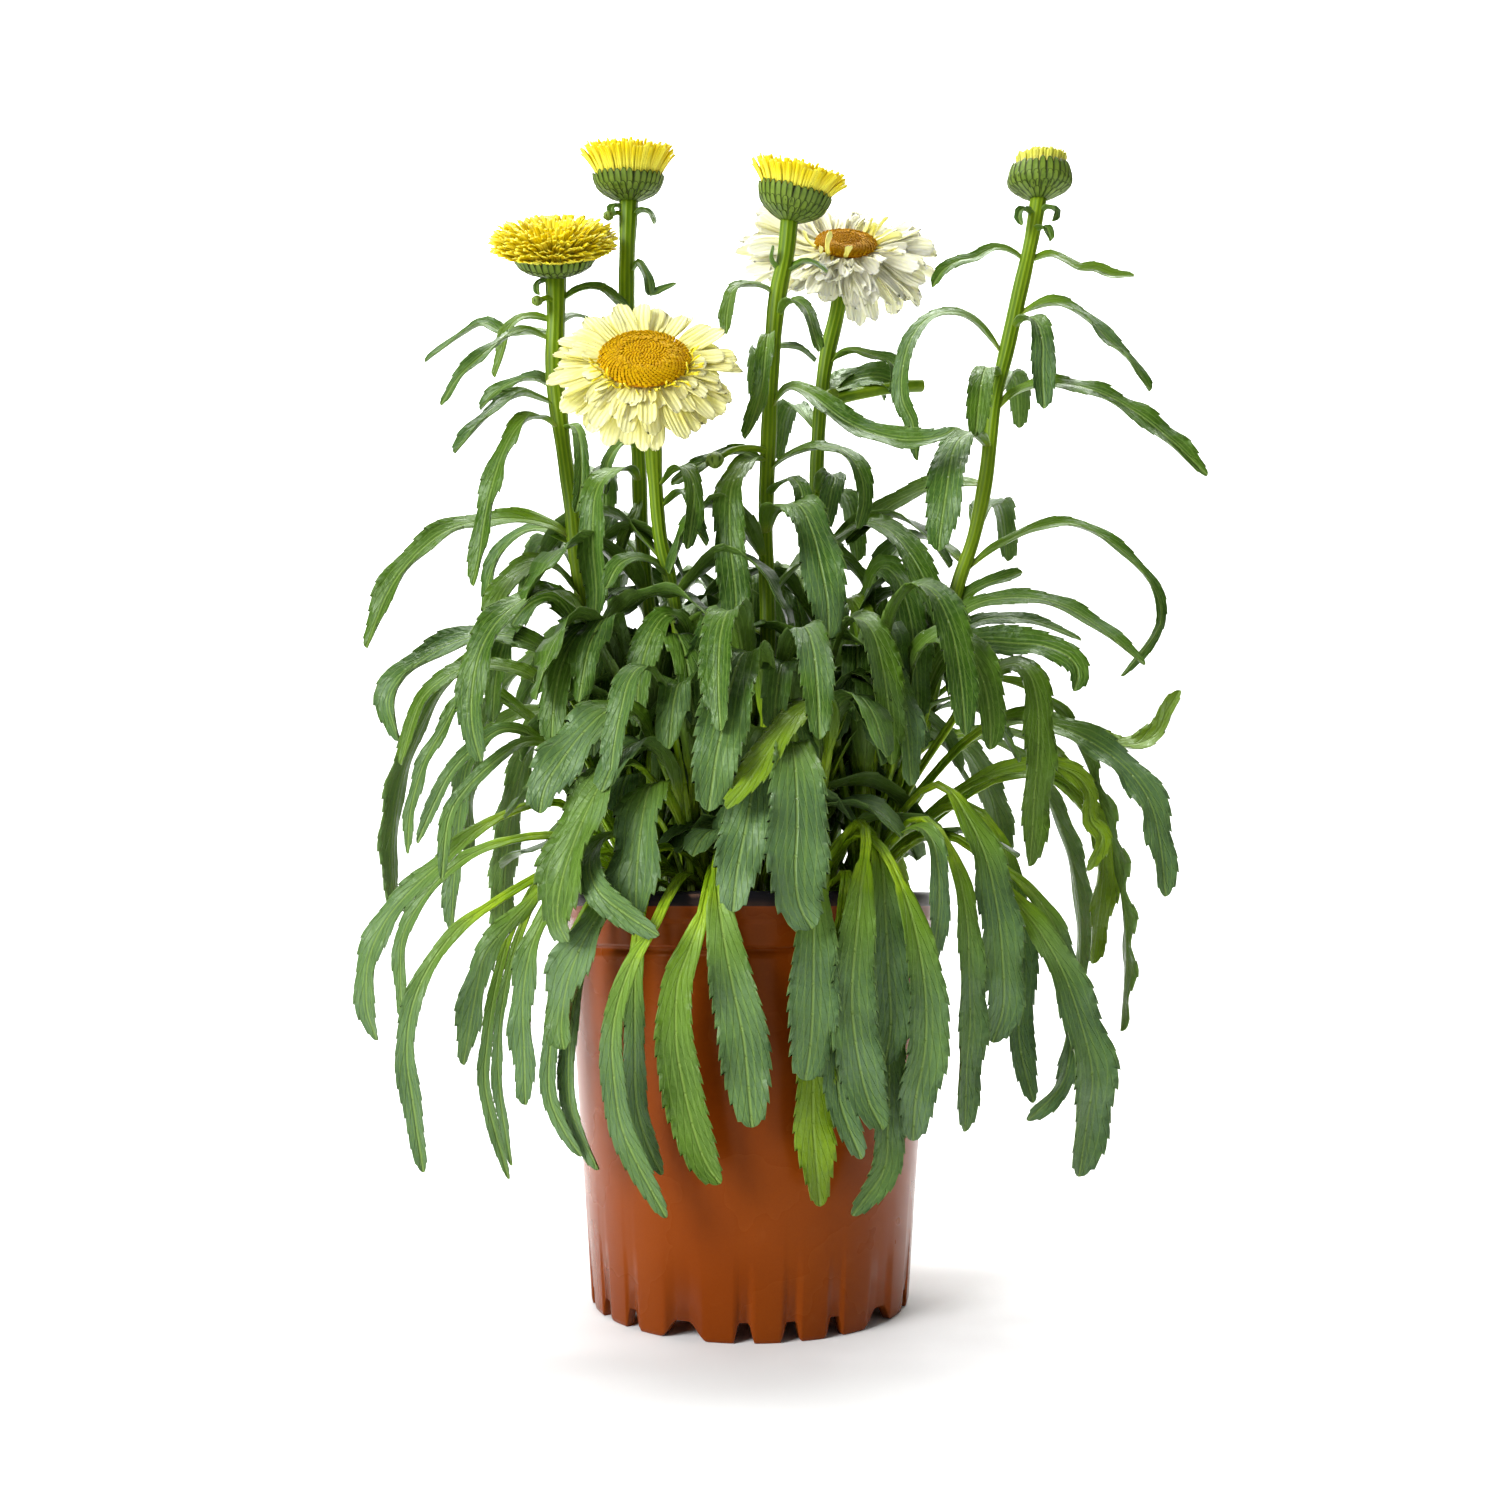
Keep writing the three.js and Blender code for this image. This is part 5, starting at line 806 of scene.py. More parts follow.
# Heads: how far each face leans to the front and to the right in degrees, its green cup, and its
# rays as rings of [radius at the root, at the tip, rise, width], from the outside in, or its
# petals as layers of [count, length, lift, share of the fall, width, spread] with, around the
# head from the left by the bottom, rows of [turn, share of the length, fall in degrees]
headForms = {
    "half_open": {
        "lean": 40, "right": 0, "cup": {"radius": 19.6, "height": 8.5, "open": True},
        "rays": {"rings": [[18.6, 29.4, 3.4, 3.4], [17.6, 30.4, 6.4, 2.8], [15.4, 29.4, 9, 2.6],
                           [14.4, 27.4, 11.4, 2.5], [13, 24.8, 12.4, 2.4], [11.4, 21.8, 13, 2.4],
                           [9.6, 18.4, 13.4, 2.4], [7.8, 14.8, 13.6, 2.4], [5.8, 11, 13.6, 2.4],
                           [3.8, 7.4, 13.4, 2.4], [1.8, 3.6, 13.2, 2.4]],
                 "spacing": 2.5, "width": 2.4, "bend": 0.35, "uneven": 0.26}
    },
    "left_bud": {
        "lean": 20, "right": 0, "cup": {"radius": 16.8, "height": 10, "open": True},
        "rays": {"rings": [[16.6, 22.8, 12.6, 2], [15, 20.6, 14, 1.9], [12, 17.2, 14.2, 1.9],
                           [9.8, 14.2, 14, 1.9], [7.4, 10.8, 13.6, 1.9], [4.8, 7.4, 13.4, 1.9],
                           [2.2, 3.6, 13.2, 1.9]],
                 "spacing": 1.9, "width": 2.0, "bend": 0.2, "uneven": 0.2}
    },
    "middle_bud": {
        "lean": 20, "right": 13.5, "cup": {"radius": 17.4, "height": 12, "open": True},
        "rays": {"rings": [[17.6, 23.2, 10, 2], [16, 21, 11, 1.9], [13, 17.6, 10.8, 1.9],
                           [10.8, 14.8, 10.6, 1.9], [8.2, 11.4, 10.4, 1.9], [5.4, 7.8, 10.2, 1.9],
                           [2.6, 4, 10, 1.9]],
                 "spacing": 1.9, "width": 2.0, "bend": 0.2, "uneven": 0.26}
    },
    "right_bud": {
        "lean": 12, "right": 2, "cup": {"radius": 14.8, "height": 13, "open": True, "closed": True},
        "rays": {"rings": [[11.6, 12.2, 6.6, 2], [10, 11, 7.4, 1.9], [8.2, 9.2, 7.8, 1.8],
                           [6.2, 7.2, 7.9, 1.8], [4, 4.8, 7.8, 1.8], [1.8, 2.4, 7.7, 1.8]],
                 "spacing": 1.75, "width": 1.9, "bend": 0.05, "uneven": 0.16}
    },
    "cream_bloom": {
        "lean": 58, "right": 4, "cup": {"radius": 15.8, "height": 10},
        "petals": {"plate": 18.4, "shag": 0.3,
                   "around": [[-180, 1, 9], [-135, 1, 33], [-90, 1, 44], [-45, 1, 33], [0, 1, 9],
                              [90, 0.98, -14], [180, 1, 9]],
                   "layers": [[24, 27.4, 0.7, 1.0, 9.6, 360], [22, 25.0, 1.7, 0.75, 8.8, 360],
                              [16, 20, 2.5, 0.5, 8.4, 240], [19, 12, 3.1, 0.4, 7.6, 190]]},
        "threads": {"count": 46, "middle": -80, "spread": 210, "length": 6.5, "width": 0.9},
        "disc": {"radius": 20.4, "height": 6.4, "florets": 620, "size": 0.86}
    },
    "white_bloom": {
        "lean": 50, "right": 3, "cup": {"radius": 14, "height": 9},
        "petals": {"plate": 16.6, "shag": 1.0,
                   "around": [[-180, 1.22, -10], [-145, 1.1, 16], [-105, 0.48, 48], [-65, 0.96, 60],
                              [-25, 1.0, 30], [15, 0.98, 2], [60, 0.7, -8], [100, 0.6, -6], [150, 1.15, -34],
                              [180, 1.22, -10]],
                   "layers": [[36, 36, 0.5, 1.15, 10.5, 360], [34, 36, 1.2, 0.85, 10, 360],
                              [32, 33, 2.0, 0.6, 8.8, 360], [28, 28, 2.6, 0.35, 8.2, 360],
                              [24, 18, 3.2, 0.1, 7.0, 360]]},
        "threads": {"count": 16, "middle": -60, "spread": 240, "length": 13, "width": 3.0},
        "disc": {"radius": 16, "height": 5.4, "florets": 420, "size": 0.8}
    },
}


def cupOutline(name):
    # radius and height of the cup, from the stem up to its lip, as a smooth line
    cup = headForms[name]["cup"]
    radius, height = cup["radius"], cup["height"]
    neck = stemForms[name]["top"] * 0.9
    if cup.get("closed"):
        rows = [[neck, -0.16 * height], [0.62 * radius, 0.08 * height], [0.98 * radius, 0.38 * height],
                [0.97 * radius, 0.75 * height], [0.86 * radius, height]]
    else:
        rows = [[neck, -0.14 * height], [0.5 * radius, 0.05 * height], [0.8 * radius, 0.34 * height],
                [0.94 * radius, 0.68 * height], [radius, height]]
    line, _, _ = walk(np.insert(rows, 1, 0, axis=1), np.linspace(0, 1, 40))
    return line[:, 0], line[:, 2]


# Bracts: rows of them start at shares of the outline's length and reach further by others; one
# bract is rows of [share of its length, share of its width]
bractForm = {
    "starts": [0.04, 0.2, 0.36, 0.54], "reach": [0.34, 0.36, 0.4, 0.45], "spacing": 3.1, "width": 3.5,
    "thick": 0.6, "channel": -0.3, "columns": [-1, -0.5, 0.5, 1], "coreInset": 0.7, "coreSides": 40,
    "outline": [[0, 0.75], [0.3, 1], [0.6, 1], [0.84, 0.86], [0.95, 0.58], [1, 0.16]],
}


def makeCup(name):
    # a turned core a little inside the outline, and rows of bracts that overlap like scales: each
    # is a blunt narrow scale that lies along the outline and stands off towards its tip
    form, axes = bractForm, headFrame(name)
    cup = headForms[name]["cup"]
    radius, height = cupOutline(name)
    core = np.stack([radius - form["coreInset"], height], 1)
    core[0, 0] = radius[0] * 0.8
    if cup.get("open"):
        lip = [[core[-1, 0] - 0.5, cup["height"] - 0.3], [core[-1, 0] - 1.2, cup["height"] * 0.66],
               [2.0, cup["height"] * 0.64]]
    else:
        lip = [[core[-1, 0] - 2.0, cup["height"] - 0.1], [2.0, cup["height"] - 0.1]]
    core = np.concatenate([core, lip])
    parts = [turnedOnHead(axes, core, form["coreSides"], {"share": 0.2, "edge": 1.0}, 1)]
    t, outline = np.array(form["outline"]).T
    lineShare = np.linspace(0, 1, len(radius))
    for row, (start, reach) in enumerate(zip(form["starts"], form["reach"])):
        share = np.minimum(start + reach * t, 1.0)
        r = np.interp(share, lineShare, radius)
        h = np.interp(share, lineShare, height)
        around = max(9, int(round(2 * np.pi * r[3] / form["spacing"])))
        width = form["width"] * np.minimum(1, 2 * np.pi * r / around / form["spacing"])
        for k in range(around):
            seed = 13 * row + k
            stand = -0.35 + 0.12 * row + (0.9 + 0.4 * drawn(seed)) * t ** 1.5
            out = np.minimum(r + stand * 0.4, cup["radius"] + 0.8)
            flare = (row == 3) * (0.4 + 1.5 * drawn(seed + 23)) * t ** 3
            up = h + 0.4 * (drawn(seed + 17) - 0.5) * t + flare
            turn = 2 * np.pi * (k + 0.5 * (row % 2) + 0.22 * (drawn(seed + 9) - 0.5)) / around
            look = {"columns": form["columns"], "channel": form["channel"], "tone": drawn(seed + 4)}
            parts.append(makeStrap(axes, turn, out, up, width / 2 * outline, form["thick"], look, 1))
    return parts


# Rays, petals and threads: the columns are places across a strap, from edge to edge; a ray's
# outline is rows of [share of its length, share of its width]
rayForm = {"columns": [-1, 0, 1], "thick": 0.4, "coreSides": 30,
           "outline": [[0, 1], [0.2, 1], [0.42, 1], [0.64, 1], [0.84, 1], [0.95, 0.8], [1, 0.42]]}
petalForm = {"columns": [-1, -0.8, -0.52, -0.25, 0, 0.25, 0.52, 0.8, 1], "rows": 17, "thick": 0.45,
             "plateSides": 48}
threadForm = {"columns": [-1, 0, 1], "rows": 8, "thick": 0.4}


def makeRays(name, finish):
    # rings of narrow folded straps that stand in the cup like a brush: the radius grows from root
    # to tip and the height rises fast at first; each ends in a small notch
    form, axes = rayForm, headFrame(name)
    cup, rays = headForms[name]["cup"], headForms[name]["rays"]
    top, seat, low = cup["height"], cup["height"] * 0.66, cup["height"] * 0.8
    inner = cup["radius"] * (0.86 if cup.get("closed") else 0.98) - 1.6
    core = [[2, seat], [inner * 0.9, seat + 0.2], [inner, seat + 1.2], [inner * 0.9, top * 0.95],
            [inner * 0.45, top * 1.05], [1, top * 1.06]]
    parts = [turnedOnHead(axes, core, form["coreSides"], {"share": 0.1})]
    t, taper = np.array(form["outline"]).T
    for ring, (root, tip, rise, width) in enumerate(rays["rings"]):
        spacing = rays["spacing"] * (0.7 + 0.3 * width / rays["width"])
        count = max(3, int(round(2 * np.pi * tip / spacing)))
        start = min(root, inner * 0.97)
        half = width / 2 * (0.5 + 0.5 * ease(0, 0.7, t)) * taper
        for k in range(count):
            seed = 37 * ring + k
            length = rise * (0.9 + rays["uneven"] * 1.3 * (drawn(7 * k + ring) - 0.4))
            reach = tip * (0.95 + 0.09 * drawn(seed + 3))
            radius = start + (reach - start) * t ** (1 + rays["bend"])
            height = low + (top + length - low) * (1 - (1 - t) ** (1 + rays["bend"]))
            look = {"columns": form["columns"], "channel": 0.75 * (drawn(seed + 21) - 0.15),
                    "notch": 0.9 * drawn(seed + 31), "tone": drawn(seed + 5),
                    "twist": 0.9 * (drawn(seed + 8) - 0.5), "curl": 0.8 * (drawn(seed + 2) - 0.5)}
            turn = 2 * np.pi * (k + 0.5 * (ring % 2) + 0.5 * (drawn(k + 9 * ring) - 0.5)) / count
            parts.append(makeStrap(axes, turn, radius, height, half, form["thick"], look))
    return makePiece("rays_" + name, parts, [finish], ["rays_" + name])


def makePetals(name, finish):
    # layers of long straps that leave a small plate: the way bends down by an angle that grows
    # with the share of the length and is larger below the disc than above it. A layer may keep to
    # the lower side, and a shaggy head sways, rolls and bends each petal by its own draws
    form, axes = petalForm, headFrame(name)
    head, petals = headForms[name], headForms[name]["petals"]
    plate, shag = petals["plate"], petals["shag"]
    base = head["cup"]["height"] + 0.35
    rows = [[2, base], [plate * 0.8, base], [plate - 0.6, base + 0.8], [plate - 0.8, base + 2.6],
            [plate - 3, base + 2.9], [2, base + 2.9]]
    parts = [turnedOnHead(axes, rows, form["plateSides"], {"share": 0.05})]
    t = np.linspace(0, 1, form["rows"])
    tip = np.sqrt(1 - np.clip((t - 0.74) / 0.26, 0, 1) ** 2.4 * 0.86)
    turns, reaches, falls = np.array(petals["around"]).T
    for layer, (count, length, lift, share, width, spread) in enumerate(petals["layers"]):
        for k in range(count):
            seed = 53 * layer + k
            if spread < 360:
                turn = math.radians(-90 + spread * ((k + 0.5) / count - 0.5))
            else:
                turn = 2 * np.pi * (k + 0.5 * (layer % 2) + 0.3 * layer) / count
            turn += (0.14 + 0.16 * shag) * (drawn(seed + 1) - 0.5)
            degrees = (math.degrees(turn) + 180) % 360 - 180
            lean = np.interp(degrees, turns, falls) * share
            long = length * np.interp(degrees, turns, reaches)
            long *= 0.9 + 0.16 * drawn(3 * k + 17 * layer) - 0.22 * shag * drawn(seed + 6)
            fall = np.radians(lean * (0.5 + 0.5 * t) + (11 + 22 * shag) * (drawn(k + 40 * layer) - 0.5)
                              + (8 + shag * 36) * (drawn(seed + 12) - 0.45) * t ** 2)
            step = np.diff(t, prepend=0) * long
            radius = plate - 1.8 + np.cumsum(step * np.cos(fall))
            height = base + lift + 0.2 - np.cumsum(step * np.sin(fall))
            half = width / 2 * (0.36 + 0.64 * ease(0, 0.65, t)) * tip * (0.82 + 0.3 * drawn(seed + 7))
            roll = 0.4 * (drawn(seed + 4) - 0.45) + 0.7 * shag * (drawn(seed + 21) - 0.4)
            look = {"columns": form["columns"], "channel": 0.14 + roll, "tone": drawn(seed + 5),
                    "fold": 0.3 + 0.25 * shag, "folds": 1.5 + (seed % 2) * 0.5, "lobes": 1.3 + shag,
                    "twist": (0.25 + 0.9 * shag) * (drawn(seed + 8) - 0.5),
                    "curl": (0.4 + 1.7 * shag) * (drawn(seed + 2) - 0.5),
                    "sway": (0.9 + 3.0 * shag) * (drawn(seed + 9) - 0.5), "swayTurns": 4.4}
            parts.append(makeStrap(axes, turn, radius, height, half, form["thick"], look))
    return makePiece("petals_" + name, parts, [finish], ["petals_" + name])


def makeThreads(name, finish):
    # thin yellow strap florets that curl over the rim of the disc: each follows an arc from the
    # disc's edge, out over the petals or back over the disc
    form, axes = threadForm, headFrame(name)
    head = headForms[name]
    threads, disc = head["threads"], head["disc"]
    top = head["cup"]["height"] + 3.7
    t = np.linspace(0, 1, form["rows"])
    half = threads["width"] / 2 * (0.8 + 0.5 * ease(0.5, 0.9, t)) * (1 - 0.5 * ease(0.9, 1, t))
    parts = []
    for k in range(threads["count"]):
        turn = math.radians(threads["middle"] + threads["spread"] * (drawn(k + 3) - 0.5))
        length = threads["length"] * (0.55 + 0.6 * drawn(k + 71))
        bend = np.radians(150 * (drawn(k + 19) - 0.32)) * t + np.radians(55 - 75 * drawn(k + 5))
        step = np.diff(t, prepend=0) * length
        radius = disc["radius"] - 0.6 + np.cumsum(step * np.cos(bend))
        height = top + 0.4 + np.cumsum(step * np.sin(bend))
        look = {"columns": form["columns"], "channel": 0.5, "tone": drawn(k + 8),
                "twist": 1.6 * (drawn(k + 2) - 0.5), "curl": 2.0 * (drawn(k + 4) - 0.5),
                "sway": 2.6 * (drawn(k + 6) - 0.5), "swayTurns": 2.2}
        parts.append(makeStrap(axes, turn, radius, height, half, form["thick"], look))
    return makePiece("threads_" + name, parts, [finish], [])


def scatter(template, places, axes, sizes, readings, material=0):
    # copies of one small closed form, each put at its place, turned to its own three axes and
    # scaled: point = place + size * (x * first + y * second + z * third)
    points = template["points"]
    n, m = len(places), len(points)
    x, y, z = axes
    moved = (places[:, None] + sizes[:, None, None] * (x[:, None] * points[None, :, :1]
             + y[:, None] * points[None, :, 1:2] + z[:, None] * points[None, :, 2:3]))
    shift = (np.arange(n) * m)[:, None, None]
    kept = {key: np.repeat(value, m) for key, value in readings.items()}
    kept["rise"] = np.tile(points[:, 2], n)
    return {"points": moved.reshape(-1, 3), "quads": (template["quads"][None] + shift).reshape(-1, 4),
            "triangles": (template["triangles"][None] + shift).reshape(-1, 3), "readings": kept,
            "material": material}


def floretForm(rows, sides, star=0.0):
    # small tube of [radius, height] rows whose upper rows may open into points
    angle = circle(sides)
    rows = np.array(rows, dtype=float)
    opening = np.linspace(0, 1, len(rows)) ** 3
    wave = 1 + star * opening[:, None] * np.where(np.arange(sides) % 2, -1.0, 1.0)
    return closedTube(turned(rows[:, :1] * wave, angle, rows[:, 1:]), {})


# Disc: its florets as rows of [radius, height], shut in the middle and open as a star outside, and
# the golden angle that sets each a turn on from the last
discForm = {
    "shut": [[0.5, -0.6], [0.8, 0.2], [0.88, 0.8], [0.62, 1.25], [0.2, 1.4]], "shutSides": 6,
    "open": [[0.5, -0.6], [0.62, 0.4], [0.76, 1.1], [0.98, 1.55], [0.34, 1.35]], "openSides": 10,
    "star": 0.3, "openFrom": 0.5, "turn": 137.508, "coreSides": 40,
}


def makeDisc(name, finish):
    # dome of florets in a spiral: floret i stands at radius R * sqrt(i / n) and turns by the
    # golden angle, on half an ellipse with a slight dip in the middle, and leans out near the edge
    form, axes = discForm, headFrame(name)
    _, face, across, other = axes
    head, disc = headForms[name], headForms[name]["disc"]
    top = head["cup"]["height"] + 0.7 + 3
    outer, rise, count = disc["radius"], disc["height"], disc["florets"]
    turn = np.linspace(0, 0.94, 9) * np.pi / 2
    dome = np.stack([(outer - 1.3) * np.cos(turn), top + 0.9 + (rise - 2.4) * np.sin(turn)], 1)
    plate = head["petals"]["plate"] * 0.84
    rows = np.concatenate([[[2, top], [plate, top], [outer - 2.2, top + 0.6]], dome])
    parts = [turnedOnHead(axes, rows, form["coreSides"], {"core": 1.0})]
    i = np.arange(count)
    reach = np.sqrt((i + 0.5) / count)
    spiral = i * math.radians(form["turn"])
    radius = (outer - 0.9) * reach
    bulge = np.sqrt(np.maximum(1 - (radius / outer) ** 2, 0))
    dip = 0.25 * np.exp(-(reach / 0.4) ** 2)
    height = top + 0.6 + (rise - 2.2) * bulge - dip + 0.25 * (drawn(i + 91) - 0.5)
    places = onHead(axes, spiral, radius, height)
    radial = across * np.cos(spiral)[:, None] + other * np.sin(spiral)[:, None]
    lean = 0.95 * reach ** 3
    up = unit(face * np.cos(lean)[:, None] + radial * np.sin(lean)[:, None])
    side = unit(np.cross(up, radial))
    size = disc["size"] * (1.0 + 0.2 * (drawn(i) - 0.5))
    isOpen = reach > form["openFrom"]
    shut = floretForm(form["shut"], form["shutSides"])
    wide = floretForm(form["open"], form["openSides"], form["star"])
    for floret, chosen in ((shut, ~isOpen), (wide, isOpen)):
        ways = (np.cross(side, up)[chosen], side[chosen], up[chosen])
        parts.append(scatter(floret, places[chosen], ways, size[chosen], {"tone": drawn(i[chosen] + 7)}))
    return makePiece("disc_" + name, parts, [finish], ["disc_" + name])


# Colours of the rays (painted shade, middle, tip), the petals (base, middle, tip, and a darker tone for the
# lower side that also marks the ridges and paints shade at the edges) and the discs (deep, bright), with
# painted shade low on the florets, and how light goes a short way through rays and petals
flowerTones = {
    "rayYellow": [(0.56, 0.38, 0.002), (0.84, 0.68, 0.006), (0.92, 0.84, 0.08)],
    "rayLime": [(0.26, 0.34, 0.03), (0.62, 0.60, 0.06), (0.80, 0.74, 0.16)],
    "petalCream": [(0.84, 0.66, 0.06), (0.91, 0.86, 0.30), (0.94, 0.92, 0.48), (0.66, 0.58, 0.16)],
    "petalWhite": [(0.92, 0.89, 0.50), (0.96, 0.94, 0.66), (0.97, 0.96, 0.78), (0.84, 0.80, 0.44)],
    "discGold": [(0.46, 0.24, 0.001), (0.60, 0.36, 0.002)],
    "discAmber": [(0.36, 0.16, 0.002), (0.50, 0.25, 0.003)],
    # painted shade low on each floret where they crowd, and the colour of the dome under them
    "floretBaseShade": (0.42, 0.15, 0.002), "core": (0.46, 0.19, 0.004),
    "raySoftness": {"Subsurface Weight": 0.1, "Subsurface Radius": (0.004, 0.003, 0.001),
                    "Subsurface Scale": 0.2},
    "petalSoftness": {"Subsurface Weight": 0.4, "Subsurface Radius": (0.006, 0.006, 0.003),
                      "Subsurface Scale": 0.2},
}


def rayFinish(name):
    # ray: pale at its root and tip, with painted shade along the fold down its middle; by its tone some rays
    # take painted shade all over and others turn paler
    shade, middle, tip = flowerTones[name]
    finish, tree = newFinish(name, 0.5, 0.25, flowerTones["raySoftness"])
    share, tone = reading(tree, "share"), reading(tree, "tone")
    colour = blend(tree, span(tree, share, 0.2, 0.6), tip, middle)
    colour = blend(tree, span(tree, share, 0.75, 1.0), colour, tip)
    # painted shade in the fold along the ray's middle
    groove = span(tree, reading(tree, "edge"), 0.45, 0.0)
    colour = tint(tree, colour, groove, 0.3, shade)
    # painted shade over whole rays with a high tone
    colour = tint(tree, colour, span(tree, tone, 0.6, 1), 0.4, shade)
    colour = tint(tree, colour, span(tree, tone, 0.35, 0), 0.6, tip)
    return finished(finish, colour, speckle(tree, 900, 2), 0.0002, 0.4)


def petalFinish(name):
    # soft petal: warmer at its base, with fine ridges along it, painted shade at its edges, a darker lower
    # side and a tone of its own
    base, middle, tip, lower = flowerTones[name]
    finish, tree = newFinish(name, 0.55, 0.25, flowerTones["petalSoftness"])
    share = reading(tree, "share")
    colour = blend(tree, span(tree, share, 0.02, 0.45), base, middle)
    colour = blend(tree, span(tree, share, 0.5, 1.0), colour, tip)
    # painted shade at the petal's edges, where petals overlap
    rim = span(tree, reading(tree, "edge"), 0.8, 1.0)
    colour = tint(tree, colour, rim, 0.4, lower)
    colour = tint(tree, colour, reading(tree, "under"), 0.5, lower)
    colour = tint(tree, colour, reading(tree, "tone"), 0.4, middle)
    ridge = sums(tree, "SINE", sums(tree, "MULTIPLY", reading(tree, "across"), 3.1))
    colour = tint(tree, colour, span(tree, ridge, 0.6, 1), 0.24, lower)
    cloud = span(tree, speckle(tree, 130, 3), 0.5, 0.75)
    colour = tint(tree, colour, cloud, 0.25, base)
    return finished(finish, colour, sums(tree, "ADD", ridge, speckle(tree, 500, 2)), 0.0003, 0.6)


def discFinish(name):
    # golden florets: painted shade low on each, where the florets crowd together, a few of them paler
    deep, bright = flowerTones[name]
    finish, tree = newFinish(name, 0.6, 0.03)
    colour = blend(tree, reading(tree, "tone"), deep, bright)
    patch = span(tree, speckle(tree, 120, 2), 0.42, 0.62)
    colour = tint(tree, colour, patch, 0.35, bright)
    # painted shade low on each floret, between its neighbours
    floretBaseShade = span(tree, reading(tree, "rise"), 1.0, 0.2)
    colour = tint(tree, colour, floretBaseShade, 0.6, flowerTones["floretBaseShade"])
    colour = blend(tree, reading(tree, "core"), colour, flowerTones["core"])
    return finished(finish, colour, speckle(tree, 2200, 2), 0.0003, 0.5)


# Leaves. A crown leaf has a stalk over the first part of its length and a blade that is widest
# past its middle; a stem leaf sits on the stem with a broad sheath. A tooth is rows of [place
# along it, cut into the edge, push forward], like the end of the tip; the columns are places from
# the midrib to the edge
# Leaves between the heights called high take painted shade, darker up high
leafForm = {
    "stalkShare": 0.42, "stalkWidth": 4.4, "stalkDeep": 2.4, "stalkRows": 9, "sheath": 0.62,
    "sheathDeep": 1.2, "swell": 1.55, "bluntness": 0.46, "broad": 1.12, "toothStep": 6.6,
    "toothDepth": 0.12, "toothForward": 1.7, "cup": 0.2, "wave": 0.24, "waveLength": [24, 40],
    "groove": 0.38, "sheet": 0.5, "rib": 1.3, "twist": 36, "tilt": 1.5, "veinStep": 12.0,
    "veinLean": 4.6, "pleat": 0.05, "high": [210, 290],
    "tooth": [[0, 1, -0.2], [0.5, 0.35, 0.25], [0.84, 0, 1]],
    "tip": [[0.972, 0.9, 0], [0.985, 0.4, 0], [0.994, 0.2, 0], [1, 0, 0]],
    "columns": [0.06, 0.25, 0.5, 0.76, 1], "coarseColumns": [0.07, 1],
}
yellowLeaves = [["right", 8], ["right", 9], ["right", 10], ["front_right", 8], ["front_right", 11]]

# Fitting of a leaf to its solid: the moves in depth that are tried, in millimetres, and the mean
# gap from which a leaf counts as off
fitForm = {"moves": [0, -3, 3, -6, 6, -9, 9, -13, 13, -17, 17, -22, 22, -28, 28, -35, 35], "off": 1.5}


def newLeaf(width, basal, seed, tone, twistSeed, **marks):
    # what the shape of a leaf depends on; its twist in degrees is drawn to either side
    twist = leafForm["twist"] * (drawn(twistSeed) - 0.5)
    return {"width": width, "basal": basal, "seed": seed, "tone": tone, "twist": twist, **marks}


def leafWidth(share, leaf):
    # width of the sheath or stalk, fading over the blade, plus the blade's own swell: the sine of
    # a power of the way along it, blunted by a root
    form = leafForm
    basal = leaf["basal"]
    foot = min(form["stalkWidth"], leaf["width"] * 0.6) if basal else leaf["width"] * form["sheath"]
    stalk = form["stalkShare"] if basal else 0
    along = np.maximum(0, (share - stalk) / (1 - stalk))
    narrow = np.minimum(1, 0.5 + 2.5 * share) if basal else np.minimum(1, 0.25 + 4 * share)
    swell = np.maximum(np.sin(np.pi * np.minimum(along, 1) ** form["swell"]), 0) ** form["bluntness"]
    fade = foot * (1 - along ** 3)
    return narrow * fade + (leaf["width"] * form["broad"] - fade) * swell


def leafSides(points, leaf):
    # the way across the blade at even shares of its length: carried along the leaf, drawn back to
    # level, tilted to the front on leaves that go sideways, and turned by the leaf's twist
    shares = np.linspace(0, 1, 25)
    _, along, _ = walk(points, shares)
    outward = points[len(points) // 2:].mean(0) - points[0]
    outward[2] = 0
    outward = unit(outward)
    level = np.cross(outward, [0, 0, 1.0])
    tilt = 0 if leaf.get("hidden") else leafForm["tilt"] * outward[0] ** 2
    across, sides = level, []
    for t in along:
        across = unit(across - t * (across @ t))
        flat = level - t * (level @ t)
        if flat @ across < 0 and tilt < 0.3:
            flat = -flat
        across = unit(across + 0.4 * flat)
        side = across + tilt * np.cross([0, 1.0, 0], t)
        sides.append(unit(side - t * (side @ t)))
    sides = np.array(sides)
    turn = np.radians(leaf["twist"] * shares)[:, None]
    return shares, sides * np.cos(turn) + np.cross(along, sides) * np.sin(turn)


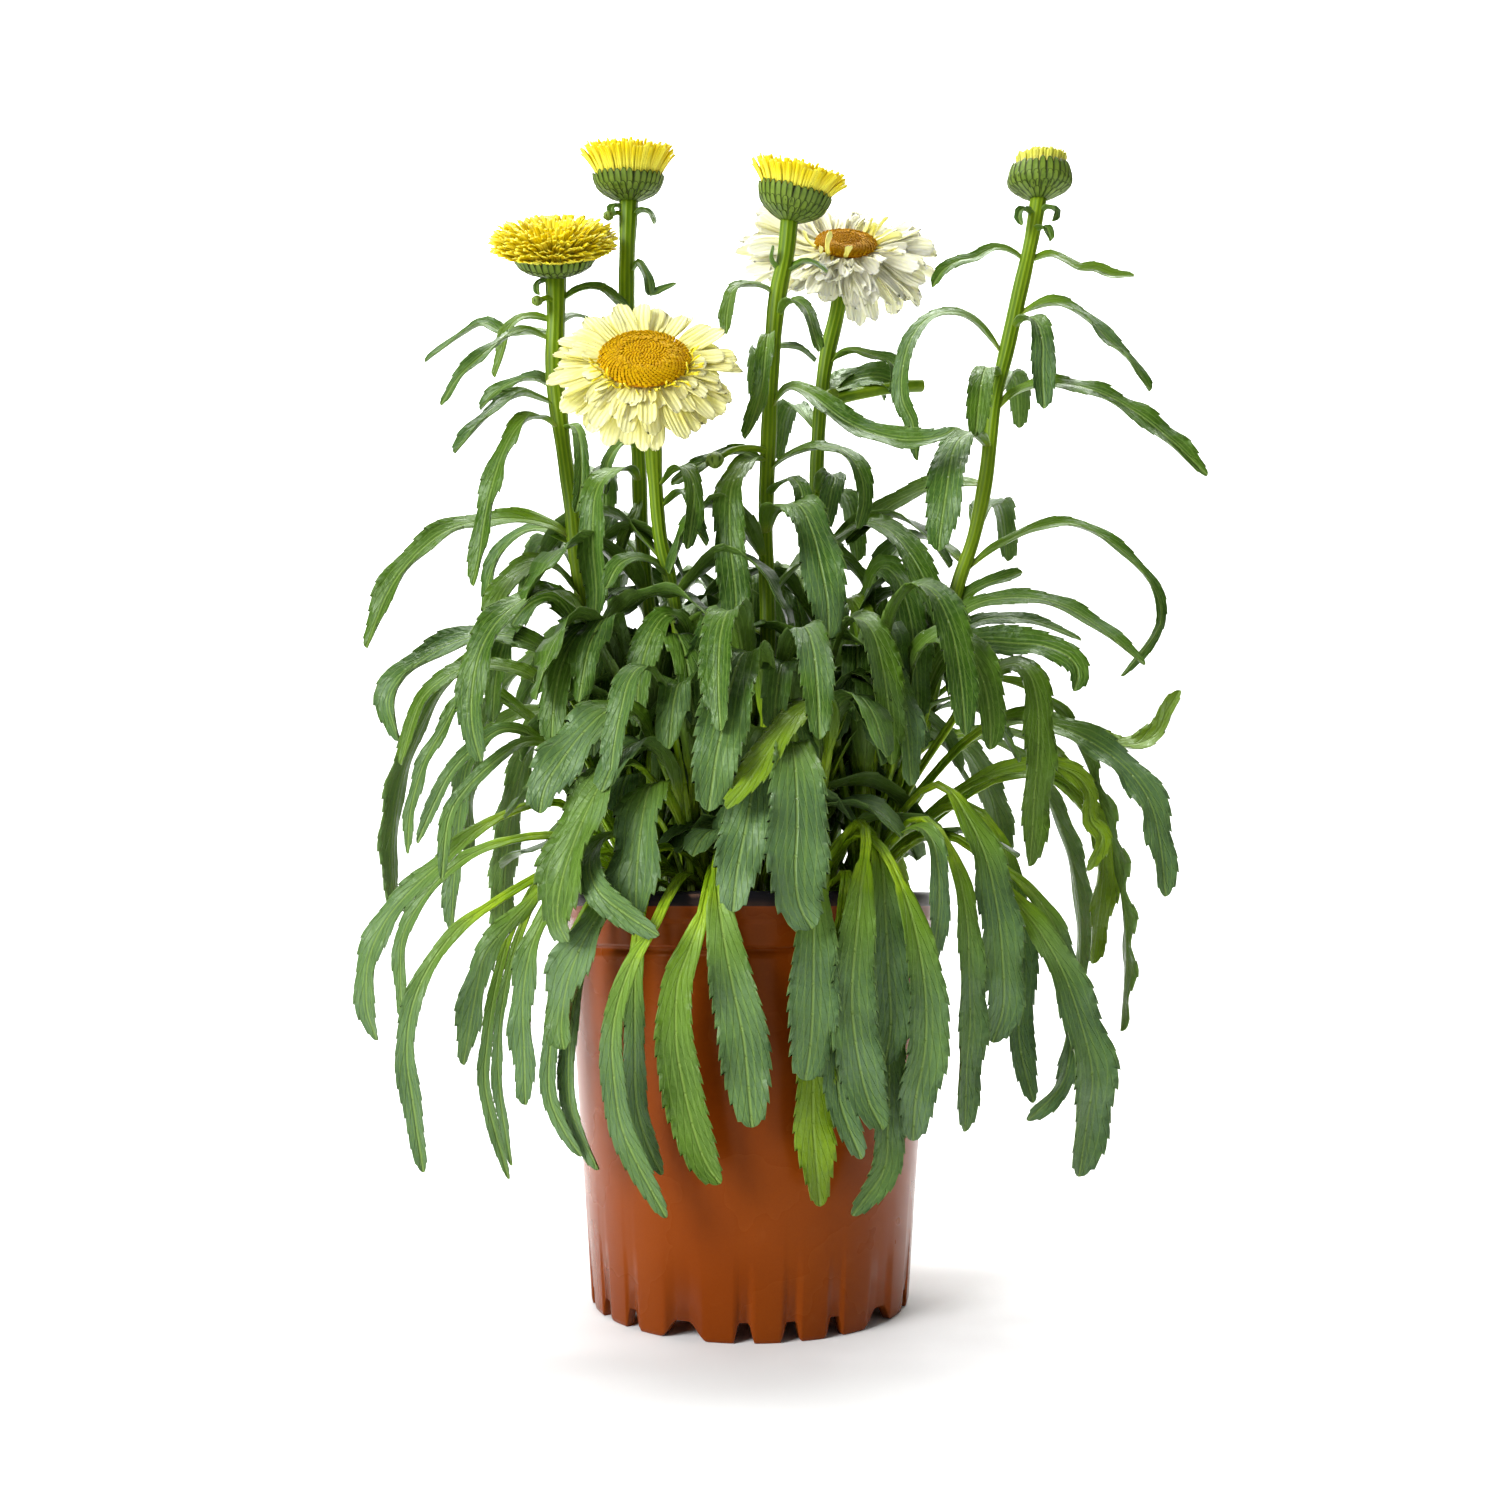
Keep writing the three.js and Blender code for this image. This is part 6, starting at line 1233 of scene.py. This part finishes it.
def makeLeaf(points, leaf, material=0):
    # grid over the leaf: across it the surface rises as cup * |u|^1.6 with a groove over the
    # midrib and slow waves at the edge; along it the edge steps out in forward teeth
    form, seed, coarse = leafForm, leaf["seed"], leaf.get("coarse", False)
    _, _, length = walk(points, [0, 1])
    stalk = form["stalkShare"] if leaf["basal"] else 0
    step = form["toothStep"] * (2 if coarse else 1)
    teeth = max(3, int(round(length * (1 - stalk) / step)))
    toothAt, toothCut, toothPush = np.array(form["tooth"]).T
    tipAt, tipCut, tipPush = np.array(form["tip"]).T
    blade = ((np.arange(teeth)[:, None] + toothAt) / teeth).reshape(-1) * 0.965
    foot = np.linspace(0, stalk, form["stalkRows"], endpoint=False) if leaf["basal"] else np.array([])
    share = np.concatenate([foot, stalk + (1 - stalk) * blade, stalk + (1 - stalk) * tipAt])
    cut = np.concatenate([foot * 0, np.tile(toothCut, teeth), tipCut])
    push = np.concatenate([foot * 0, np.tile(toothPush, teeth), tipPush])
    centre, along, _ = walk(points, share)
    keys, sides = leafSides(points, leaf)
    side = unit(np.stack([np.interp(share, keys, sides[:, k]) for k in range(3)], 1))
    side = unit(side - along * (side * along).sum(1, keepdims=True))
    out = np.cross(side, along)
    half = np.maximum(leafWidth(share, leaf) / 2, 0.35)
    onBlade = ease(stalk + 0.10 * (1 - stalk), stalk + 0.3 * (1 - stalk), share) * (leaf["width"] > 5)
    flat = ease(stalk - 0.05, stalk + 0.13, share) if leaf["basal"] else ease(0.0, 0.15, share)
    share, cut, push, half, onBlade, flat = (v[:, None] for v in (share, cut, push, half, onBlade, flat))
    u = np.array(form["coarseColumns" if coarse else "columns"])
    u = np.concatenate([-u[::-1], u])
    rim, right = np.abs(u) > 0.9, u > 0
    uneven = 0.75 + 0.5 * drawn(seed + np.arange(len(share))[:, None] // 3 * 3.1 + right * 50)
    x = u * half * (1 - form["toothDepth"] * cut * onBlade * uneven * rim)
    # the seam of small waves at each edge has its own length and start
    distance = share * length
    waveLength = between(form["waveLength"], seed + 5 + right * 3)
    wave = np.sin(2 * np.pi * (distance / waveLength + drawn(seed + 9 + right * 4)))
    wave = wave * (0.3 + 1.1 * drawn(seed + 13))
    z = form["cup"] * (0.6 + 0.8 * drawn(seed + 2)) * half * np.abs(u) ** 1.6
    z = z + form["wave"] * half * wave * u ** 2 + form["pleat"] * half * np.cos(4 * np.pi * u)
    z = z * flat - form["groove"] * np.exp(-(x / 0.9) ** 2) * flat
    # side veins run far forward from the midrib; the lane counts them across and along the blade
    lane = (distance - np.abs(x) * form["veinLean"]) / form["veinStep"]
    bend = 0.9 * np.abs(u) ** 2 * half * 0.1 * np.sin(share * 9 + seed) * flat
    forward = form["toothForward"] * push * onBlade * rim * np.minimum(1, half / 4)
    top = (centre[:, None] + side[:, None] * x[..., None] + out[:, None] * (z + bend)[..., None]
           + along[:, None] * forward[..., None])
    # below, the stalk is round and the blade a thin sheet with its midrib standing out
    rib = form["rib"] * (1 - 0.75 * ease(stalk, 1, share)) * np.exp(-(x / 1.1) ** 2)
    sheet = form["sheet"] * (1 - 0.4 * np.abs(u)) + rib
    deep = form["stalkDeep" if leaf["basal"] else "sheathDeep"]
    stalkDeep = deep * np.sqrt(np.maximum(1 - (0.97 * u) ** 2, 0.03))
    thick = stalkDeep * (1 - flat) + sheet * flat
    under = top - out[:, None] * np.maximum(thick, 0.22)[..., None]
    # high marks a leaf's rows up high, where the finish paints shade
    readings = {"across": x, "lane": lane, "edge": np.abs(u), "share": share, "tone": leaf["tone"],
                "stalk": 1 - flat, "high": ease(*form["high"], centre[:, 2:]),
                "base": 1 - ease(stalk, stalk + 0.5 * (1 - stalk), share)}
    return thinBody(top, under, readings, material)


def depthWay(root, way, lag):
    # a leaf's way as a function of its move in depth, which grows over the way's first points
    way = np.array(way, dtype=float)
    grow = np.minimum(1, (np.arange(len(way)) + lag) / 2)
    return lambda move: np.vstack([root, place(way + np.outer(move * grow, [0, 0, 1]))])


def fitLeaves(node, rows, material=0):
    # each row is a leaf and its way as a function of a move; of the moved ways it takes the one
    # whose outer half lies nearest to the node's solid
    tree = BVHTree.FromObject(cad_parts[node], bpy.context.evaluated_depsgraph_get())
    parts, missed = [], 0
    for leaf, wayAt in rows:
        best = (math.inf, None)
        for move in fitForm["moves"]:
            points = wayAt(move)
            centre, _, _ = walk(points, np.linspace(0.4, 0.98, 9))
            gaps = [tree.find_nearest(Vector(point * millimetre))[3] for point in centre]
            cost = float(np.mean(gaps)) / millimetre
            if cost < best[0] - 0.02:
                best = (cost, points)
        parts.append(makeLeaf(best[1], leaf, material))
        missed += best[0] > fitForm["off"]
    print(node, "leaves", len(parts), "off", missed)
    return parts


def stemRoot(name, height):
    # the stem's point at a height of the front view
    x, y, z = np.array(stemForms[name]["way"], dtype=float).T
    return [np.interp(-height, -y, x), height, np.interp(-height, -y, z)]


# Side shoots of a stem, as [radius, way]; the white bloom's are cut short. Side buds, as [radius,
# place]
sideShoots = {
    "white_bloom": [[3.2, [[35, 417, 31], [52, 421, 33], [70, 424.5, 35], [84.6, 425.5, 37]]],
                    [2.9, [[34, 416, 30], [37, 419, 24], [39.6, 421, 18], [40.6, 421, 13]]]],
    "middle_bud": [[1.5, [[9, 392, -14], [1, 394, -20], [-8, 393, -25], [-15, 389, -28]]]],
    "left_bud": [[1.1, [[-60.5, 511, -5], [-65, 514, -8], [-69, 513, -11]]]],
    "half_open": [[1.3, [[-95, 466, -15], [-99, 470, -19], [-103, 469, -22]]]],
}
sideBuds = {"middle_bud": [4.2, [-17, 387, -29]], "left_bud": [2.6, [-70, 512, -12]],
            "half_open": [2.7, [-104.5, 468, -23]]}
shootForm = {"sides": 16, "rings": 14, "ribs": 5, "ribHeight": 0.05}
budForm = {"sides": 20, "rings": 12, "lobes": 6, "lobeHeight": 0.13, "turn": 5}


def sideShootParts(name):
    # tubes along each way with a rounded end, and a small knobbly bud: its radius swells as the
    # sine of the way up it, with lobes round it
    form, bud, parts = shootForm, budForm, []
    angle = circle(form["sides"])
    shaft = np.linspace(0, 0.98, form["rings"])
    share = np.concatenate([shaft, [0.995, 1]])
    for radius, way in sideShoots.get(name, []):
        centre, along, _ = walk(place(way), share)
        girth = radius * np.concatenate([1.15 - 0.15 * ease(0, 0.3, shaft), [0.86, 0.45]])
        girth = girth[:, None] * (1 + form["ribHeight"] * np.cos(form["ribs"] * angle))
        readings = {"rib": np.cos(form["ribs"] * angle), "low": ease(0.96, 0.99, share)[:, None]}
        parts.append(closedTube(ringsRound(centre, along, girth, angle), readings))
    if name in sideBuds:
        radius, spot = sideBuds[name]
        rise = np.linspace(0.04, 0.97, bud["rings"])[:, None]
        angle = circle(bud["sides"])
        lobe = bud["lobes"] * angle + bud["turn"] * rise
        girth = radius * np.sin(np.pi * rise) ** 0.7 * (1 + bud["lobeHeight"] * np.cos(lobe))
        rings = turned(girth, angle, 2.0 * radius * (rise - 0.4), place([spot])[0])
        dark = (0.5 + 0.5 * np.cos(lobe + np.pi)) ** 3
        parts.append(closedTube(rings, {"share": 0.3, "edge": dark}, 1))
    return parts


def stemLeafParts(name):
    rows = []
    for index, (width, height, *way) in enumerate(stemLeaves[name]):
        seed = 100 * len(name) + 7 * index
        leaf = newLeaf(width, False, seed, drawn(seed), index + width)
        rows.append((leaf, depthWay(place(stemRoot(name, height)), way, 1)))
    return sideShootParts(name) + fitLeaves("stem_" + name, rows, 2)


# Crowns: the ring of roots on a crown's head, and the head's own rows of [radius, height]
crownForm = {
    "rootRadius": 6.6, "rootHeight": 174.2, "rootStep": 4, "rootFan": 300, "sides": 22, "knobs": 5,
    "knobHeight": 0.08,
    "rows": [[5.8, 134], [6.0, 165], [7.6, 170.5], [8.6, 174], [8.2, 177.5], [6.2, 180], [2, 180.6]],
}


def crownRoots(at, firstPoints):
    # roots spread evenly over the crown's head in the order that the leaves fan out
    form = crownForm
    away = firstPoints[:, :2] - np.array(at)
    angles = np.arctan2(away[:, 1], away[:, 0])
    mean = math.atan2(np.sin(angles).sum(), np.cos(angles).sum())
    off = np.arctan2(np.sin(angles - mean), np.cos(angles - mean))
    rank = np.empty(len(off), dtype=int)
    rank[np.argsort(off, kind="stable")] = np.arange(len(off))
    angle = mean + math.radians(form["rootFan"]) * ((rank + 0.5) / len(off) - 0.5)
    height = form["rootHeight"] + form["rootStep"] * (rank % 2 - 0.5)
    return turned(form["rootRadius"], angle, height, (*at, 0))


def crownHead(at):
    # short knobbly stub that the leaves leave, standing in the soil
    form = crownForm
    radius, height = np.array(form["rows"]).T[..., None]
    angle = circle(form["sides"])
    knob = 1 + form["knobHeight"] * np.sin(form["knobs"] * angle + height * 0.9)
    return closedTube(turned(radius * knob, angle, height, (*at, 0)), {"stalk": 1.0, "tone": 0.4})


def crownParts(name):
    crown = crownLeaves[name]
    roots = crownRoots(crown["at"], np.vstack([place(first) for _, first, *_ in crown["leaves"]]))
    rows = []
    for index, (width, *way) in enumerate(crown["leaves"]):
        seed = 1000 + 31 * len(name) + 11 * index
        tone = 0.0 if [name, index] in yellowLeaves else between([0.2, 1], seed)
        rows.append((newLeaf(width, True, seed, tone, index + width), depthWay(roots[index], way, 0)))
    return [crownHead(crown["at"])] + fitLeaves("leaves_" + name, rows)


# Back crowns, out of the front view: limits of reach, crest height, tip height and width, and the
# arch as rows of [share of the reach, share of the rise]; its first rows rise from the soil
backForm = {
    "reach": [112, 172], "crest": [232, 312], "end": [64, 210], "width": [11, 19], "soil": 168,
    "arch": [[0.14, 0.42], [0.34, 0.86], [0.56, 1], [0.8, 0.9], [0.95, 0.6], [1, 0.28], [0.98, 0]],
}


def archWay(at, turn, reach, crest, end):
    # arch over the rim: the rise counts from the soil on the first rows and from the tip's height
    # on the later ones
    share, rise = np.array(backForm["arch"]).T
    out = np.array([math.cos(math.radians(turn)), math.sin(math.radians(turn))])
    floor = np.where(np.arange(len(rise)) < 3, backForm["soil"], end)
    far = reach * share - 10 * share
    return np.column_stack([at[0] + out[0] * far, at[1] + out[1] * far, floor + (crest - floor) * rise])


def turnedWay(root, at, turn, arch):
    # the way of an arch as a function of a move that turns it round the crown
    return lambda move: np.vstack([root, archWay(at, turn + move * 0.8, *arch)])


def backCrownParts(name):
    crown, form = backCrowns[name], backForm
    at = crown["at"]
    low, high = form["reach"]
    turns, arches, widths = [], [], []
    for k in range(crown["count"]):
        seed = at[0] * 3 + k
        turns.append(crown["facing"] + crown["fan"] * ((k * 0.618) % 1 - 0.5))
        reach = low + (high - low) * (0.35 * drawn(seed + 1) + 0.65 * drawn(seed + 2))
        arches.append((reach, between(form["crest"], seed + 1), between(form["end"], seed + 3)))
        widths.append(between(form["width"], seed + 4))
    roots = crownRoots(at, np.vstack([archWay(at, turn, *arch)[0] for turn, arch in zip(turns, arches)]))
    rows = []
    for index, (turn, arch, width) in enumerate(zip(turns, arches, widths)):
        seed = 2000 + 31 * len(name) + 11 * index
        leaf = newLeaf(width, True, seed, drawn(seed), index + width, hidden=True)
        rows.append((leaf, turnedWay(roots[index], at, turn, arch)))
    return [crownHead(at)] + fitLeaves("leaves_" + name, rows)


# Colours of leaves, stems and bracts: pairs are the two ends of a mottle, the others are what the
# part named is drawn towards
greenTones = {
    "blade": [(0.024, 0.070, 0.002), (0.062, 0.138, 0.008)], "bluer": (0.048, 0.110, 0.030),
    # the sheen tone on the next line is painted sheen, the far tone painted sheen of the sky's light, and
    # the high tone below painted shade
    "paintedSheen": (0.110, 0.185, 0.090), "yellower": (0.165, 0.265, 0.004), "far": (0.115, 0.190, 0.100),
    "high": (0.022, 0.064, 0.002), "base": (0.135, 0.250, 0.002), "fine": (0.100, 0.185, 0.026),
    "vein": (0.15, 0.25, 0.035), "line": (0.17, 0.28, 0.05), "midrib": (0.21, 0.32, 0.06),
    "rim": (0.17, 0.26, 0.05), "under": (0.098, 0.172, 0.026),
    "stalk": [(0.165, 0.290, 0.003), (0.290, 0.440, 0.012)], "stalkGroove": (0.060, 0.140, 0.006),
    "stalkFoot": (0.17, 0.20, 0.03),
    "stem": [(0.085, 0.160, 0.002), (0.150, 0.240, 0.006)], "rib": (0.24, 0.35, 0.020),
    "groove": (0.050, 0.120, 0.008), "low": (0.13, 0.18, 0.02),
    "bract": [(0.065, 0.125, 0.004), (0.125, 0.200, 0.014)], "paler": (0.20, 0.29, 0.05),
    "keel": (0.25, 0.34, 0.07), "papery": (0.028, 0.040, 0.004),
}


def leafGreen():
    # blade: mottled green with soft patches of painted sheen, yellower towards its stalk, with a thin pale
    # midrib and faint side veins, paler and duller below; some leaves are yellower and some bluer; stalk:
    # yellow green
    finish, tree = newFinish("leafGreen", 0.42, 0.3, {"Specular Tint": (0.84, 1.0, 0.74, 1)})
    tones = greenTones
    tone, base, high, share, across, edge = (
        reading(tree, key) for key in ("tone", "base", "high", "share", "across", "edge"))
    green = blend(tree, span(tree, speckle(tree, 38, 3), 0.36, 0.66), *tones["blade"])
    green = tint(tree, green, span(tree, tone, 0.55, 1.0), 0.55, tones["bluer"])
    # painted sheen: soft pale blue green patches stand in for the gloss of the lights
    green = tint(tree, green, span(tree, speckle(tree, 24, 2), 0.54, 0.68), 0.6, tones["paintedSheen"])
    green = tint(tree, green, span(tree, tone, 0.32, 0.0), 0.8, tones["yellower"])
    # a blue grey painted sheen of the sky's light on the outer half of low leaves, and painted shade that
    # darkens leaves high up
    far = sums(tree, "MULTIPLY", span(tree, share, 0.4, 0.75), span(tree, tone, 0.15, 0.5))
    far = sums(tree, "MULTIPLY", far, span(tree, high, 1.0, 0.0))
    green = tint(tree, green, far, 0.4, tones["far"])
    # painted shade: leaves high up are darkened, against the sheen of the top light
    green = tint(tree, green, high, 0.34, tones["high"])
    green = tint(tree, green, base, 0.74, tones["base"])
    green = tint(tree, green, span(tree, speckle(tree, 480, 3), 0.42, 0.66), 0.24, tones["fine"])
    lane = sums(tree, "FRACT", reading(tree, "lane"))
    vein = span(tree, sums(tree, "ABSOLUTE", sums(tree, "SUBTRACT", lane, 0.5)), 0.085, 0.02)
    green = tint(tree, green, vein, 0.22, tones["vein"])
    # two finer lines run along each half of the blade
    for spot, breadth, strength in ((0.3, 0.06, 0.46), (0.6, 0.05, 0.38)):
        off = sums(tree, "ABSOLUTE", sums(tree, "SUBTRACT", edge, spot))
        green = tint(tree, green, span(tree, off, breadth, 0.0), strength, tones["line"])
    midrib = span(tree, sums(tree, "ABSOLUTE", across), 0.9, 0.15)
    green = tint(tree, green, midrib, 0.5, tones["midrib"])
    green = tint(tree, green, span(tree, edge, 0.95, 1.0), 0.45, tones["rim"])
    green = tint(tree, green, reading(tree, "under"), 0.4, tones["under"])
    stalk = blend(tree, span(tree, speckle(tree, 90, 2), 0.4, 0.65), *tones["stalk"])
    groove = span(tree, sums(tree, "SINE", sums(tree, "MULTIPLY", across, 5.5)), 0.2, 1.0)
    stalk = tint(tree, stalk, groove, 0.35, tones["stalkGroove"])
    stalk = blend(tree, span(tree, share, 0.12, 0.0), stalk, tones["stalkFoot"])
    colour = blend(tree, span(tree, reading(tree, "stalk"), 0.15, 0.95), green, stalk)
    gloss = span(tree, speckle(tree, 200, 2), 0.3, 0.7, (0.32, 0.5))
    pucker = sums(tree, "ADD", speckle(tree, 330, 3), sums(tree, "MULTIPLY", vein, -0.9))
    pucker = sums(tree, "ADD", pucker, sums(tree, "MULTIPLY", midrib, -1.0))
    return finished(finish, colour, pucker, 0.0008, 0.7, gloss)


def stemGreen():
    # ribbed stem: bright yellow green on the ribs, darker in the grooves and in long streaks
    finish, tree = newFinish("stemGreen", 0.42, 0.14)
    rib = reading(tree, "rib")
    cloud = span(tree, speckle(tree, 60, 3, (1, 1, 0.15)), 0.38, 0.66)
    colour = blend(tree, cloud, *greenTones["stem"])
    colour = tint(tree, colour, span(tree, rib, 0.1, 0.95), 0.5, greenTones["rib"])
    colour = tint(tree, colour, span(tree, rib, -0.3, -1.0), 0.6, greenTones["groove"])
    colour = tint(tree, colour, reading(tree, "low"), 0.4, greenTones["low"])
    return finished(finish, colour, speckle(tree, 380, 3, (1, 1, 0.25)), 0.0005, 0.6)


def bractGreen():
    # scale-like bracts: green with a pale keel and a dark papery edge and tip
    finish, tree = newFinish("bractGreen", 0.5, 0.2)
    edge = reading(tree, "edge")
    green = blend(tree, span(tree, speckle(tree, 160, 3), 0.38, 0.66), *greenTones["bract"])
    green = tint(tree, green, reading(tree, "tone"), 0.3, greenTones["paler"])
    green = tint(tree, green, span(tree, edge, 0.6, 0.35), 0.4, greenTones["keel"])
    rim = sums(tree, "MULTIPLY", span(tree, edge, 0.52, 0.9), 0.85)
    tip = sums(tree, "MULTIPLY", span(tree, reading(tree, "share"), 0.78, 0.97), 0.85)
    colour = blend(tree, sums(tree, "MAXIMUM", rim, tip), green, greenTones["papery"])
    return finished(finish, colour, speckle(tree, 600, 3), 0.0004, 0.6)


# Inner leaves fill the heart of the plant, where the front view shows only parts of them: on each
# crown they rise steeply and arch over by rule, and on each stem they stand out behind it. Each
# crown has [count, greatest height], each stem [facing, fan], and the two ways are rows of [share
# of the reach, share of the rise]
innerForm = {
    "crowns": {"right": [16, 318], "front_right": [16, 282], "front_middle": [16, 280],
               "front_left": [16, 282], "left": [16, 312], "back_right": [15, 345], "back": [16, 345],
               "back_left": [15, 338]},
    "lowest": 200, "reach": [34, 92], "width": [11, 18], "tone": [0.2, 0.8], "turn": 137.5,
    "stems": {"half_open": [20, 150], "left_bud": [100, 300], "cream_bloom": [90, 300],
              "middle_bud": [90, 300], "white_bloom": [90, 320], "right_bud": [150, 150]},
    "perStem": 8, "roots": [205, 345], "stemReach": [46, 84], "stemRise": [12, 30], "stemWidth": [11, 16],
    "stemTone": [0.3, 0.9],
    "steep": [[0.05, 0.34], [0.17, 0.70], [0.38, 0.94], [0.62, 1], [0.84, 0.9], [1, 0.7]],
    "spray": [[0.14, 0.45], [0.36, 0.92], [0.6, 0.95], [0.82, 0.4], [1, -0.5]],
}


def innerLeaf(root, points, width, tone, basal, seed):
    leaf = newLeaf(between(width, seed + 7), basal, seed, between(tone, seed + 9), seed + 11,
                   hidden=True, coarse=True)
    return makeLeaf(np.vstack([root, points]), leaf)


def innerLeafParts():
    form, parts = innerForm, []
    soil = backForm["soil"]
    seats = {name: crown["at"] for name, crown in {**crownLeaves, **backCrowns}.items()}
    share, rise = np.array(form["steep"]).T[..., None]
    for order, (name, (count, tallest)) in enumerate(form["crowns"].items()):
        at = np.array(seats[name], dtype=float)
        for k in range(count):
            seed = 300 + 23 * order + k
            turn = math.radians(form["turn"] * k + 61 * order)
            out = np.array([math.cos(turn), math.sin(turn)])
            reach = between(form["reach"], seed) * (1 - 0.35 * max(0, -out[1]))
            crest = between([form["lowest"], tallest], seed + 500)
            points = np.hstack([at + out * (2 + reach * share), soil + (crest - soil) * rise])
            root = [*(at + out * 3), soil + 4]
            parts.append(innerLeaf(root, points, form["width"], form["tone"], True, seed))
    share, rise = np.array(form["spray"]).T[..., None]
    low, high = form["roots"]
    for order, (name, (facing, fan)) in enumerate(form["stems"].items()):
        for k in range(form["perStem"]):
            seed = 900 + 29 * order + k
            root = place([stemRoot(name, low + (high - low) * (k + 0.5) / form["perStem"])])[0]
            turn = math.radians(facing + fan * ((k * 0.618 + 0.2 * order) % 1 - 0.5))
            out = np.array([math.cos(turn), math.sin(turn)])
            reach, height = between(form["stemReach"], seed), between(form["stemRise"], seed + 40)
            points = np.hstack([root[:2] + out * reach * share, root[2] + height * rise])
            parts.append(innerLeaf(root, points, form["stemWidth"], form["stemTone"], False, seed))
    print("inner leaves", len(parts))
    return parts


leafFinish = leafGreen()
stemFinish, bractFinish = stemGreen(), bractGreen()
for name in stemForms:
    parts = [makeStem(name)] + makeCup(name) + stemLeafParts(name)
    makePiece("stem_" + name, parts, [stemFinish, bractFinish, leafFinish], ["stem_" + name])
print("stems and cups made")

yellow, cream = rayFinish("rayYellow"), petalFinish("petalCream")
for name in ("half_open", "left_bud", "middle_bud"):
    makeRays(name, yellow)
makeRays("right_bud", rayFinish("rayLime"))
makePetals("cream_bloom", cream)
makePetals("white_bloom", petalFinish("petalWhite"))
makeThreads("cream_bloom", yellow)
makeThreads("white_bloom", cream)
makeDisc("cream_bloom", discFinish("discGold"))
makeDisc("white_bloom", discFinish("discAmber"))
print("flowers made")

for name in crownLeaves:
    makePiece("leaves_" + name, crownParts(name), [leafFinish], ["leaves_" + name])
for name in backCrowns:
    makePiece("leaves_" + name, backCrownParts(name), [leafFinish], ["leaves_" + name])
makePiece("leaves_inner", innerLeafParts(), [leafFinish], [])
print("crowns made")

# Stage: a pale floor that bends up into a pale wall, a broad soft light from the upper left and a
# bright even sky
stageForm = {"half": 3.0, "front": -1.6, "wall": 1.5, "bend": 0.5, "height": 2.6, "sky": 0.13}
lightForms = {
    "keyLight": {"at": (-1.45, -1.3, 1.1), "to": (0, 0, 0.27), "size": (1.0, 1.2), "power": 62},
    "fillLight": {"at": (1.5, -1.3, 0.8), "to": (0, 0, 0.25), "size": (1.2, 1.4), "power": 1.5},
    "topLight": {"at": (0.1, 0.2, 1.8), "to": (0, 0, 0.2), "size": (1.2, 1.2), "power": 10},
    "wallLight": {"at": (0, 0.4, 1.9), "to": (0, 1.5, 0.6), "size": (2.0, 0.4), "power": 80},
}


def makeStage():
    form = stageForm
    bend, wall, half = form["bend"], form["wall"], form["half"]
    turn = np.linspace(0, np.pi / 2, 16)
    corner = np.column_stack([wall - bend + bend * np.sin(turn), bend - bend * np.cos(turn)])
    line = np.vstack([[form["front"], 0.0], corner, [wall, form["height"]]])
    count = len(line)
    points = np.concatenate([np.column_stack([np.full(count, side * half), line]) for side in (-1, 1)])
    faces = [[k, k + count, k + 1 + count, k + 1] for k in range(count - 1)]
    mesh = bpy.data.meshes.new("stageFloor")
    mesh.from_pydata(points.tolist(), [], faces)
    mesh.polygons.foreach_set("use_smooth", [True] * len(faces))
    finish, tree = newFinish("stagePaper", 0.9, 0.1)
    paper = blend(tree, span(tree, speckle(tree, 3, 1), 0.3, 0.7), (0.86, 0.86, 0.86), (0.88, 0.88, 0.88))
    tree.links.new(paper, tree.nodes["Principled BSDF"].inputs["Base Color"])
    mesh.materials.append(finish)
    stage = bpy.data.objects.new("stageFloor", mesh)
    bpy.context.collection.objects.link(stage)


def makeLight(name):
    form = lightForms[name]
    data = bpy.data.lights.new(name, "AREA")
    data.shape = "RECTANGLE"
    data.size, data.size_y = form["size"]
    data.energy = form["power"]
    light = bpy.data.objects.new(name, data)
    light.location = form["at"]
    light.rotation_euler = (Vector(form["to"]) - Vector(form["at"])).to_track_quat("-Z", "Y").to_euler()
    bpy.context.collection.objects.link(light)


makeStage()
for name in lightForms:
    makeLight(name)
world = bpy.data.worlds.new("studioSky")
world.use_nodes = True
sky = world.node_tree.nodes["Background"]
sky.inputs["Color"].default_value = (1, 1, 1, 1)
sky.inputs["Strength"].default_value = stageForm["sky"]
bpy.context.scene.world = world
bpy.context.scene.view_settings.view_transform = "Standard"
print("stage set")
